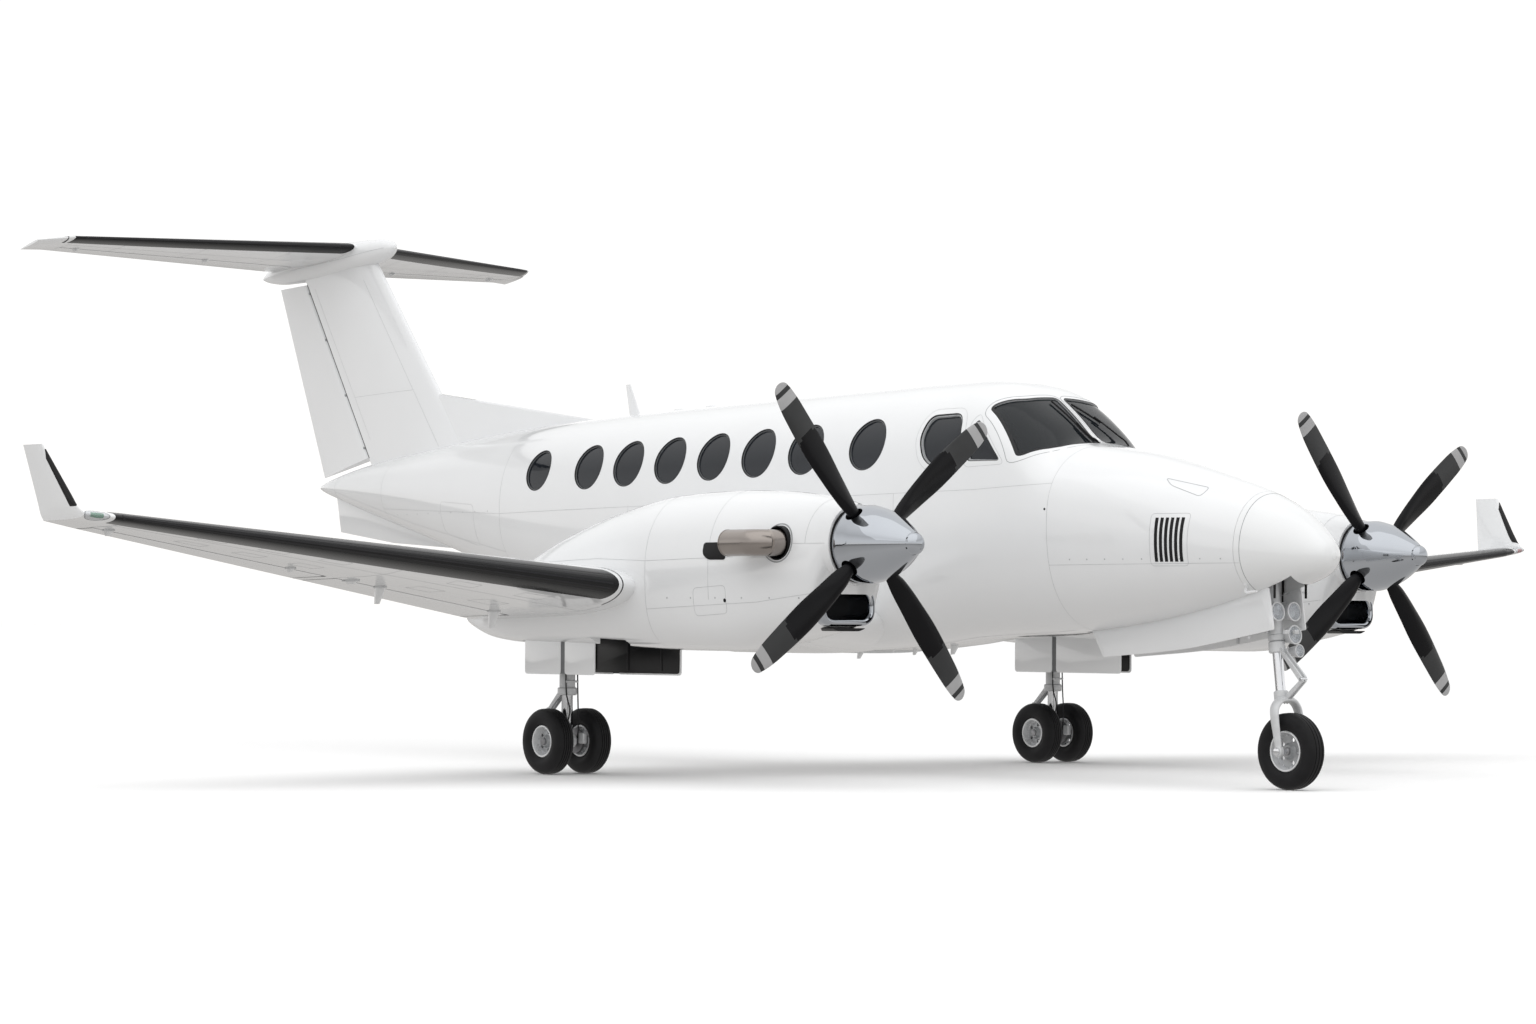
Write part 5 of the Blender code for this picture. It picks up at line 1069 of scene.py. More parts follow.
def build_door():
    door = hull_skin("airstair_door_skin", DOOR_Y[0] - 0.1, DOOR_Y[1] + 0.1, 0.03)
    combine(door, door_block(0.0, "door_edge"), "INTERSECT")
    pieces = []
    for z in (1.74, 1.98, 2.22, 2.46):
        front, back = ((hull_side(y, z) - 0.03, y) for y in DOOR_HINGE_Y)
        outline = (front, back, (back[0] - 0.17, back[1]), (front[0] - 0.17, front[1]))
        pieces.append(prism("step", outline, "Z", z - 0.035, z, "gear", 0.006))
        tread = ((front[0] - 0.03, front[1] + 0.03), (back[0] - 0.03, back[1] - 0.03),
                 (back[0] - 0.155, back[1] - 0.03), (front[0] - 0.155, front[1] + 0.03))
        pieces.append(prism("tread", tread, "Z", z - 0.002, z + 0.001, "black"))
    for y in (DOOR_HINGE_Y[0] + 0.02, DOOR_HINGE_Y[1] - 0.02):
        rail = [(hull_side(y, z) - 0.14, y, z) for z in (1.62, 1.75, 2.10, 2.40, 2.50)]
        pieces.append(tube("rail", rail, 0.009, "piston"))
    pieces.append(box("handle", (0.735, 0.93, 2.455), (0.748, 1.03, 2.480), "piston", 0.004))
    place(HULL_SHELL.polish(door), "door", "white_paint", "airstair_door")
    place(joined("airstair_steps", pieces), "door", "gear_grey")
    frame_line = closed_pairs(((0.93, 2.42), (1.06, 2.42), (1.06, 2.50), (0.93, 2.50)), 0.015)
    window = closed_line(circle(0.88, 2.60, 0.035, 24))
    for name, line in (("door_handle_line", frame_line), ("door_window_ring", window)):
        place(strips(name, [HULL_SHELL.from_side(1, line)], 0.004), "door")


# Lifting surfaces

def half_thickness(u):
    """Half thickness of a section of unit thickness, with a thin blunt tail."""
    return 5 * (0.2969 * np.sqrt(u) - 0.1260 * u - 0.3516 * u ** 2
                + 0.2843 * u ** 3 - 0.0995 * u ** 4)


class Foil:
    """A wing-like surface between rows of x, leading edge, trailing edge, thickness.

    v runs from -1 at the lower trailing edge over 0 at the nose to 1 above."""

    def __init__(self, rows, camber, side):
        self.rows, self.camber, self.side = np.array(rows, float), camber, side

    def row(self, x):
        return [np.interp(x, self.rows[:, 0], self.rows[:, k]) for k in range(1, 6)]

    def thickness(self, x, u):
        """Half thickness of a section at a share of its chord, and the chord."""
        lead_y, lead_z, trail_y, trail_z, ratio = self.row(x)
        chord = np.hypot(trail_y - lead_y, trail_z - lead_z)
        return half_thickness(u) * ratio * chord, chord

    def line(self, x, u):
        """A point on the middle line of a section."""
        lead_y, lead_z, trail_y, trail_z, _ = self.row(x)
        chord = np.hypot(trail_y - lead_y, trail_z - lead_z)
        return Vector((x, lead_y + (trail_y - lead_y) * u,
                       lead_z + (trail_z - lead_z) * u + self.camber * 4 * u * (1 - u) * chord))

    def points(self, x, v, grow=0.0):
        x, v = np.broadcast_arrays(np.asarray(x, float), np.asarray(v, float))
        lead_y, lead_z, trail_y, trail_z, _ = self.row(x)
        u = v * v
        half, chord = self.thickness(x, u)
        lift = self.camber * 4 * u * (1 - u) * chord
        points = np.stack([x * self.side, lead_y + (trail_y - lead_y) * u,
                           lead_z + (trail_z - lead_z) * u + lift + half * np.sign(v)], -1)
        if grow:
            points = points + self.normals(x, v) * grow
        return points

    def normals(self, x, v):
        step = 0.004
        along = self.points(x + step, v) - self.points(x - step, v)
        onwards = self.points(x, np.minimum(v + step, 1)) - self.points(x, np.maximum(v - step, -1))
        out = np.cross(along, onwards) * self.side
        return out / (np.linalg.norm(out, axis=-1)[..., None] + 1e-12)

    def ring(self, x, steps=36, grow=0.0):
        v = np.concatenate([np.sin(np.linspace(0.5, 0, steps) * np.pi),
                            -np.sin(np.linspace(0, 0.5, steps)[1:] * np.pi)])
        return self.points(np.full(len(v), x), v, grow)

    def strip(self, pairs):
        """A line on the surface from x, v pairs."""
        pairs = polyline(pairs, 0.03)
        return self.points(pairs[:, 0], pairs[:, 1]), self.normals(pairs[:, 0], pairs[:, 1])


def surface_ring(foil, x, fraction, nose_steps=14):
    """A section of a hinged surface, with a round nose about its hinge."""
    centre = foil.line(x, fraction)
    radius, _ = foil.thickness(x, fraction)
    tail = fraction + (1 - fraction) * np.linspace(1, 0.06, 14)
    ring = [foil.line(x, u) + Vector((0, 0, foil.thickness(x, u)[0])) for u in tail]
    for a in np.radians(np.linspace(90, 270, nose_steps)):
        ring.append(centre + Vector((0, math.cos(a), math.sin(a))) * radius)
    ring += [foil.line(x, u) - Vector((0, 0, foil.thickness(x, u)[0])) for u in tail[::-1]]
    return ring


def mirrored(points, side):
    return [Vector((p[0] * side, p[1], p[2])) for p in points]


def gap_v(foil, x, fraction):
    """Where the fixed skin ends ahead of a hinged surface."""
    radius, chord = foil.thickness(x, fraction)
    return math.sqrt(fraction - (radius + RUNNING_GAP + 0.005) / chord)


def hinge_ends(foil, span, fraction):
    start, end = (foil.line(x, fraction) for x in span)
    return start, end, (end - start).normalized()


def space_block(foil, span, fraction, name):
    """The space for a hinged surface, behind its cove line."""
    start, end, direction = hinge_ends(foil, span, fraction)
    aft = (Vector((0, 1, 0)) - direction * direction.y).normalized()
    up = direction.cross(aft)
    rings = []
    for x, centre in zip(span, (start, end)):
        radius, _ = foil.thickness(x, fraction)
        front, back = centre - aft * (radius + RUNNING_GAP), centre + aft * 2.0
        rings.append(mirrored([front - up * 0.6, back - up * 0.6, back + up * 0.6,
                               front + up * 0.6], foil.side))
    return loft(name, rings, "black")


def hinged_surface(name, foil, span, fraction, slices=12):
    """A flap, aileron or elevator, with ends square to its hinge."""
    span = (span[0] + RUNNING_GAP, span[1] - RUNNING_GAP)
    start, end, direction = hinge_ends(foil, span, fraction)
    near, far = (surface_ring(foil, x, fraction) for x in span)
    squared = [[p + (q - p) * ((centre - p).dot(direction) / (q - p).dot(direction))
                for p, q in zip(near, far)] for centre in (start, end)]
    rings = []
    for t in np.linspace(0, 1, slices):
        rings.append(mirrored([p + (q - p) * t for p, q in zip(*squared)], foil.side))
    body = shade(loft(f"{name}_skin", rings, "paint"), 30)
    place(body, name, "white_paint", name)


def boot(name, foil, x_range, v_range, widen, rise=0.0016):
    """A rubber de-icing boot that wraps a leading edge. Its inner end is rounded and its
    outer end hollow; its share of the chord grows outwards."""
    low, high = v_range
    first, last = x_range
    middle, half = (low + high) / 2, (high - low) / 2
    bend = 0.06
    xs = np.concatenate([first + bend * (1 - np.cos(np.linspace(0.05, 1, 12) * math.pi / 2)),
                         np.linspace(first + bend, last, 50)[1:]])
    vs = np.linspace(-1, 1, 25)
    outer, inner = [], []
    for x in xs:
        share = math.sqrt(max(0.0, 1 - max(0.0, 1 - (x - first) / bend) ** 2))
        share *= 1 + (widen - 1) * (x - first) / (last - first)
        v = middle + vs * half * share
        outer.append(foil.points(np.full(25, x), v, rise))
        inner.append(foil.points(np.full(25, x), v, -0.001))
    rings = [np.vstack([o, i[::-1]]) for o, i in zip(outer, inner)]
    return shade(loft(name, rings, "boot"), 40)


def boot_tubes(foil, x_range, v_values, slices=40):
    """Faint ridges along a boot."""
    lines = []
    for v in v_values:
        xs = np.linspace(x_range[0] + 0.05, x_range[1] - 0.05, slices)
        vs = np.full(slices, v)
        lines.append((foil.points(xs, vs, 0.0015), foil.normals(xs, vs)))
    return lines


BOOT_SPAN = (3.19, 7.225)
BOOT_CHORD = (-0.27, 0.25)


def build_wings():
    for side in (1, -1):
        word = side_word(side)
        foil = Foil(WING, WING_CAMBER, side)
        xs = np.concatenate([stations(0.30, 3.05, 0.25), stations(3.05, 7.43, 0.12)[1:]])
        wing = loft(f"wing_skin_{word}", [foil.ring(x) for x in xs], "paint")
        surfaces = (("flap_inboard", FLAP_INBOARD), ("flap_outboard", FLAP_OUTBOARD),
                    ("aileron", AILERON))
        hull = loft("hull", HULL_SHELL.rings(stations(-4.6, 1.8, 0.08), HULL_SIDES, -0.002),
                    "paint")
        combine(wing, [space_block(foil, span, SURFACE_HINGE, "space")
                       for _, span in surfaces] + [hull])
        place(shade(wing, 30), AIRFRAME, "white_paint", f"wing_{word}")
        for name, span in surfaces:
            hinged_surface(f"{name}_{word}", foil, span, SURFACE_HINGE)
            build_hinge_fairings(foil, name, word)
        gaps = []
        for _, span in surfaces:
            for sign in (1, -1):
                gaps.append(foil.strip([(x, sign * gap_v(foil, x, SURFACE_HINGE))
                                        for x in np.linspace(span[0], span[1], 9)]))
                for x in span:
                    v = gap_v(foil, x, SURFACE_HINGE)
                    gaps.append(foil.strip([(x, sign * v), (x, sign * 0.995)]))
        place(strips(f"wing_gap_seals_{word}", gaps, 0.009, "black"), AIRFRAME, "cabin_trim")
        lines = []
        tail = math.sqrt(SURFACE_HINGE - 0.03)
        for x in (3.12, 4.90, 7.14):
            lines.append(foil.strip([(x, -tail), (x, -0.26)]))
            lines.append(foil.strip([(x, 0.26), (x, tail)]))
        for v in (0.52, -0.52):
            lines.append(foil.strip([(3.12, v), (7.14, v)]))
        for v in (-0.50, 0.50):
            lines.append(foil.strip([(0.9, v), (2.0, v)]))
        for x in (3.7, 4.3, 5.4, 5.9, 6.4):
            for v in (-0.42, -0.68):
                panel = [(x - 0.11, v - 0.045), (x + 0.11, v - 0.045), (x + 0.11, v + 0.045),
                         (x - 0.11, v + 0.045), (x - 0.11, v - 0.045)]
                lines.append(foil.strip(panel))
        place(strips(f"wing_lines_{word}", lines, 0.0035, "faint_seam"))
        skin = boot("boot", foil, BOOT_SPAN, BOOT_CHORD, 1.65)
        ridges = strips("ridges", boot_tubes(foil, BOOT_SPAN, (-0.15, -0.08, 0.0, 0.08, 0.15)),
                        0.012, "seal", 0.0008)
        place(joined(f"wing_boot_{word}", [skin, ridges]), AIRFRAME, "tyre_black")
        edge = [foil.strip([(BOOT_SPAN[0] - back, v) for back, v in
                            ((0.045, -0.36), (0.035, -0.1), (0.035, 0.1), (0.045, 0.36))])]
        place(strips(f"boot_outline_{word}", edge, 0.010, "black"))
        build_winglet(side)


def winglet_rows(count=60):
    """Rows of the winglet on a smooth curve through its stations."""
    table = [(k, *row) for k, row in enumerate(WINGLET)]
    keys = np.linspace(0, len(WINGLET) - 1, count)
    return table_rows(table, keys).T


def winglet_ring(row, side, low=-1.0, high=1.0, grow=0.0, steps=60):
    x, lead_y, lead_z, trail_y, trail_z, thickness, lean = row
    lead, trail = np.array((x, lead_y, lead_z)), np.array((x, trail_y, trail_z))
    chord = np.linalg.norm(trail - lead)
    a = math.radians(lean)
    lift = np.array((-math.sin(a), 0, math.cos(a)))
    v = np.sin(np.linspace(high, low, steps) * np.pi / 2)
    u = v * v
    rise = (half_thickness(u) * thickness + grow) * np.sign(v)
    bend = WING_CAMBER * (1 - lean / 90) * 4 * u * (1 - u) * chord
    ring = lead + (trail - lead) * u[:, None] + lift * (rise + bend)[:, None]
    if grow:
        ring -= (trail - lead) / chord * grow * np.exp(-u * 60)[:, None]
    return ring * (side, 1, 1)


def build_winglet(side):
    word = side_word(side)
    rows = winglet_rows()
    body = loft(f"winglet_skin_{word}", [winglet_ring(row, side) for row in rows], "paint")
    place(shade(body, 40), AIRFRAME, "white_paint", f"winglet_{word}")
    covered = rows[21:58]
    rings = []
    for k, row in enumerate(covered):
        share = min(1.0, 0.3 + 0.7 * min(k, len(covered) - 1 - k) / 3)
        outer = winglet_ring(row, side, -0.22 * share, 0.22 * share, 0.0016, 21)
        inner = winglet_ring(row, side, -0.22 * share, 0.22 * share, 0.0, 21)
        rings.append(np.vstack([outer, inner[::-1] + (inner.mean(0) - outer.mean(0)) * 0.5]))
    place(shade(loft(f"winglet_boot_{word}", rings, "boot"), 40), AIRFRAME, "tyre_black")
    build_nav_light(side)


def build_nav_light(side):
    """A clear lens over a coloured lamp in the wing tip's leading edge."""
    word = side_word(side)
    foil = Foil(WING, WING_CAMBER, side)
    rings, lamp = [], []
    for t in np.linspace(0.04, math.pi - 0.04, 17):
        x = 7.345 - 0.078 * math.cos(t)
        half = 0.40 * math.sin(t)
        v = np.linspace(-half, half * 0.8, 15)
        xs = np.full(15, x)
        rings.append(np.vstack([foil.points(xs, v, 0.0045 * math.sin(t)),
                                foil.points(xs, v[::-1], -0.002)]))
        v = v * 0.45
        lamp.append(np.vstack([foil.points(xs, v, 0.003 * math.sin(t)),
                               foil.points(xs, v[::-1], -0.004)]))
    lens = shade(loft("lens", rings, "lens"), 40)
    bulb = shade(loft("bulb", lamp[5:12], "red_lens" if side > 0 else "green_lens"), 40)
    outline = []
    for t in np.linspace(0, 2 * math.pi, 61):
        outline.append((7.345 - 0.082 * math.cos(t),
                        (0.42 if math.sin(t) < 0 else 0.34) * math.sin(t)))
    place(joined(f"nav_light_{word}", [lens, bulb]), AIRFRAME, "dark_glass")
    place(strips(f"nav_light_rim_{word}", [foil.strip(outline)], 0.008, "seam"))


# Hinge fins under the wing: x, height, length
HINGE_FINS = {"flap_inboard": ((1.10, 0.06, 0.14), (1.90, 0.06, 0.14)),
              "flap_outboard": ((3.313, 0.13, 0.15), (4.482, 0.13, 0.15), (4.776, 0.03, 0.20)),
              "aileron": ((5.35, 0.035, 0.12), (7.012, 0.045, 0.14))}


def oval(x, y, z, half, reach):
    """A flat ring, with half its width and half its length."""
    return [(x + half * math.sin(a), y + reach * math.cos(a), z) for a in around(20)]


def build_hinge_fairings(foil, name, word):
    """Thin fins under the trailing edge that carry a surface's hinges."""
    fins = []
    for x, height, length in HINGE_FINS[name]:
        v = gap_v(foil, x, SURFACE_HINGE)
        across, y, z = foil.points(x, -v) + (0, -0.020, 0.006)
        rings = []
        for t in np.linspace(0, 1, 6):
            middle = y - length * 0.20 + height * 0.35 * t
            rings.append(oval(across, middle, z - height * t, 0.009 * (1 - 0.4 * t),
                              length * (1 - 0.55 * t) / 2))
        fins.append(shade(loft("fin", rings, "paint"), 40))
        rings = [oval(across, y - length * 0.15, z - drop, 0.022, length * 0.55)
                 for drop in (-0.004, 0.008, 0.011)]
        fins.append(shade(loft("foot", rings, "gear"), 40))
    place(joined(f"hinge_fins_{name}_{word}", fins))


# Tail

def tail_foil(side):
    return Foil(TAILPLANE, 0.0, side)


def build_tailplane():
    port, starboard = tail_foil(1), tail_foil(-1)
    xs = np.concatenate([stations(0.0, 2.56, 0.10), [2.60, 2.64, 2.68, 2.71, 2.73, 2.74]])
    rings = [starboard.ring(x) for x in xs[::-1]] + [port.ring(x) for x in xs[1:]]
    body = loft("tailplane_skin", rings, "paint")
    combine(body, [space_block(foil, ELEVATOR, ELEVATOR_HINGE, "space")
                   for foil in (port, starboard)])
    place(shade(body, 30), AIRFRAME, "white_paint", "tailplane")
    for foil in (port, starboard):
        word = side_word(foil.side)
        hinged_surface(f"elevator_{word}", foil, ELEVATOR, ELEVATOR_HINGE)
        pieces = [boot("boot", foil, (0.130, 2.585), (-0.27, 0.27), 1.75),
                  strips("ridges", boot_tubes(foil, (0.20, 2.50), (-0.12, 0.0, 0.12)), 0.010,
                         "seal", 0.0008)]
        place(joined(f"tail_boot_{word}", pieces), AIRFRAME, "tyre_black")
        lines = []
        for x in (0.62, 1.35, 2.05):
            for sign in (1, -1):
                lines.append(foil.strip([(x, sign * 0.30), (x, sign * 0.76)]))
        for sign in (1, -1):
            lines.append(foil.strip([(0.2, sign * 0.60), (2.5, sign * 0.60)]))
            lines.append(foil.strip([(2.50, sign * 0.05), (2.50, sign * 0.80)]))
        place(strips(f"tailplane_lines_{word}", lines, 0.003, "faint_seam"))
        gaps = [foil.strip([(x, sign * gap_v(foil, x, ELEVATOR_HINGE))
                            for x in np.linspace(ELEVATOR[0], ELEVATOR[1], 9)])
                for sign in (1, -1)]
        place(strips(f"elevator_gap_seals_{word}", gaps, 0.008, "black"), AIRFRAME,
              "cabin_trim")
        brackets = []
        for x in (1.055, 2.33):
            spot = foil.points(x, -math.sqrt(ELEVATOR_HINGE))
            brackets.append(prism("bracket", ((spot[1] - 0.10, spot[2] + 0.006),
                                              (spot[1] - 0.02, spot[2] - 0.022),
                                              (spot[1] + 0.02, spot[2] - 0.022),
                                              (spot[1] + 0.05, spot[2] + 0.004)), "X",
                                  spot[0] - 0.006, spot[0] + 0.006, "paint", 0.002))
        place(joined(f"elevator_brackets_{word}", brackets))


def blend_line(line, t):
    return line[0] + (line[1] - line[0]) * t


def fin_chord(t):
    """The fin's leading edge at a share of its height, the way aft to its hinge line, and
    the distance between them."""
    lead = blend_line(FIN_LEAD, t)
    way = blend_line(FIN_HINGE, t) - lead
    return lead, way.normalized(), way.length


def fin_section(t, steps=30):
    """The fin's section at a share of its height, cut off ahead of the rudder."""
    lead, way, length = fin_chord(t)
    chord = length / FIN_SHARE
    last = math.sqrt((length - blend_line(RUDDER_NOSE, t) - RUNNING_GAP) / chord)
    v = np.concatenate([np.linspace(last, 0, steps), -np.linspace(0, last, steps)[1:]])
    u = v * v
    points = np.array(lead) + np.outer(u * chord, np.array(way))
    points[:, 0] += half_thickness(u) * FIN_THICKNESS * chord * np.sign(v)
    return points


FIN_FOOT = -0.07
FIN_HEAD = 1.10


def build_fin():
    ts = np.linspace(FIN_FOOT, FIN_HEAD, 40)
    fin = loft("fin_skin", [fin_section(t) for t in ts], "paint")
    place(shade(fin, 30), AIRFRAME, "white_paint", "fin")

    rings = []
    for t in np.linspace(0, 1, 30):
        hinge, trail = blend_line(FIN_HINGE, t), blend_line(RUDDER_TRAIL, t)
        nose = blend_line(RUDDER_NOSE, t)
        along = (trail - hinge).normalized()
        length = (trail - hinge).length
        halves = [(s, nose * (1 - s) ** 0.9 * (1 + 0.12 * s) + 0.0025 * s)
                  for s in np.linspace(1, 0.08, 12)]
        ring = [hinge + along * length * s + Vector((half, 0, 0)) for s, half in halves]
        for a in np.radians(np.linspace(90, -90, 15)):
            ring.append(hinge - along * nose * math.cos(a) + Vector((nose * math.sin(a), 0, 0)))
        ring += [hinge + along * length * s - Vector((half, 0, 0)) for s, half in halves[::-1]]
        rings.append(ring)
    place(shade(loft("rudder_skin", rings, "paint"), 30), "rudder", "white_paint", "rudder")

    bullet = Shell(BULLET, 0.0, 0.05)
    rows = [4.650, 4.656, 4.665, 4.680, *stations(4.70, 6.70, 0.05), 6.73, 6.76, 6.79, 6.81,
            TAIL_Y]
    tip = loft("tail_bullet_skin", bullet.rings(rows, 64), "paint")
    place(bullet.polish(tip), AIRFRAME, "white_paint", "tail_bullet")
    build_fin_lines(bullet)

    lead = [np.array(p) for p in DORSAL]
    foot = 2.60
    rings = []
    for t in np.linspace(0, 1, 30):
        y, z = blend_line(lead, t)
        half = 0.006 + 0.022 * t
        flank = ((half * 1.6, y + 0.02, foot), (half, y, z - 0.03), (half * 0.75, y, z - 0.008))
        rings.append([(-x, *rest) for x, *rest in flank] + [(0, y, z)] + list(flank[::-1]))
    dorsal = shade(loft("dorsal_fin_skin", rings, "paint"), 50)
    place(dorsal, AIRFRAME, "white_paint", "dorsal_fin")
    ventral = prism("ventral_fin_skin", VENTRAL, "X", -0.016, 0.016, "paint", 0.006)
    place(ventral, AIRFRAME, "white_paint", "ventral_fin")


def fin_strip(pairs, side):
    """A line on the fin's side; pairs are share of height and share of the fin's chord."""
    points = []
    for t, u in polyline(pairs, 0.02):
        lead, way, length = fin_chord(t)
        chord = length / FIN_SHARE
        half = half_thickness(np.array(u)) * FIN_THICKNESS * chord
        point = lead + way * u * chord
        points.append((side * float(half), point.y, point.z))
    return points, np.tile((side, 0.0, 0.0), (len(points), 1))


def build_fin_lines(bullet):
    dark, faint = [], []
    for side in (1, -1):
        for ends in (((0.02, 0.14), (0.98, 0.14)), ((0.10, 0.60), (0.97, 0.60)),
                     ((0.34, 0.14), (0.34, 0.60))):
            faint.append(fin_strip(ends, side))
        faint.append(bullet.from_side(side, [(4.72, 4.565), (5.30, 4.50), (6.20, 4.44)]))
        pairs = []
        for t in np.linspace(0.0, 1.0, 12):
            nose = blend_line(RUDDER_NOSE, t)
            length = fin_chord(t)[2]
            pairs.append((t, FIN_SHARE * (length - nose - RUNNING_GAP - 0.006) / length))
        dark.append(fin_strip(pairs, side))
    place(strips("rudder_gap_seals", dark, 0.009, "black"), AIRFRAME, "cabin_trim")
    place(strips("fin_lines", faint, 0.003, "faint_seam"))
    hinges = []
    for t in (0.06, 0.36, 0.68, 0.95):
        hinge = blend_line(FIN_HINGE, t)
        nose = blend_line(RUDDER_NOSE, t)
        for side in (1, -1):
            hinges.append(box("hinge", (side * (nose - 0.004) - 0.003, hinge.y - 0.050,
                                        hinge.z - 0.012),
                              (side * (nose - 0.004) + 0.003, hinge.y - 0.010,
                               hinge.z + 0.012), "seam", 0.002))
    place(joined("rudder_hinges", hinges), AIRFRAME, "gear_grey")
    lamp = []
    for side in (1, -1):
        centre = Vector((side * 0.052, 4.86, 3.62))
        lamp.append(turned("fin_lamp", ((-0.030, 0.001), (-0.022, 0.012), (0, 0.018),
                                        (0.022, 0.012), (0.030, 0.001)), centre, (0, 1, 0.25),
                           24, "lens"))
    place(joined("fin_lamps", lamp), AIRFRAME, "dark_glass")


# Nacelles

def engine_shell(side):
    return Shell(NACELLE, side * ENGINE_X, 0.05)


def intake_outline(side, grow, radius, steps=12):
    """The intake's mouth as x and z, grown outwards."""
    half_width, half_height = (size / 2 + grow for size in INTAKE_SIZE)
    return rounded([(side * ENGINE_X + sx * half_width, INTAKE_Z + sz * half_height)
                    for sx, sz in ((1, 1), (-1, 1), (-1, -1), (1, -1))], radius, steps)


def exhaust_line(side, out):
    turn = 0.105
    turn_x = ENGINE_X + out * (EXHAUST_OUT - turn)
    points = [Vector((ENGINE_X + out * 0.10, EXHAUST_Y, EXHAUST_Z))]
    for a in np.linspace(0, math.pi / 2, 9):
        points.append(Vector((turn_x + out * turn * math.sin(a),
                              EXHAUST_Y + turn * (1 - math.cos(a)), EXHAUST_Z)))
    points.append(Vector((ENGINE_X + out * EXHAUST_OUT, EXHAUST_END_Y, EXHAUST_Z)))
    return [Vector((p.x * side, p.y, p.z)) for p in points]


def build_nacelles():
    for side in (1, -1):
        word = side_word(side)
        shell = engine_shell(side)
        rows = sorted(set(stations(-4.75, FIREWALL_Y - SEAM, 0.04))
                      | {-4.70, -4.665, -4.66, -4.652, -4.646, -4.640})
        cowl = loft(f"engine_cowl_skin_{word}", shell.rings(rows, 96), "paint")
        inner = [rows[0] - 0.02, -4.70, -4.66, -4.61, *(y for y in rows if y > -4.6),
                 rows[-1] + 0.02]
        combine(cowl, loft("inside", shell.rings(inner, 96, -COWL_WALL), "bay"))
        cuts = [prism("mouth", intake_outline(side, 0.004, INTAKE_CORNERS[1] * 1.5), "Y",
                      INTAKE_Y[0] - 0.03, INTAKE_Y[1] + 0.03, "black")]
        for out in (1, -1):
            middle = Vector((side * (ENGINE_X + out * 0.25), EXHAUST_Y + 0.012, EXHAUST_Z))
            cuts.append(turned("hole", ((0, EXHAUST_HOLE), (0.4, EXHAUST_HOLE)), middle,
                               (side * out, 0, 0), 48, "black"))
        combine(cowl, cuts)
        place(shell.polish(cowl), AIRFRAME, "white_paint", f"engine_cowl_{word}")

        aft = loft(f"nacelle_skin_{word}", shell.rings(
            [*stations(FIREWALL_Y + SEAM, -0.35, 0.05), -0.30, -0.25, -0.21, -0.185, -0.172,
             -0.168], 96), "paint")
        half, front, back, ceiling = MAIN_BAY
        bays = [box("bay", (side * GEAR_X - half, front, 0.8),
                    (side * GEAR_X + half, back, ceiling), "bay")]
        # A notch beside the bay: a real recess whose near-black bay colour paints the dark cove of
        # shade on the nacelle's side.
        bays.append(box("notch", (side * (GEAR_X + half - 0.001), front - 0.05, 0.8),
                        (side * (GEAR_X + half + 0.10), -2.10, 1.036), "bay"))
        combine(aft, bays)
        place(shell.polish(aft), AIRFRAME, "white_paint", f"nacelle_{word}")
        build_intake(side)
        build_engine(side)
        build_nacelle_lines(side, shell)


def build_intake(side):
    """A polished lip round the intake's mouth, its dark duct, and a black block under the mouth
    that paints the lip's shadow.
    """
    word = side_word(side)
    rings = []
    # Cross-section of the lip: distance outwards from the mouth, distance aft
    section = [(INTAKE_LIP, 0.20), (INTAKE_LIP, 0.06)]
    for a in np.linspace(0, math.pi, 15):
        section.append((INTAKE_LIP / 2 + INTAKE_LIP / 2 * math.cos(a), 0.045 * (1 - math.sin(a))))
    section += [(0.0, 0.08), (-0.012, 0.20), (-0.020, 0.23), (0.02, 0.23)]
    for grow, back in section:
        corner = INTAKE_CORNERS[1] + (INTAKE_CORNERS[0] - INTAKE_CORNERS[1]) \
            * max(0.0, grow) / INTAKE_LIP
        rings.append([(x, INTAKE_Y[0] + back, z)
                      for x, z in intake_outline(side, grow, corner * 1.5, 14)])
    lip = shade(loft(f"intake_lip_skin_{word}", rings, "chrome", True), 40)
    place(lip, AIRFRAME, "polished_metal", f"intake_lip_{word}")
    duct = intake_outline(side, 0.02, 0.11)
    rings = [[(x, -4.44, z) for x, z in duct], [(x, -4.15, z + 0.03) for x, z in duct]]
    place(shade(loft(f"intake_duct_{word}", rings, "black")), AIRFRAME, "engine_steel")
    # Painted shadow: a black block just under the intake's lip, where the lip's shadow falls.
    shadow = [(side * ENGINE_X + x, z) for x, z in
              ((-0.16, INTAKE_Z - 0.150), (0.16, INTAKE_Z - 0.150), (0.10, INTAKE_Z - 0.172),
               (-0.10, INTAKE_Z - 0.172))]
    dark_patch = prism(f"intake_painted_shadow_{word}", rounded(shadow, 0.02), "Y", -4.653, -4.40, "black")
    place(dark_patch, AIRFRAME, "engine_steel")


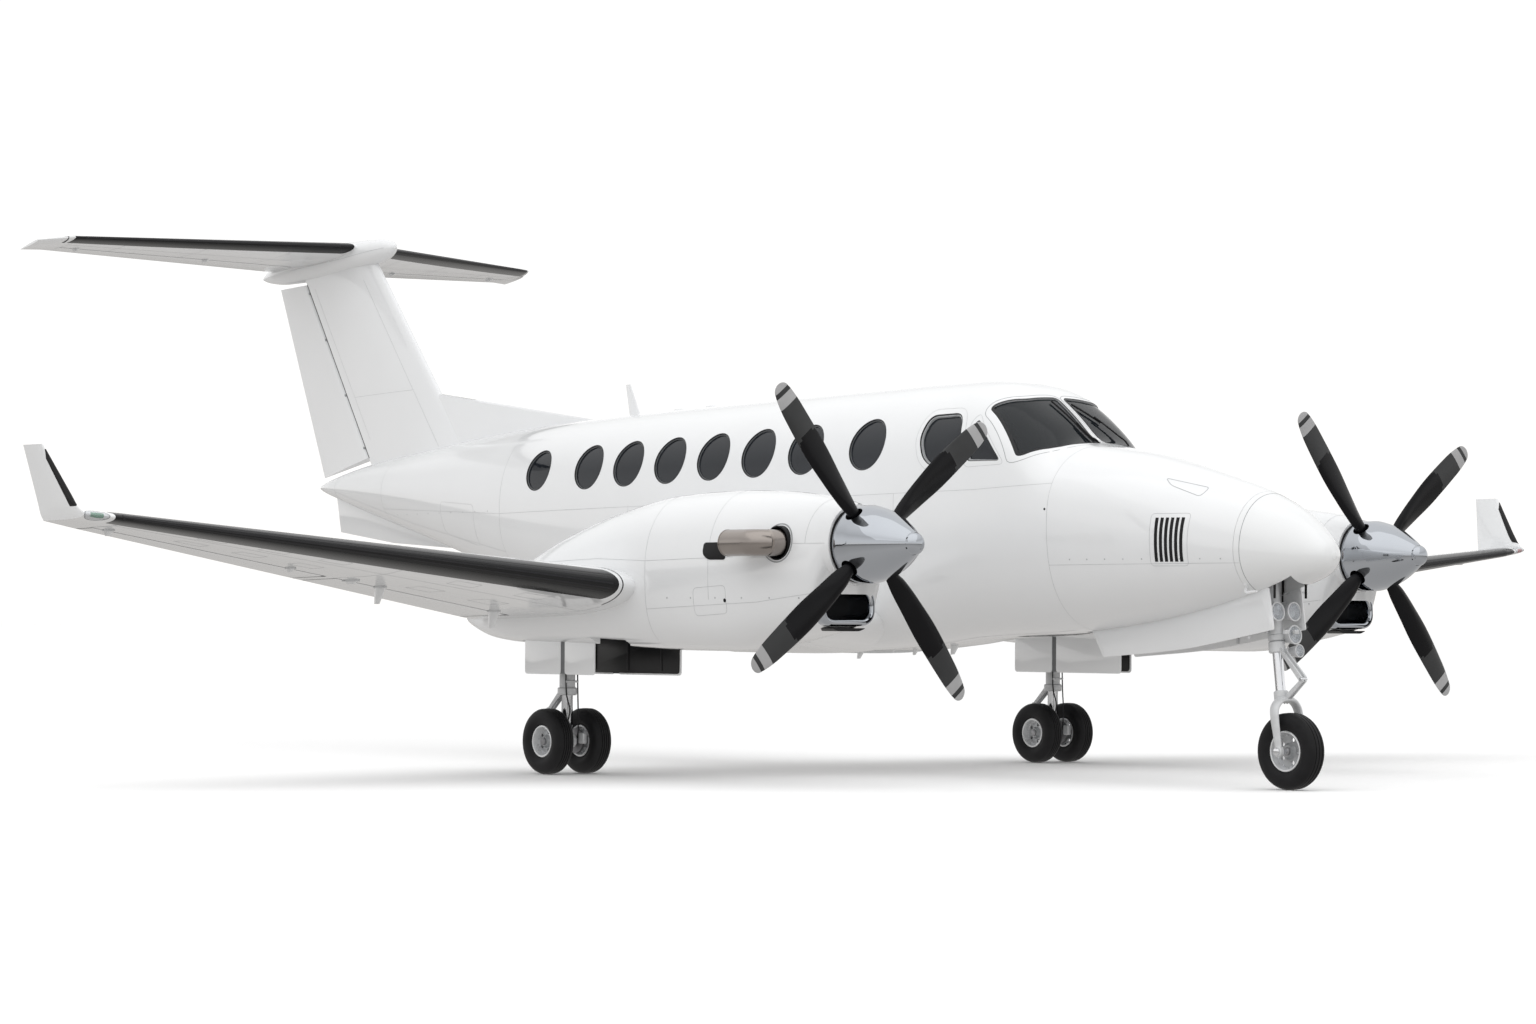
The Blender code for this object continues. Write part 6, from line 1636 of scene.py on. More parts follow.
def build_engine(side):
    """A plain turned core with fire seals, and the curved exhaust stacks."""
    word = side_word(side)
    core = turned(f"engine_core_{word}",
                  ((0, 0.05), (0.02, 0.20), (0.10, 0.225), (0.12, 0.235), (0.16, 0.235),
                   (0.18, 0.215), (0.60, 0.205), (0.62, 0.235), (0.66, 0.235), (0.68, 0.20),
                   (1.30, 0.19), (1.32, 0.235), (1.36, 0.235), (1.38, 0.17), (1.69, 0.15),
                   (1.695, 0.02)),
                  (side * ENGINE_X, -4.60, PROP_Z), (0, 1, 0), 48, "engine")
    place(core, AIRFRAME, "engine_steel", f"engine_{word}")
    shaft = rod(f"propeller_shaft_{word}", (side * ENGINE_X, PROP_Y + 0.021, PROP_Z),
                (side * ENGINE_X, -4.55, PROP_Z), 0.045, "engine", 32)
    place(shaft, AIRFRAME, "engine_steel")
    stacks = []
    for out in (1, -1):
        path = exhaust_line(side, out)
        stacks.append(tube("stack", path, EXHAUST_RADIUS, "steel", 48, 0.0045))
        inside = [p + (path[-2] - path[-1]).normalized() * 0.05 if k == len(path) - 1 else p
                  for k, p in enumerate(path)]
        stacks.append(tube("soot", inside, EXHAUST_RADIUS - 0.012, "black", 32))
        end = path[-1]
        stacks.append(turned("end_ring", ((-0.010, EXHAUST_RADIUS + 0.0015),
                                          (0.0, EXHAUST_RADIUS + 0.0015),
                                          (0.0, EXHAUST_RADIUS - 0.005),
                                          (-0.010, EXHAUST_RADIUS - 0.005)), end, (0, 1, 0), 48,
                             "steel", closed=True))
    place(joined(f"exhaust_stacks_{word}", stacks), AIRFRAME, "engine_steel")
    rims = []
    for out in (1, -1):
        middle = Vector((side * (ENGINE_X + out * 0.30), EXHAUST_Y + 0.012, EXHAUST_Z))
        rims.append(turned("shroud", ((0, EXHAUST_HOLE - 0.001), (0.07, EXHAUST_HOLE - 0.001),
                                      (0.07, EXHAUST_HOLE - 0.010), (0, EXHAUST_HOLE - 0.012)),
                           middle, (side * out, 0, 0), 48, "black", closed=True))
    place(joined(f"exhaust_shrouds_{word}", rims), AIRFRAME, "engine_steel")


VENT = ((-3.805, 1.600), (-3.620, 1.602), (-3.560, 1.640), (-3.560, 1.724), (-3.805, 1.724))


def vent_patch(shell, x, out):
    """A dark cooling outlet on the cowl, just behind the exhaust."""
    outline = np.array(rounded(VENT, 0.030, 6))
    centre = outline.mean(0)
    rings = []
    for scale, lift in ((1.0, -0.002), (1.0, 0.004), (0.94, 0.006)):
        pairs = centre + (outline - centre) * scale
        points, normals = shell.cast([(x, a, b) for a, b in pairs], (-out, 0, 0), 0.9)
        rings.append(points + normals * lift)
    return shade(loft("dark_patch", rings, "black"))


# Lines on each side of a nacelle, as y and z
COWL_LINES = (
    ((-4.72, 1.71), (-4.45, 1.71)),
    ((-3.88, 1.62), (FIREWALL_Y, 1.60)),
    ((-4.60, 1.36), (-4.10, 1.30), (FIREWALL_Y, 1.25)),
    ((FIREWALL_Y, 1.60), (-2.30, 1.62), (-1.60, 1.60)),
    closed_pairs(((-3.80, 1.42), (-3.45, 1.40), (-3.45, 1.20), (-3.80, 1.22)), 0.04),
)


def build_nacelle_lines(side, shell):
    word = side_word(side)
    dark, dots = [], []
    faint = [shell.round_at(-4.56, 12, 168), shell.round_at(FIREWALL_Y, -60, 240),
             shell.round_at(-3.62, -30, 210)]
    for out in (1, -1):
        faint += [shell.from_side(out, line) for line in COWL_LINES]
        for y in np.arange(-4.5, -2.9, 0.27):
            dots.append(shell.spot(out, y, 1.33))
        ring = circle(EXHAUST_Y + 0.012, EXHAUST_Z, EXHAUST_HOLE + 0.012, 48)
        dark.append(shell.from_side(out, closed_line(ring)))
    place(strips(f"nacelle_lines_{word}", faint, 0.0035, "faint_seam"))
    place(strips(f"exhaust_outline_{word}", dark, 0.010, "seam"))
    place(studs(f"nacelle_fasteners_{word}", dots, 0.007))
    spots, vents = [], []
    for out in (1, -1):
        spots.append(shell.spot(out, -3.789, 1.312))
        vents.append(vent_patch(shell, side * ENGINE_X + out * 0.9, out))
    place(joined(f"nacelle_vents_{word}", vents), AIRFRAME, "engine_steel")
    place(studs(f"nacelle_drains_{word}", spots, 0.014, "black", 20, 0.002))


# Propellers

# Bands near a blade's tip: share of radius where each starts, its material (0 black,
# 2 pale). The rubber boot (1) ends in a bow at 0.71.
BLADE_BANDS = ((0.966, 2), (0.935, 0), (0.882, 2))


def smooth_blade(count=70):
    """Rows of the blade: share of radius, chord, thickness, pitch, setback."""
    shares = np.concatenate([np.linspace(0.05, 0.93, count - 14),
                             1 - 0.07 * (1 - np.linspace(0, 1, 15)[1:]) ** 2])
    return shares, table_rows(BLADE, shares)


def blade_mesh(name, side, angle):
    a = math.radians(angle)
    out = np.array((math.cos(a), 0, math.sin(a)))
    travel = np.array((-math.sin(a), 0, math.cos(a)))
    centre = np.array((side * ENGINE_X, PROP_Y, PROP_Z))
    shares, (chord, thick, pitch, back) = smooth_blade()
    rings = []
    count = 28
    t = 2 * np.pi * np.arange(count) / count
    for k, share in enumerate(shares):
        p = math.radians(pitch[k])
        lead = travel * math.cos(p) + np.array((0, -1, 0)) * math.sin(p)
        face = np.cross(lead, out)
        round_share = max(0.0, min(1.0, (0.30 - share) / 0.10))
        tip = math.sqrt(max(0.0, 1 - ((share - 0.955) / 0.045) ** 2)) if share > 0.955 else 1.0
        width = chord[k] if share <= 0.955 else max(0.004, 0.134 * tip)
        across = np.cos(t) * width / 2
        # A section with a blunt nose and a sharp tail, round near the hub
        shape = np.sin(t) * ((1 + 0.55 * np.cos(t)) * (1 - round_share) + round_share)
        camber = (1 - np.cos(t) ** 2) * thick[k] * 0.25 * (1 - round_share)
        middle = centre + out * share * PROP_RADIUS - lead * back[k]
        rings.append(middle + np.outer(across, lead)
                     + np.outer(shape * thick[k] / 2 * max(tip, 0.25) - camber, face))
    kinds = []
    for k in range(len(shares) - 1):
        share = (shares[k] + shares[k + 1]) / 2
        for j in range(count):
            bow = 0.045 * abs(math.cos(2 * math.pi * (j + 0.5) / count)) ** 3
            kinds.append(next(kind for edge, kind in (*BLADE_BANDS, (0.71 - bow, 0), (0, 1))
                              if share > edge))
    return shade(loft(name, rings, ["blade", "blade_boot", "blade_band"], kinds=kinds), 40)


def spoke(angle):
    """The direction of a blade, from its angle in degrees."""
    turn = math.radians(angle)
    return Vector((math.cos(turn), 0, math.sin(turn)))


def build_propellers():
    angles = [180 - PROP_ANGLE, 90 - PROP_ANGLE, -PROP_ANGLE, -90 - PROP_ANGLE]
    for side in (1, -1):
        word = side_word(side)
        centre = Vector((side * ENGINE_X, PROP_Y, PROP_Z))
        parts = [turned("hub", ((-0.085, 0.06), (-0.08, 0.098), (0.08, 0.098), (0.085, 0.06)),
                        centre, (0, 1, 0), 48, "blade")]
        for angle in angles:
            parts.append(blade_mesh("blade", side, angle))
            parts.append(turned("cuff", ((0.09, 0.056), (0.18, 0.056), (0.185, 0.052),
                                         (0.235, 0.047), (0.24, 0.040)), centre,
                                spoke(angle), 32, "blade_boot"))
        place(joined(f"propeller_blades_{word}", parts), f"propeller_{word}", "blade_black",
              f"propeller_{word}")
        base = Vector((side * ENGINE_X, SPINNER_BASE_Y, PROP_Z))
        steps = np.concatenate([np.linspace(0, 0.56, 40), np.linspace(0.57, 0.626, 16)])
        radii = table_rows(SPINNER, steps)[0]
        radii = np.where(steps > 0.56, 0.0802 * np.sqrt(np.maximum(
            0, 1 - ((steps - 0.56) / 0.0665) ** 2)) + 0.0006, radii)
        spinner = turned(f"spinner_skin_{word}", list(zip(steps, radii)), base, (0, -1, 0), 96,
                         "chrome")
        cuts = [turned("space", ((-0.09, 0.112), (0.13, 0.112)), centre, (0, 1, 0), 48, "black")]
        for angle in angles:
            cuts.append(turned("hole", ((0.0, 0.062), (0.33, 0.066)), centre, spoke(angle), 40,
                               "black"))
        for cut in cuts:
            combine(spinner, cut)
        place(shade(spinner, 30), f"propeller_{word}", "polished_metal", f"spinner_{word}")
        plate = turned(f"spinner_backplate_{word}",
                       ((-0.0005, 0.05), (-0.0005, 0.266), (0.008, 0.268), (0.008, 0.05)), base,
                       (0, 1, 0), 96, "black", closed=True)
        place(plate, f"propeller_{word}", "blade_black")
        ring = turned(f"cowl_front_{word}",
                      ((0.0, 0.05), (0.0, 0.262), (-0.008, 0.264), (-0.008, 0.05)),
                      base + Vector((0, 0.030, 0)), (0, 1, 0), 96, "black", closed=True)
        place(ring, AIRFRAME, "engine_steel")


# Wheels and landing gear

def tyre_shape(radius, width, rim, grooves):
    """A tyre's closed cross-section as distance along the axle and radius."""
    w = width / 2
    depth = radius - rim
    outer = [(-0.66, 0.0), (-0.74, 0.03), (-0.80, 0.10), (-0.95, 0.24), (-0.998, 0.38),
             (-0.995, 0.50), (-0.965, 0.64), (-0.90, 0.77), (-0.80, 0.875), (-0.66, 0.945),
             (-0.52, 0.985)]
    tread = []
    for k in range(grooves):
        middle = -0.36 + 0.72 * k / (grooves - 1)
        crown = 1.0 - 0.02 * (middle / 0.5) ** 2
        tread += [(middle - 0.045, crown), (middle - 0.028, 0.945), (middle + 0.028, 0.945),
                  (middle + 0.045, crown)]
    right = [(-a, b) for a, b in outer[::-1]]
    inner = [(0.62, -0.02), (0.30, -0.03), (-0.30, -0.03), (-0.62, -0.02)]
    return [(a * w, rim + b * depth) for a, b in outer + tread + right + inner]


def tyre_mesh(name, centre, radius, width, rim, grooves, sides=128):
    return turned(name, tyre_shape(radius, width, rim, grooves), centre, (1, 0, 0), sides,
                  "tyre", angle=28, closed=True)


def rim_mesh(name, centre, width, rim, holes):
    """A cast wheel: a bright beaded edge, a sunken disc with round holes, and a hub."""
    w = width / 2
    half = [(0.66 * w, rim), (0.73 * w, rim - 0.002), (0.76 * w, rim - 0.008),
            (0.73 * w, rim - 0.014), (0.55 * w, rim - 0.019), (0.16 * w, rim - 0.026),
            (0.10 * w, rim * 0.72), (0.14 * w, rim * 0.42), (0.30 * w, rim * 0.34),
            (0.46 * w, rim * 0.30), (0.46 * w, 0.024)]
    profile = [(-a, r) for a, r in half] + half[::-1]
    kinds = [1 if r > rim - 0.020 else 0 for _, r in profile]
    body = turned("rim", profile, centre, (1, 0, 0), 96, ["alloy", "bead"], kinds=kinds,
                  closed=True, angle=25)
    centre = Vector(centre)
    cuts = []
    for t in around(holes, 0.5):
        middle = centre + Vector((0, math.cos(t), math.sin(t))) * rim * 0.575
        cuts.append(rod("hole", middle - Vector((w, 0, 0)), middle + Vector((w, 0, 0)),
                        rim * 0.120, "black", 24))
    combine(body, cuts)
    shade(body, 25)
    parts = [body]
    for side in (1, -1):
        face = centre + Vector((side * 0.46 * w, 0, 0))
        parts.append(turned("cap", ((0, 0.030), (0.012, 0.028), (0.018, 0.020), (0.020, 0.002)),
                            face, (side, 0, 0), 32, "engine"))
        for t in around(holes * 2, 0.25):
            spot = centre + Vector((side * 0.11 * w, rim * 0.78 * math.cos(t),
                                    rim * 0.78 * math.sin(t)))
            parts.append(turned("bolt", ((0, 0.006), (0.007, 0.006), (0.008, 0.004),
                                         (0.012, 0.004), (0.0125, 0.001)), spot, (side, 0, 0),
                                8, "piston"))
    return joined(name, parts)


# Pipes on a main leg and in its bay: distance beside the leg, ahead of it, height
BRAKE_LINE = ((0.052, 0.045, 1.06), (0.055, 0.052, 0.85), (0.055, 0.060, 0.62),
              (0.040, 0.085, 0.48), (0.060, 0.062, 0.34), (0.062, 0.050, 0.27))
BAY_HOSE = ((0.05, 0.05, 1.04), (0.11, 0.22, 1.09), (0.16, 0.60, 1.10), (0.12, 0.95, 1.105))


def build_main_gear(side):
    word = side_word(side)
    x = side * GEAR_X
    top_y, top_z = MAIN_TRUNNION
    half = MAIN_BAY[0]
    z = MAIN_TYRE[0]
    knee_y, knee_z = GEAR_Y + 0.205, 0.478
    legs = [rod("leg", (x, GEAR_Y, 0.60), (x, GEAR_Y, 1.104), 0.060, "gear", 40, 0.006),
            rod("collar", (x, GEAR_Y, 0.595), (x, GEAR_Y, 0.655), 0.074, "gear", 40, 0.008),
            rod("band", (x, GEAR_Y, 0.86), (x, GEAR_Y, 0.90), 0.066, "gear", 40, 0.005),
            rod("trunnion", (x - half + 0.001, top_y, top_z), (x + half - 0.001, top_y, top_z),
                0.029, "gear", 24),
            rod("piston", (x, GEAR_Y, z), (x, GEAR_Y, 0.60), 0.043, "piston", 40, 0.002),
            rod("boss", (x - 0.060, GEAR_Y, z), (x + 0.060, GEAR_Y, z), 0.052, "gear", 40,
                0.006),
            rod("knee", (x - 0.036, knee_y, knee_z), (x + 0.036, knee_y, knee_z), 0.020,
                "gear", 24),
            rod("brace", (x, GEAR_Y, 0.78), (x, GEAR_Y - 0.295, 1.066), 0.019, "gear", 24),
            rod("brace_collar", (x, GEAR_Y - 0.02, 0.80), (x, GEAR_Y - 0.09, 0.868), 0.026,
                "gear", 24)]
    for out in (1, -1):
        legs.append(prism("upper_link", ((GEAR_Y + 0.045, 0.600), (knee_y - 0.004, knee_z - 0.014),
                                         (knee_y + 0.011, knee_z + 0.011),
                                         (GEAR_Y + 0.050, 0.650)), "X", x + out * 0.012,
                          x + out * 0.027, "gear", 0.003))
        legs.append(prism("lower_link", ((GEAR_Y + 0.030, 0.312), (GEAR_Y + 0.040, 0.275),
                                         (knee_y + 0.012, knee_z - 0.006),
                                         (knee_y - 0.010, knee_z + 0.008)), "X",
                          x + out * 0.006, x + out * 0.020, "gear", 0.003))
    legs.append(prism("link_web", ((GEAR_Y + 0.09, 0.575), (GEAR_Y + 0.12, 0.548),
                                   (GEAR_Y + 0.135, 0.560), (GEAR_Y + 0.105, 0.590)), "X",
                      x - 0.014, x + 0.014, "gear", 0.002))
    for out in (1, -1):
        line = [(x + out * away, GEAR_Y - ahead, height) for away, ahead, height in BRAKE_LINE]
        legs.append(tube("brake_line", line, 0.0055, "seal", 10))
    for height in (0.70, 0.94):
        legs.append(box("clip", (x - 0.060, GEAR_Y - 0.066, height - 0.008),
                        (x + 0.060, GEAR_Y - 0.044, height + 0.008), "gear", 0.004))
    place(joined(f"main_strut_{word}", legs), AIRFRAME, "gear_grey", f"main_leg_{word}")

    for out, where in ((1, "outer"), (-1, "inner")):
        centre = (x + side * out * TWIN_SPACING / 2, GEAR_Y, z)
        place(tyre_mesh(f"main_rubber_{where}_{word}", centre, *MAIN_TYRE, 4),
              f"main_wheels_{word}", "tyre_black", f"main_tyre_{where}_{word}")
    rims = [rod("axle", (x - 0.055, GEAR_Y, z), (x + 0.055, GEAR_Y, z), 0.0205, "piston", 24)]
    for out in (1, -1):
        centre = (x + side * out * TWIN_SPACING / 2, GEAR_Y, z)
        rims.append(rod("stub", (centre[0] - 0.05, GEAR_Y, z), (centre[0] + 0.05, GEAR_Y, z),
                        0.0205, "piston", 24))
        rims.append(rim_mesh("rim", centre, MAIN_TYRE[1], MAIN_TYRE[2], 5))
        rims.append(turned("disc", ((-0.010, 0.030), (-0.010, 0.094), (0.010, 0.094),
                                    (0.010, 0.030)),
                           (x + side * out * 0.088, GEAR_Y, z), (1, 0, 0), 48, "engine",
                           closed=True))
    place(joined(f"main_wheel_rims_{word}", rims), f"main_wheels_{word}", "wheel_alloy",
          f"main_rims_{word}")
    callipers = []
    for out in (1, -1):
        callipers.append(box("calliper", (x + side * out * 0.062, GEAR_Y - 0.118, z - 0.020),
                             (x + side * out * 0.105, GEAR_Y - 0.058, z + 0.062), "gear", 0.010))
    place(joined(f"brakes_{word}", callipers), AIRFRAME, "gear_grey")

    doors = [box("beam", (x - half + 0.001, GEAR_Y - 0.32, 1.052),
                 (x + half - 0.001, GEAR_Y - 0.28, 1.088), "gear", 0.004)]
    bottom, top = MAIN_DOOR_Z
    split = -1.64
    for out, front in MAIN_DOORS:
        inward = -side * out
        wall = x - inward * (half - 0.0004)
        inner = wall + inward * 0.011
        for first, last in ((front, split - 0.025), (split + 0.025, MAIN_DOOR_Y)):
            outline = rounded(((first, top), (first, bottom), (last, bottom), (last, top)),
                              0.030, 6)
            doors.append(prism("door", outline, "X", wall, inner, "paint", 0.002))
        doors.append(prism("door_joint", ((split - 0.04, top), (split - 0.04, bottom + 0.006),
                                          (split + 0.04, bottom + 0.006), (split + 0.04, top)),
                           "X", wall + inward * 0.004, inner, "rubber_grey"))
        frame_line = rounded(((front + 0.012, top - 0.01), (front + 0.012, bottom + 0.012),
                              (MAIN_DOOR_Y - 0.012, bottom + 0.012),
                              (MAIN_DOOR_Y - 0.012, top - 0.01)), 0.03, 5)
        doors.append(prism("panel", frame_line, "X", inner, inner + inward * 0.006,
                           "door_inside", 0.002))
        for y in np.linspace(front + 0.22, MAIN_DOOR_Y - 0.22, 3):
            doors.append(box("rib", (inner, y - 0.010, bottom + 0.03),
                             (inner + inward * 0.012, y + 0.010, top - 0.03), "door_inside",
                             0.003))
        hinge_x = inner + inward * 0.010
        doors.append(rod("hinge", (hinge_x, front + 0.04, top - 0.010),
                         (hinge_x, MAIN_DOOR_Y - 0.04, top - 0.010), 0.007, "gear", 16))
    place(joined(f"main_gear_doors_{word}", doors), AIRFRAME, "white_paint",
          f"main_doors_{word}")
    details = []
    for out in (1, -1):
        line = [(x + out * away, GEAR_Y - ahead, height) for away, ahead, height in BAY_HOSE]
        details.append(tube("hose", line, 0.008, "seal", 10))
    for y in (-2.25, -1.95, -1.55):
        details.append(box("rib", (x - half + 0.004, y - 0.012, 1.070),
                           (x + half - 0.004, y + 0.012, 1.115), "bay", 0.004))
    details.append(rod("actuator", (x - 0.10, -2.30, 1.04), (x - 0.10, -1.70, 1.06), 0.024,
                       "gear", 24))
    details.append(rod("ram", (x - 0.10, -1.72, 1.06), (x - 0.10, -1.45, 1.07), 0.012,
                       "piston", 20))
    place(joined(f"main_bay_fittings_{word}", details), AIRFRAME, "gear_grey")


def nose_point(height, ahead=0.0, x=0.0):
    """A point beside the nose strut's axis, which leans aft towards its top."""
    foot = Vector((0, NOSE_WHEEL_Y + 0.045, NOSE_TYRE[0]))
    axis = Vector((0, math.sin(NOSE_RAKE), math.cos(NOSE_RAKE)))
    front = Vector((0, -math.cos(NOSE_RAKE), math.sin(NOSE_RAKE)))
    return foot + axis * height + front * ahead + Vector((x, 0, 0))


def lamp_shape(name, x, height, scale):
    """A round landing lamp: housing, bezel, reflector and a clear front."""
    start = nose_point(height, 0.020, x)
    axis = nose_point(height, 0.155, x) - start

    def sized(profile):
        return [(along, radius * scale) for along, radius in profile]

    housing = turned(name, sized(((0, 0.030), (0.012, 0.044), (0.050, 0.052), (0.080, 0.060),
                                  (0.098, 0.064), (0.100, 0.062), (0.100, 0.054),
                                  (0.092, 0.052), (0.064, 0.038), (0.048, 0.012),
                                  (0.047, 0.001))), start, axis, 48,
                     ["gear", "lamp"], kinds=[0] * 7 + [1] * 3)
    glass = turned(name, sized(((0.092, 0.0525), (0.0965, 0.0525), (0.099, 0.030),
                                (0.0995, 0.001))), start, axis, 48, "lens")
    bulb = turned(name, sized(((0.048, 0.006), (0.070, 0.008), (0.075, 0.003))), start, axis, 16,
                  "lamp")
    return [housing, glass, bulb]


# One side of the nose fork: distance from the middle, aft of the axle, height, half width
FORK = ((0.000, 0.052, 0.636, 0.044), (0.050, 0.052, 0.632, 0.043), (0.092, 0.050, 0.608, 0.041),
        (0.120, 0.046, 0.565, 0.039), (0.128, 0.036, 0.500, 0.037), (0.128, 0.018, 0.400, 0.034),
        (0.127, 0.004, 0.310, 0.032), (0.126, -0.002, 0.245, 0.026))


def fork_arm(side, y):
    """A cast arm that arches over the tyre and comes down to the axle."""
    rows = np.array(FORK)
    line = smooth_line(rows[:, :3], 0.012)
    spots = np.array([tuple(p) for p in line])
    reach = np.linspace(0, len(FORK) - 1, len(spots))
    rings = []
    for k, (x, back, height) in enumerate(spots):
        way = spots[min(k + 1, len(spots) - 1)] - spots[max(k - 1, 0)]
        across = np.array((way[2], 0, -way[0])) / (math.hypot(way[0], way[2]) + 1e-9)
        half = np.interp(reach[k], range(len(FORK)), rows[:, 3])
        thick = 0.024 - 0.008 * min(1.0, k / len(spots) * 1.5)
        ring = []
        for a in around(24):
            spot = np.array((x, y + back, height)) + across * thick * math.cos(a)
            ring.append((side * spot[0], spot[1] + half * math.sin(a), spot[2]))
        rings.append(ring)
    return shade(loft("arm", rings, "gear"), 50)


# Torque links of the nose leg: name, distances from the middle, corners as height
# along the strut and distance ahead of it
NOSE_LINKS = (
    ("upper_link", 0.014, 0.030,
     ((0.745, 0.045), (0.500, 0.235), (0.475, 0.205), (0.700, 0.045))),
    ("lower_link", 0.006, 0.022,
     ((0.500, 0.232), (0.470, 0.235), (0.330, 0.035), (0.375, 0.030))),
)


def build_nose_gear():
    half = NOSE_BAY[0]
    cross = nose_point(1.33)
    parts = [rod("leg", nose_point(0.782), nose_point(1.36), 0.052, "gear", 40, 0.006),
             rod("band", nose_point(0.785), nose_point(0.83), 0.058, "gear", 40, 0.005),
             rod("band", nose_point(1.02), nose_point(1.05), 0.057, "gear", 40, 0.005),
             rod("trunnion", (-half + 0.001, cross.y, cross.z), (half - 0.001, cross.y, cross.z),
                 0.027, "gear", 24),
             rod("light_bar", nose_point(0.98, 0.03, -0.12), nose_point(0.98, 0.03, 0.12), 0.019,
                 "gear", 24)]
    for x, height in ((-0.085, 0.98), (0.085, 0.98), (0.072, 0.815)):
        parts += lamp_shape("lamp", x, height, 1.1)
    parts.append(tube("wire", [nose_point(0.98, -0.03, 0.05), nose_point(1.06, -0.06, 0.05),
                               nose_point(1.2, -0.05, 0.045), nose_point(1.33, -0.04, 0.03)],
                      0.006, "seal", 10))
    for side in (-1, 1):
        parts.append(rod("steer", nose_point(0.84, -0.03, side * 0.060),
                         nose_point(0.99, -0.035, side * 0.060), 0.016, "gear", 20))
        parts.append(box("steer_lug", (side * 0.030, cross.y - 0.22, 1.10),
                         (side * 0.070, cross.y - 0.19, 1.13), "gear", 0.003))
    place(joined("nose_strut", parts), AIRFRAME, "gear_grey", "nose_leg")

    y, z = NOSE_WHEEL_Y, NOSE_TYRE[0]
    parts = [rod("piston", nose_point(0.355), nose_point(0.775), 0.036, "piston", 40, 0.002),
             rod("collar", nose_point(0.70), nose_point(0.7792), 0.060, "gear", 40, 0.006),
             rod("stem", nose_point(0.345), nose_point(0.43), 0.052, "gear", 40, 0.010)]
    parts += lamp_shape("taxi_lamp", 0.105, 0.700, 0.75)
    parts.append(rod("lamp_arm", nose_point(0.715, 0.0, 0.045), nose_point(0.700, 0.045, 0.100),
                     0.012, "gear", 16))
    for side in (1, -1):
        parts.append(fork_arm(side, y))
        parts.append(rod("boss", (side * 0.108, y, z), (side * 0.145, y, z), 0.040, "gear", 32,
                         0.005))
        parts.append(turned("axle_nut", ((0.0, 0.030), (0.008, 0.030), (0.010, 0.020)),
                            (side * 0.144, y, z), (side, 0, 0), 6, "piston"))
        for name, near, far, corners in NOSE_LINKS:
            outline = [tuple(nose_point(height, ahead)[1:]) for height, ahead in corners]
            parts.append(prism(name, outline, "X", side * near, side * far, "gear", 0.003))
    parts.append(rod("link_pin", nose_point(0.488, 0.222, -0.034), nose_point(0.488, 0.222, 0.034),
                     0.012, "piston", 16))
    parts.append(rod("axle", (-0.135, y, z), (0.135, y, z), 0.020, "piston", 24))
    place(joined("nose_fork_arms", parts), "nose_steering", "gear_grey", "nose_fork")
    place(tyre_mesh("nose_rubber", (0, y, z), *NOSE_TYRE, 3), "nose_wheel", "tyre_black",
          "nose_tyre")
    place(rim_mesh("nose_wheel_rim", (0, y, z), NOSE_TYRE[1], NOSE_TYRE[2], 5), "nose_wheel",
          "wheel_alloy", "nose_rim")

    doors = [rod("tie", (-half + 0.005, *NOSE_TIE), (half - 0.005, *NOSE_TIE), 0.009, "gear",
                 20)]
    edges = [smooth_line([(*p, 0) for p in corners], 0.05)
             for corners in (NOSE_DOOR[1:4], NOSE_DOOR[4:] + NOSE_DOOR[:1])]
    outline = rounded([(p[0], p[1]) for edge in edges for p in edge], 0.012, 3)
    for side in (1, -1):
        wall = side * (half - 0.0004)
        inner = wall - side * 0.009
        doors.append(prism("door", outline, "X", wall, inner, "paint", 0.0015))
        for y in (-6.15, -5.75, -5.35, -4.95):
            bottom = 1.02 + (abs(y + 5.5) ** 2) * 0.10
            doors.append(box("rib", (inner, y - 0.010, bottom),
                             (inner - side * 0.012, y + 0.010, bottom + 0.14), "gear", 0.003))
        for y in (-6.20, -5.60, -5.00):
            top = 1.10 + abs(y + 5.0) * 0.16
            doors.append(box("hinge", (inner, y - 0.02, top - 0.02),
                             (inner - side * 0.016, y + 0.02, top + 0.035), "gear", 0.004))
    place(joined("nose_gear_doors", doors), AIRFRAME, "white_paint", "nose_doors")
    details = []
    for side in (1, -1):
        for y in np.arange(-6.40, -4.60, 0.22):
            foot = 1.16 + 0.16 * max(0, -y - 5.2)
            details.append(box("frame", (side * (half - 0.001), y - 0.008, foot),
                               (side * (half - 0.014), y + 0.008, 1.70), "bay", 0.003))
    details.append(rod("actuator", (0.04, -5.60, 1.55), (0.04, -4.90, 1.30), 0.028, "gear", 24))
    details.append(rod("ram", (0.04, -5.95, 1.62), (0.04, -5.58, 1.545), 0.014, "piston", 20))
    details.append(tube("hose", [(-0.06, -6.05, 1.45), (-0.08, -5.70, 1.60), (-0.09, -5.2, 1.5),
                                 (-0.06, -4.7, 1.3)], 0.009, "seal", 10))
    place(joined("nose_bay_fittings", details), AIRFRAME, "gear_grey")


# Cabin

SEAT_ROWS = (-3.85, -2.75, -1.75, -0.75, 0.35)
SEAT_X = 0.36
SEAT_WIDTH = 0.46


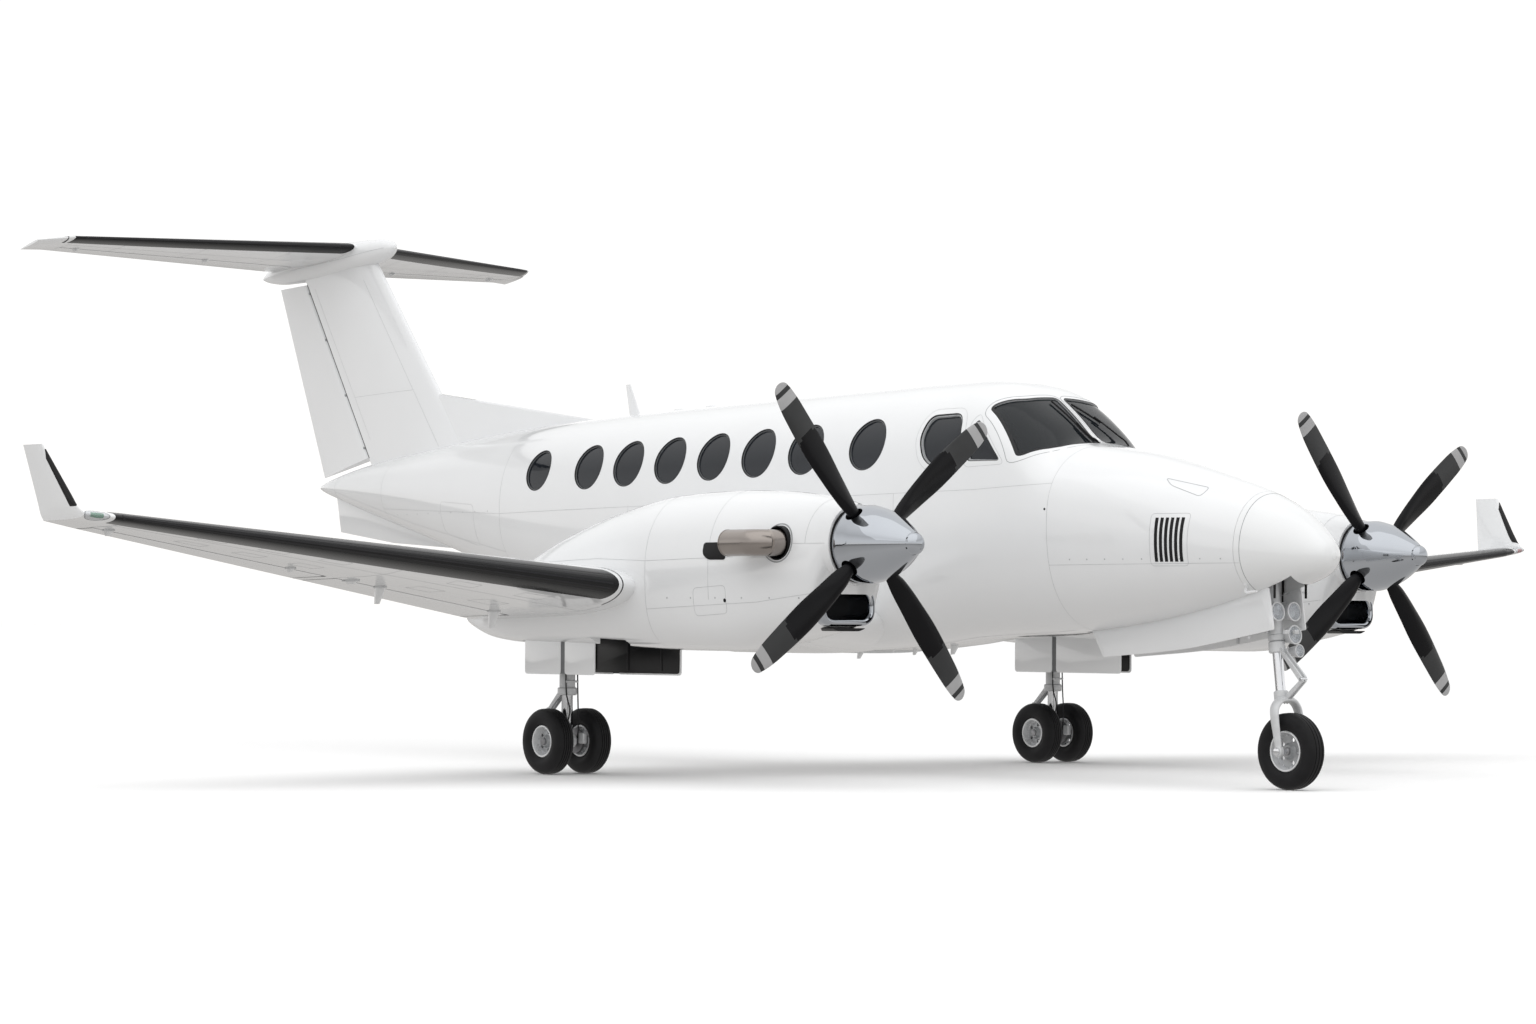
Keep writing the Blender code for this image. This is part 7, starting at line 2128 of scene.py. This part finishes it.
def cushion(name, size, centre, lean=0.0, crown=0.35):
    """A padded block: a crowned form whose sides pull in between its corners."""
    bm = bmesh.new()
    bmesh.ops.create_cube(bm, size=1.0)
    bmesh.ops.subdivide_edges(bm, edges=bm.edges[:], cuts=5, use_grid_fill=True)
    width, depth, height = size
    for vert in bm.verts:
        a, b, c = (2 * v for v in vert.co)
        pull = 1 - 0.05 * (1 - c * c)
        swell = (1 - a ** 4) * (1 - b ** 4)
        x = a * (1 - 0.05 * (1 - b * b)) * pull
        y = b * (1 - 0.05 * (1 - a * a)) * pull
        z = c * (0.72 + crown * swell)
        channel = 0.07 * math.exp(-((abs(a) - 0.33) / 0.05) ** 2) * (1 if c > 0 else 0)
        vert.co = (x * width / 2, y * depth / 2, (z - channel * swell) * height / 2)
    turn = Matrix.Rotation(lean, 4, "X")
    bmesh.ops.transform(bm, matrix=Matrix.Translation(Vector(centre)) @ turn, verts=bm.verts)
    obj = from_bmesh(name, bm, "leather")
    mod = obj.modifiers.new("smooth", "SUBSURF")
    mod.levels = mod.render_levels = 2
    bake(obj)
    obj.data.shade_smooth()
    return obj


def build_seats():
    pads, frames = [], []
    for index, front in enumerate(SEAT_ROWS):
        for side in (1, -1):
            if index == len(SEAT_ROWS) - 1 and side > 0:
                continue
            x = side * SEAT_X
            pads.append(cushion("pad", (SEAT_WIDTH - 0.05, 0.43, 0.15),
                                (x, front + 0.225, FLOOR_Z + 0.335)))
            pads.append(cushion("back", (SEAT_WIDTH - 0.05, 0.60, 0.10),
                                (x, front + 0.455, FLOOR_Z + 0.68), math.radians(80)))
            pads.append(cushion("head", (SEAT_WIDTH - 0.18, 0.16, 0.08),
                                (x, front + 0.505, FLOOR_Z + 0.955), math.radians(80), 0.5))
            frames.append(prism("shell", [(front + a, FLOOR_Z + b) for a, b in
                                          ((0.02, 0.22), (0.44, 0.20), (0.545, 0.98),
                                           (0.53, 1.0), (0.50, 0.90), (0.41, 0.27),
                                           (0.04, 0.27))], "X", x - SEAT_WIDTH / 2 + 0.006,
                                x + SEAT_WIDTH / 2 - 0.006, "trim", 0.006))
            for rail in (-0.12, 0.12):
                frames.append(box("rail", (x + rail - 0.015, front + 0.05, FLOOR_Z + 0.001),
                                  (x + rail + 0.015, front + 0.42, FLOOR_Z + 0.23), "gear", 0.006))
            spot = x - side * (SEAT_WIDTH / 2 - 0.025)
            frames.append(box("arm", (spot - 0.020, front + 0.10, FLOOR_Z + 0.50),
                              (spot + 0.020, front + 0.42, FLOOR_Z + 0.535), "trim", 0.010))
    seats = joined("seat_cushions", pads)
    place(seats, AIRFRAME, "seat_leather", "seats")
    place(joined("seat_frames", frames), AIRFRAME, "cabin_trim")


def build_cockpit():
    rows = stations(-4.60, 2.06, 0.10)
    floor = loft("cabin_floor_skin", HULL_SHELL.rings(rows, 96, -HULL_WALL - 0.002), "trim")
    combine(floor, box("slab", (-1, -5, FLOOR_Z - 0.030), (1, 3, FLOOR_Z)), "INTERSECT")
    combine(floor, [bay_block("bay"), door_block(RUNNING_GAP + 0.002, "door")])
    place(shade(floor), AIRFRAME, "cabin_trim", "cabin_floor")
    panel = loft("panel", HULL_SHELL.rings(stations(-4.45, -4.15, 0.05), 96,
                                           -HULL_WALL - 0.003), "trim")
    combine(panel, box("block", (-0.70, -4.40, FLOOR_Z), (0.70, -4.22, 2.30), "trim", 0.015),
            "INTERSECT")
    spaces = [box("feet", (side * 0.38 - 0.22, -4.5, FLOOR_Z + 0.001),
                  (side * 0.38 + 0.22, -4.1, FLOOR_Z + 0.42)) for side in (1, -1)]
    combine(panel, spaces)
    parts = [shade(panel)]
    for x in (-0.38, 0.0, 0.38):
        parts.append(box("screen", (x - 0.15, -4.221, 1.98), (x + 0.15, -4.213, 2.20), "glass",
                         0.003))
        parts.append(box("bezel", (x - 0.165, -4.222, 1.965), (x + 0.165, -4.216, 2.215),
                         "black", 0.003))
    parts.append(box("console", (-0.11, -4.24, FLOOR_Z + 0.002), (0.11, -3.95, 1.90), "trim",
                     0.02))
    for k in (-1, 0, 1):
        parts.append(rod("lever", (k * 0.045, -4.06, 1.89), (k * 0.045, -4.03, 2.00), 0.008,
                         "black", 12))
        parts.append(rod("knob", (k * 0.045, -4.032, 1.99), (k * 0.045, -4.024, 2.03), 0.015,
                         "gear", 16))
    for side in (1, -1):
        x = side * 0.38
        parts.append(rod("column", (x, -4.22, 1.86), (x, -4.08, 1.90), 0.016, "trim", 16))
        yoke = [(x + away, -4.07, z) for away, z in
                ((-0.13, 2.02), (-0.14, 1.93), (-0.05, 1.89), (0.05, 1.89), (0.14, 1.93),
                 (0.13, 2.02))]
        parts.append(tube("yoke", yoke, 0.013, "black", 12))
    place(joined("instrument_panel_fittings", parts), AIRFRAME, "cabin_trim",
          "instrument_panel")
    hood = loft("glareshield", HULL_SHELL.rings(stations(-4.52, -4.14, 0.03), 96,
                                                -HULL_WALL - 0.006), "black")
    combine(hood, box("hood", (-0.72, -4.50, 2.30), (0.72, -4.16, 2.345), "black", 0.015),
            "INTERSECT")
    place(shade(hood), AIRFRAME, "cabin_trim")


# Small details

def on_top(x, y, way=1):
    points, normals = HULL_SHELL.from_above([(x, y), (x, y + 0.001)], way)
    return Vector(points[0]), Vector(normals[0])


def blade_antenna(name, foot, up, height, length, sweep, mats="paint"):
    """A swept, tapered fin with a thin section."""
    aft = Vector((0, 1, 0))
    aft = (aft - up * aft.dot(up)).normalized()
    side = up.cross(aft)
    rings = []
    for t in np.linspace(0, 1, 9):
        chord = length * (1 - 0.55 * t)
        middle = foot + up * (height * t - 0.006) + aft * (sweep * t)
        half = 0.010 * (1 - 0.5 * t)
        ring = []
        for a in around(24):
            ring.append(middle + aft * (chord / 2 * math.cos(a))
                        + side * (half * math.sin(a) * (1 - 0.35 * math.cos(a))))
        rings.append(ring)
    return shade(loft(name, rings, mats), 50)


# Low fins under the belly: place along the hull, length, height
BELLY_FINS = ((-1.26, 0.17, 0.030), (-1.83, 0.09, 0.070), (-2.21, 0.04, 0.020),
              (-2.47, 0.07, 0.045), (-2.92, 0.10, 0.070))


def build_antennas():
    foot, up = on_top(0.0, 1.08)
    parts = [blade_antenna("blade", foot, up, 0.28, 0.15, 0.09)]
    for y in (0.449, 0.031):
        foot, up = on_top(0.0, y)
        parts.append(turned("disc", ((-0.004, 0.070), (0.008, 0.070), (0.017, 0.060),
                                     (0.023, 0.025), (0.024, 0.001)), foot, up, 32, "paint"))
    for y, length, height in BELLY_FINS:
        foot, up = on_top(0.0, y, -1)
        parts.append(blade_antenna("belly_fin", foot, up, height, length, height * 0.5))
    place(joined("antennas", parts))
    probes = []
    for side in (1, -1):
        foot, normal = HULL_SHELL.spot(side, -6.200, 1.425)
        out = foot + normal * 0.050
        pad = box("pitot_foot", (-0.012, -0.045, -0.004), (0.012, 0.045, 0.004), "paint", 0.003)
        turn = normal.to_track_quat("Z", "Y").to_matrix().to_4x4()
        pad.data.transform(Matrix.Translation(foot) @ turn)
        probes.append(pad)
        probes.append(tube("pitot", [foot - normal * 0.004, foot + normal * 0.030,
                                     out + Vector((0, -0.02, 0.004)),
                                     out + Vector((0, -0.05, 0.008))], 0.012, "paint", 16))
        probes.append(rod("pitot_head", out + Vector((0, -0.045, 0.008)),
                          out + Vector((0, -0.115, 0.014)), 0.012, "paint", 20, 0.002, 0.008))
    place(joined("probes", probes))
    spots = [HULL_SHELL.spot(side, -4.597, 2.00) for side in (1, -1)]
    place(studs("side_drains", spots, 0.009, "black", 20, 0.0012))
    foot, up = on_top(0.0, 0.40, -1)
    beacon = turned("belly_beacon", ((-0.004, 0.045), (0.008, 0.045), (0.012, 0.038),
                                     (0.040, 0.034), (0.055, 0.020), (0.059, 0.001)), foot, up,
                    32, ["gear", "red_lens"], kinds=[0, 0, 1, 1, 1])
    place(beacon, AIRFRAME, "dark_glass")


# Ends of each wiper's blade and arm, in the windshield's sloping plane
WIPERS = (
    (((-0.135, 0.500), (-0.055, -0.015)), ((-0.062, -0.050), (-0.090, 0.220))),
    (((0.048, 0.470), (0.189, 0.250)), ((0.320, 0.010), (0.150, 0.300))),
)


def build_wipers():
    """A wiper lying on each pane, on an arm from the foot of the windshield."""
    parts = []
    for blade_line, arm in WIPERS:
        points, _ = on_pane(np.linspace(*blade_line, 14), 0.006)
        parts.append(tube("wiper_blade", points, 0.0075, "black", 8))
        points, _ = on_pane(np.linspace(*arm, 8), 0.018)
        points[0] -= OUT_SLOPE * 0.02
        parts.append(tube("wiper_arm", points, 0.006, "black", 8))
    place(joined("windshield_wipers", parts), AIRFRAME, "cabin_trim")


def build_louvre():
    """Six upright dark slots on each side of the nose."""
    (first, low), (last, _), (_, high), _ = LOUVRE
    pitch = (last - first) / 6
    lines = []
    for side in (1, -1):
        for k in range(6):
            y = first + pitch * (k + 0.5)
            lines.append(HULL_SHELL.from_side(side, [(y, low), (y, high)]))
    place(strips("nose_louvre_slots", lines, pitch * 0.62, "black", 0.0014), AIRFRAME,
          "cabin_trim")


# Floor, light and camera

def studio_floor():
    """A wide pale floor. It takes the airplane's shadow and doesn't tint its underside."""
    mat = bpy.data.materials.new("studio_floor")
    mat.use_nodes = True
    nodes, links = mat.node_tree.nodes, mat.node_tree.links
    shader = nodes["Principled BSDF"]
    noise = nodes.new("ShaderNodeTexNoise")
    noise.inputs["Scale"].default_value = 0.15
    ramp = nodes.new("ShaderNodeValToRGB")
    ramp.color_ramp.elements[0].color = (0.93, 0.93, 0.93, 1)
    ramp.color_ramp.elements[1].color = (0.96, 0.96, 0.96, 1)
    links.new(noise.outputs["Fac"], ramp.inputs["Fac"])
    links.new(ramp.outputs["Color"], shader.inputs["Base Color"])
    shader.inputs["Roughness"].default_value = 0.8
    shader.inputs["Specular IOR Level"].default_value = 0.0
    size = 600.0
    corners = [(a * size, b * size, -0.002) for a, b in ((-1, -1), (1, -1), (1, 1), (-1, 1))]
    floor = new_object("floor", corners, [(0, 1, 2, 3)], [])
    floor.data.materials.append(mat)
    floor.visible_diffuse = False
    floor.visible_glossy = False


def area_light(name, place_at, aim, size, power):
    data = bpy.data.lights.new(name, "AREA")
    data.shape = "RECTANGLE"
    data.size, data.size_y = size
    data.energy = power
    light = bpy.data.objects.new(name, data)
    bpy.context.scene.collection.objects.link(light)
    light.location = place_at
    way = Vector(aim) - Vector(place_at)
    light.rotation_mode = "QUATERNION"
    light.rotation_quaternion = way.to_track_quat("-Z", "Y")


# Brightness of the surroundings by height, from straight below (0) to overhead (1)
SURROUNDINGS = ((0.00, 0.56), (0.30, 0.62), (0.44, 0.52), (0.485, 0.30), (0.4935, 0.12),
                (0.4965, 1.00), (0.56, 1.00), (0.60, 0.96), (0.68, 0.78), (0.80, 1.00),
                (1.00, 1.10))


def build_stage():
    studio_floor()
    world = bpy.data.worlds.new("studio")
    bpy.context.scene.world = world
    world.use_nodes = True
    nodes, links = world.node_tree.nodes, world.node_tree.links
    background = nodes["Background"]
    coordinates = nodes.new("ShaderNodeTexCoord")
    split = nodes.new("ShaderNodeSeparateXYZ")
    links.new(coordinates.outputs["Generated"], split.inputs["Vector"])
    height = nodes.new("ShaderNodeMapRange")
    height.inputs["From Min"].default_value = -1.0
    links.new(split.outputs["Z"], height.inputs["Value"])
    ramp = nodes.new("ShaderNodeValToRGB")
    elements = ramp.color_ramp.elements
    for rise, level in SURROUNDINGS:
        element = {0.0: elements[0], 1.0: elements[len(elements) - 1]}.get(rise)
        element = element or elements.new(rise)
        warm = 1.0 if rise > 0.4975 else 0.955
        element.color = (level, level * (1 + warm) / 2, level * warm, 1)
    links.new(height.outputs["Result"], ramp.inputs["Fac"])
    links.new(ramp.outputs["Color"], background.inputs["Color"])
    background.inputs["Strength"].default_value = 1.08
    area_light("overhead", (-6.0, -8.0, 14.0), (0, -1, 1.5), (26.0, 26.0), 800.0)
    scene = bpy.context.scene
    scene.view_settings.view_transform = "Standard"
    scene.view_settings.look = "None"
    scene.view_settings.exposure = 0.0


CAMERA_PLACE = Vector((-21.486, -26.083, 1.159))
CAMERA_YAW = math.radians(40.215)
CAMERA_PITCH = math.radians(1.547)
CAMERA_ROLL = math.radians(0.373)
CAMERA_LENS = 95.73


def build_camera():
    data = bpy.data.cameras.new("camera")
    data.sensor_width = 36.0
    data.lens = CAMERA_LENS
    data.clip_end = 1500.0
    camera = bpy.data.objects.new("camera", data)
    bpy.context.scene.collection.objects.link(camera)
    ahead = Vector((math.sin(CAMERA_YAW) * math.cos(CAMERA_PITCH),
                    math.cos(CAMERA_YAW) * math.cos(CAMERA_PITCH), math.sin(CAMERA_PITCH)))
    level = Vector((math.cos(CAMERA_YAW), -math.sin(CAMERA_YAW), 0))
    rise = level.cross(ahead)
    right = level * math.cos(CAMERA_ROLL) + rise * math.sin(CAMERA_ROLL)
    up = rise * math.cos(CAMERA_ROLL) - level * math.sin(CAMERA_ROLL)
    turn = Matrix((right, up, -ahead)).transposed().to_4x4()
    camera.matrix_world = Matrix.Translation(CAMERA_PLACE) @ turn
    bpy.context.scene.camera = camera


build_camera()
build_stage()
build_fuselage()
build_windows()
build_hull_lines()
build_door()
build_wings()
build_tailplane()
build_fin()
build_nacelles()
build_propellers()
for gear_side in (1, -1):
    build_main_gear(gear_side)
build_nose_gear()
build_seats()
build_cockpit()
build_antennas()
build_wipers()
build_louvre()
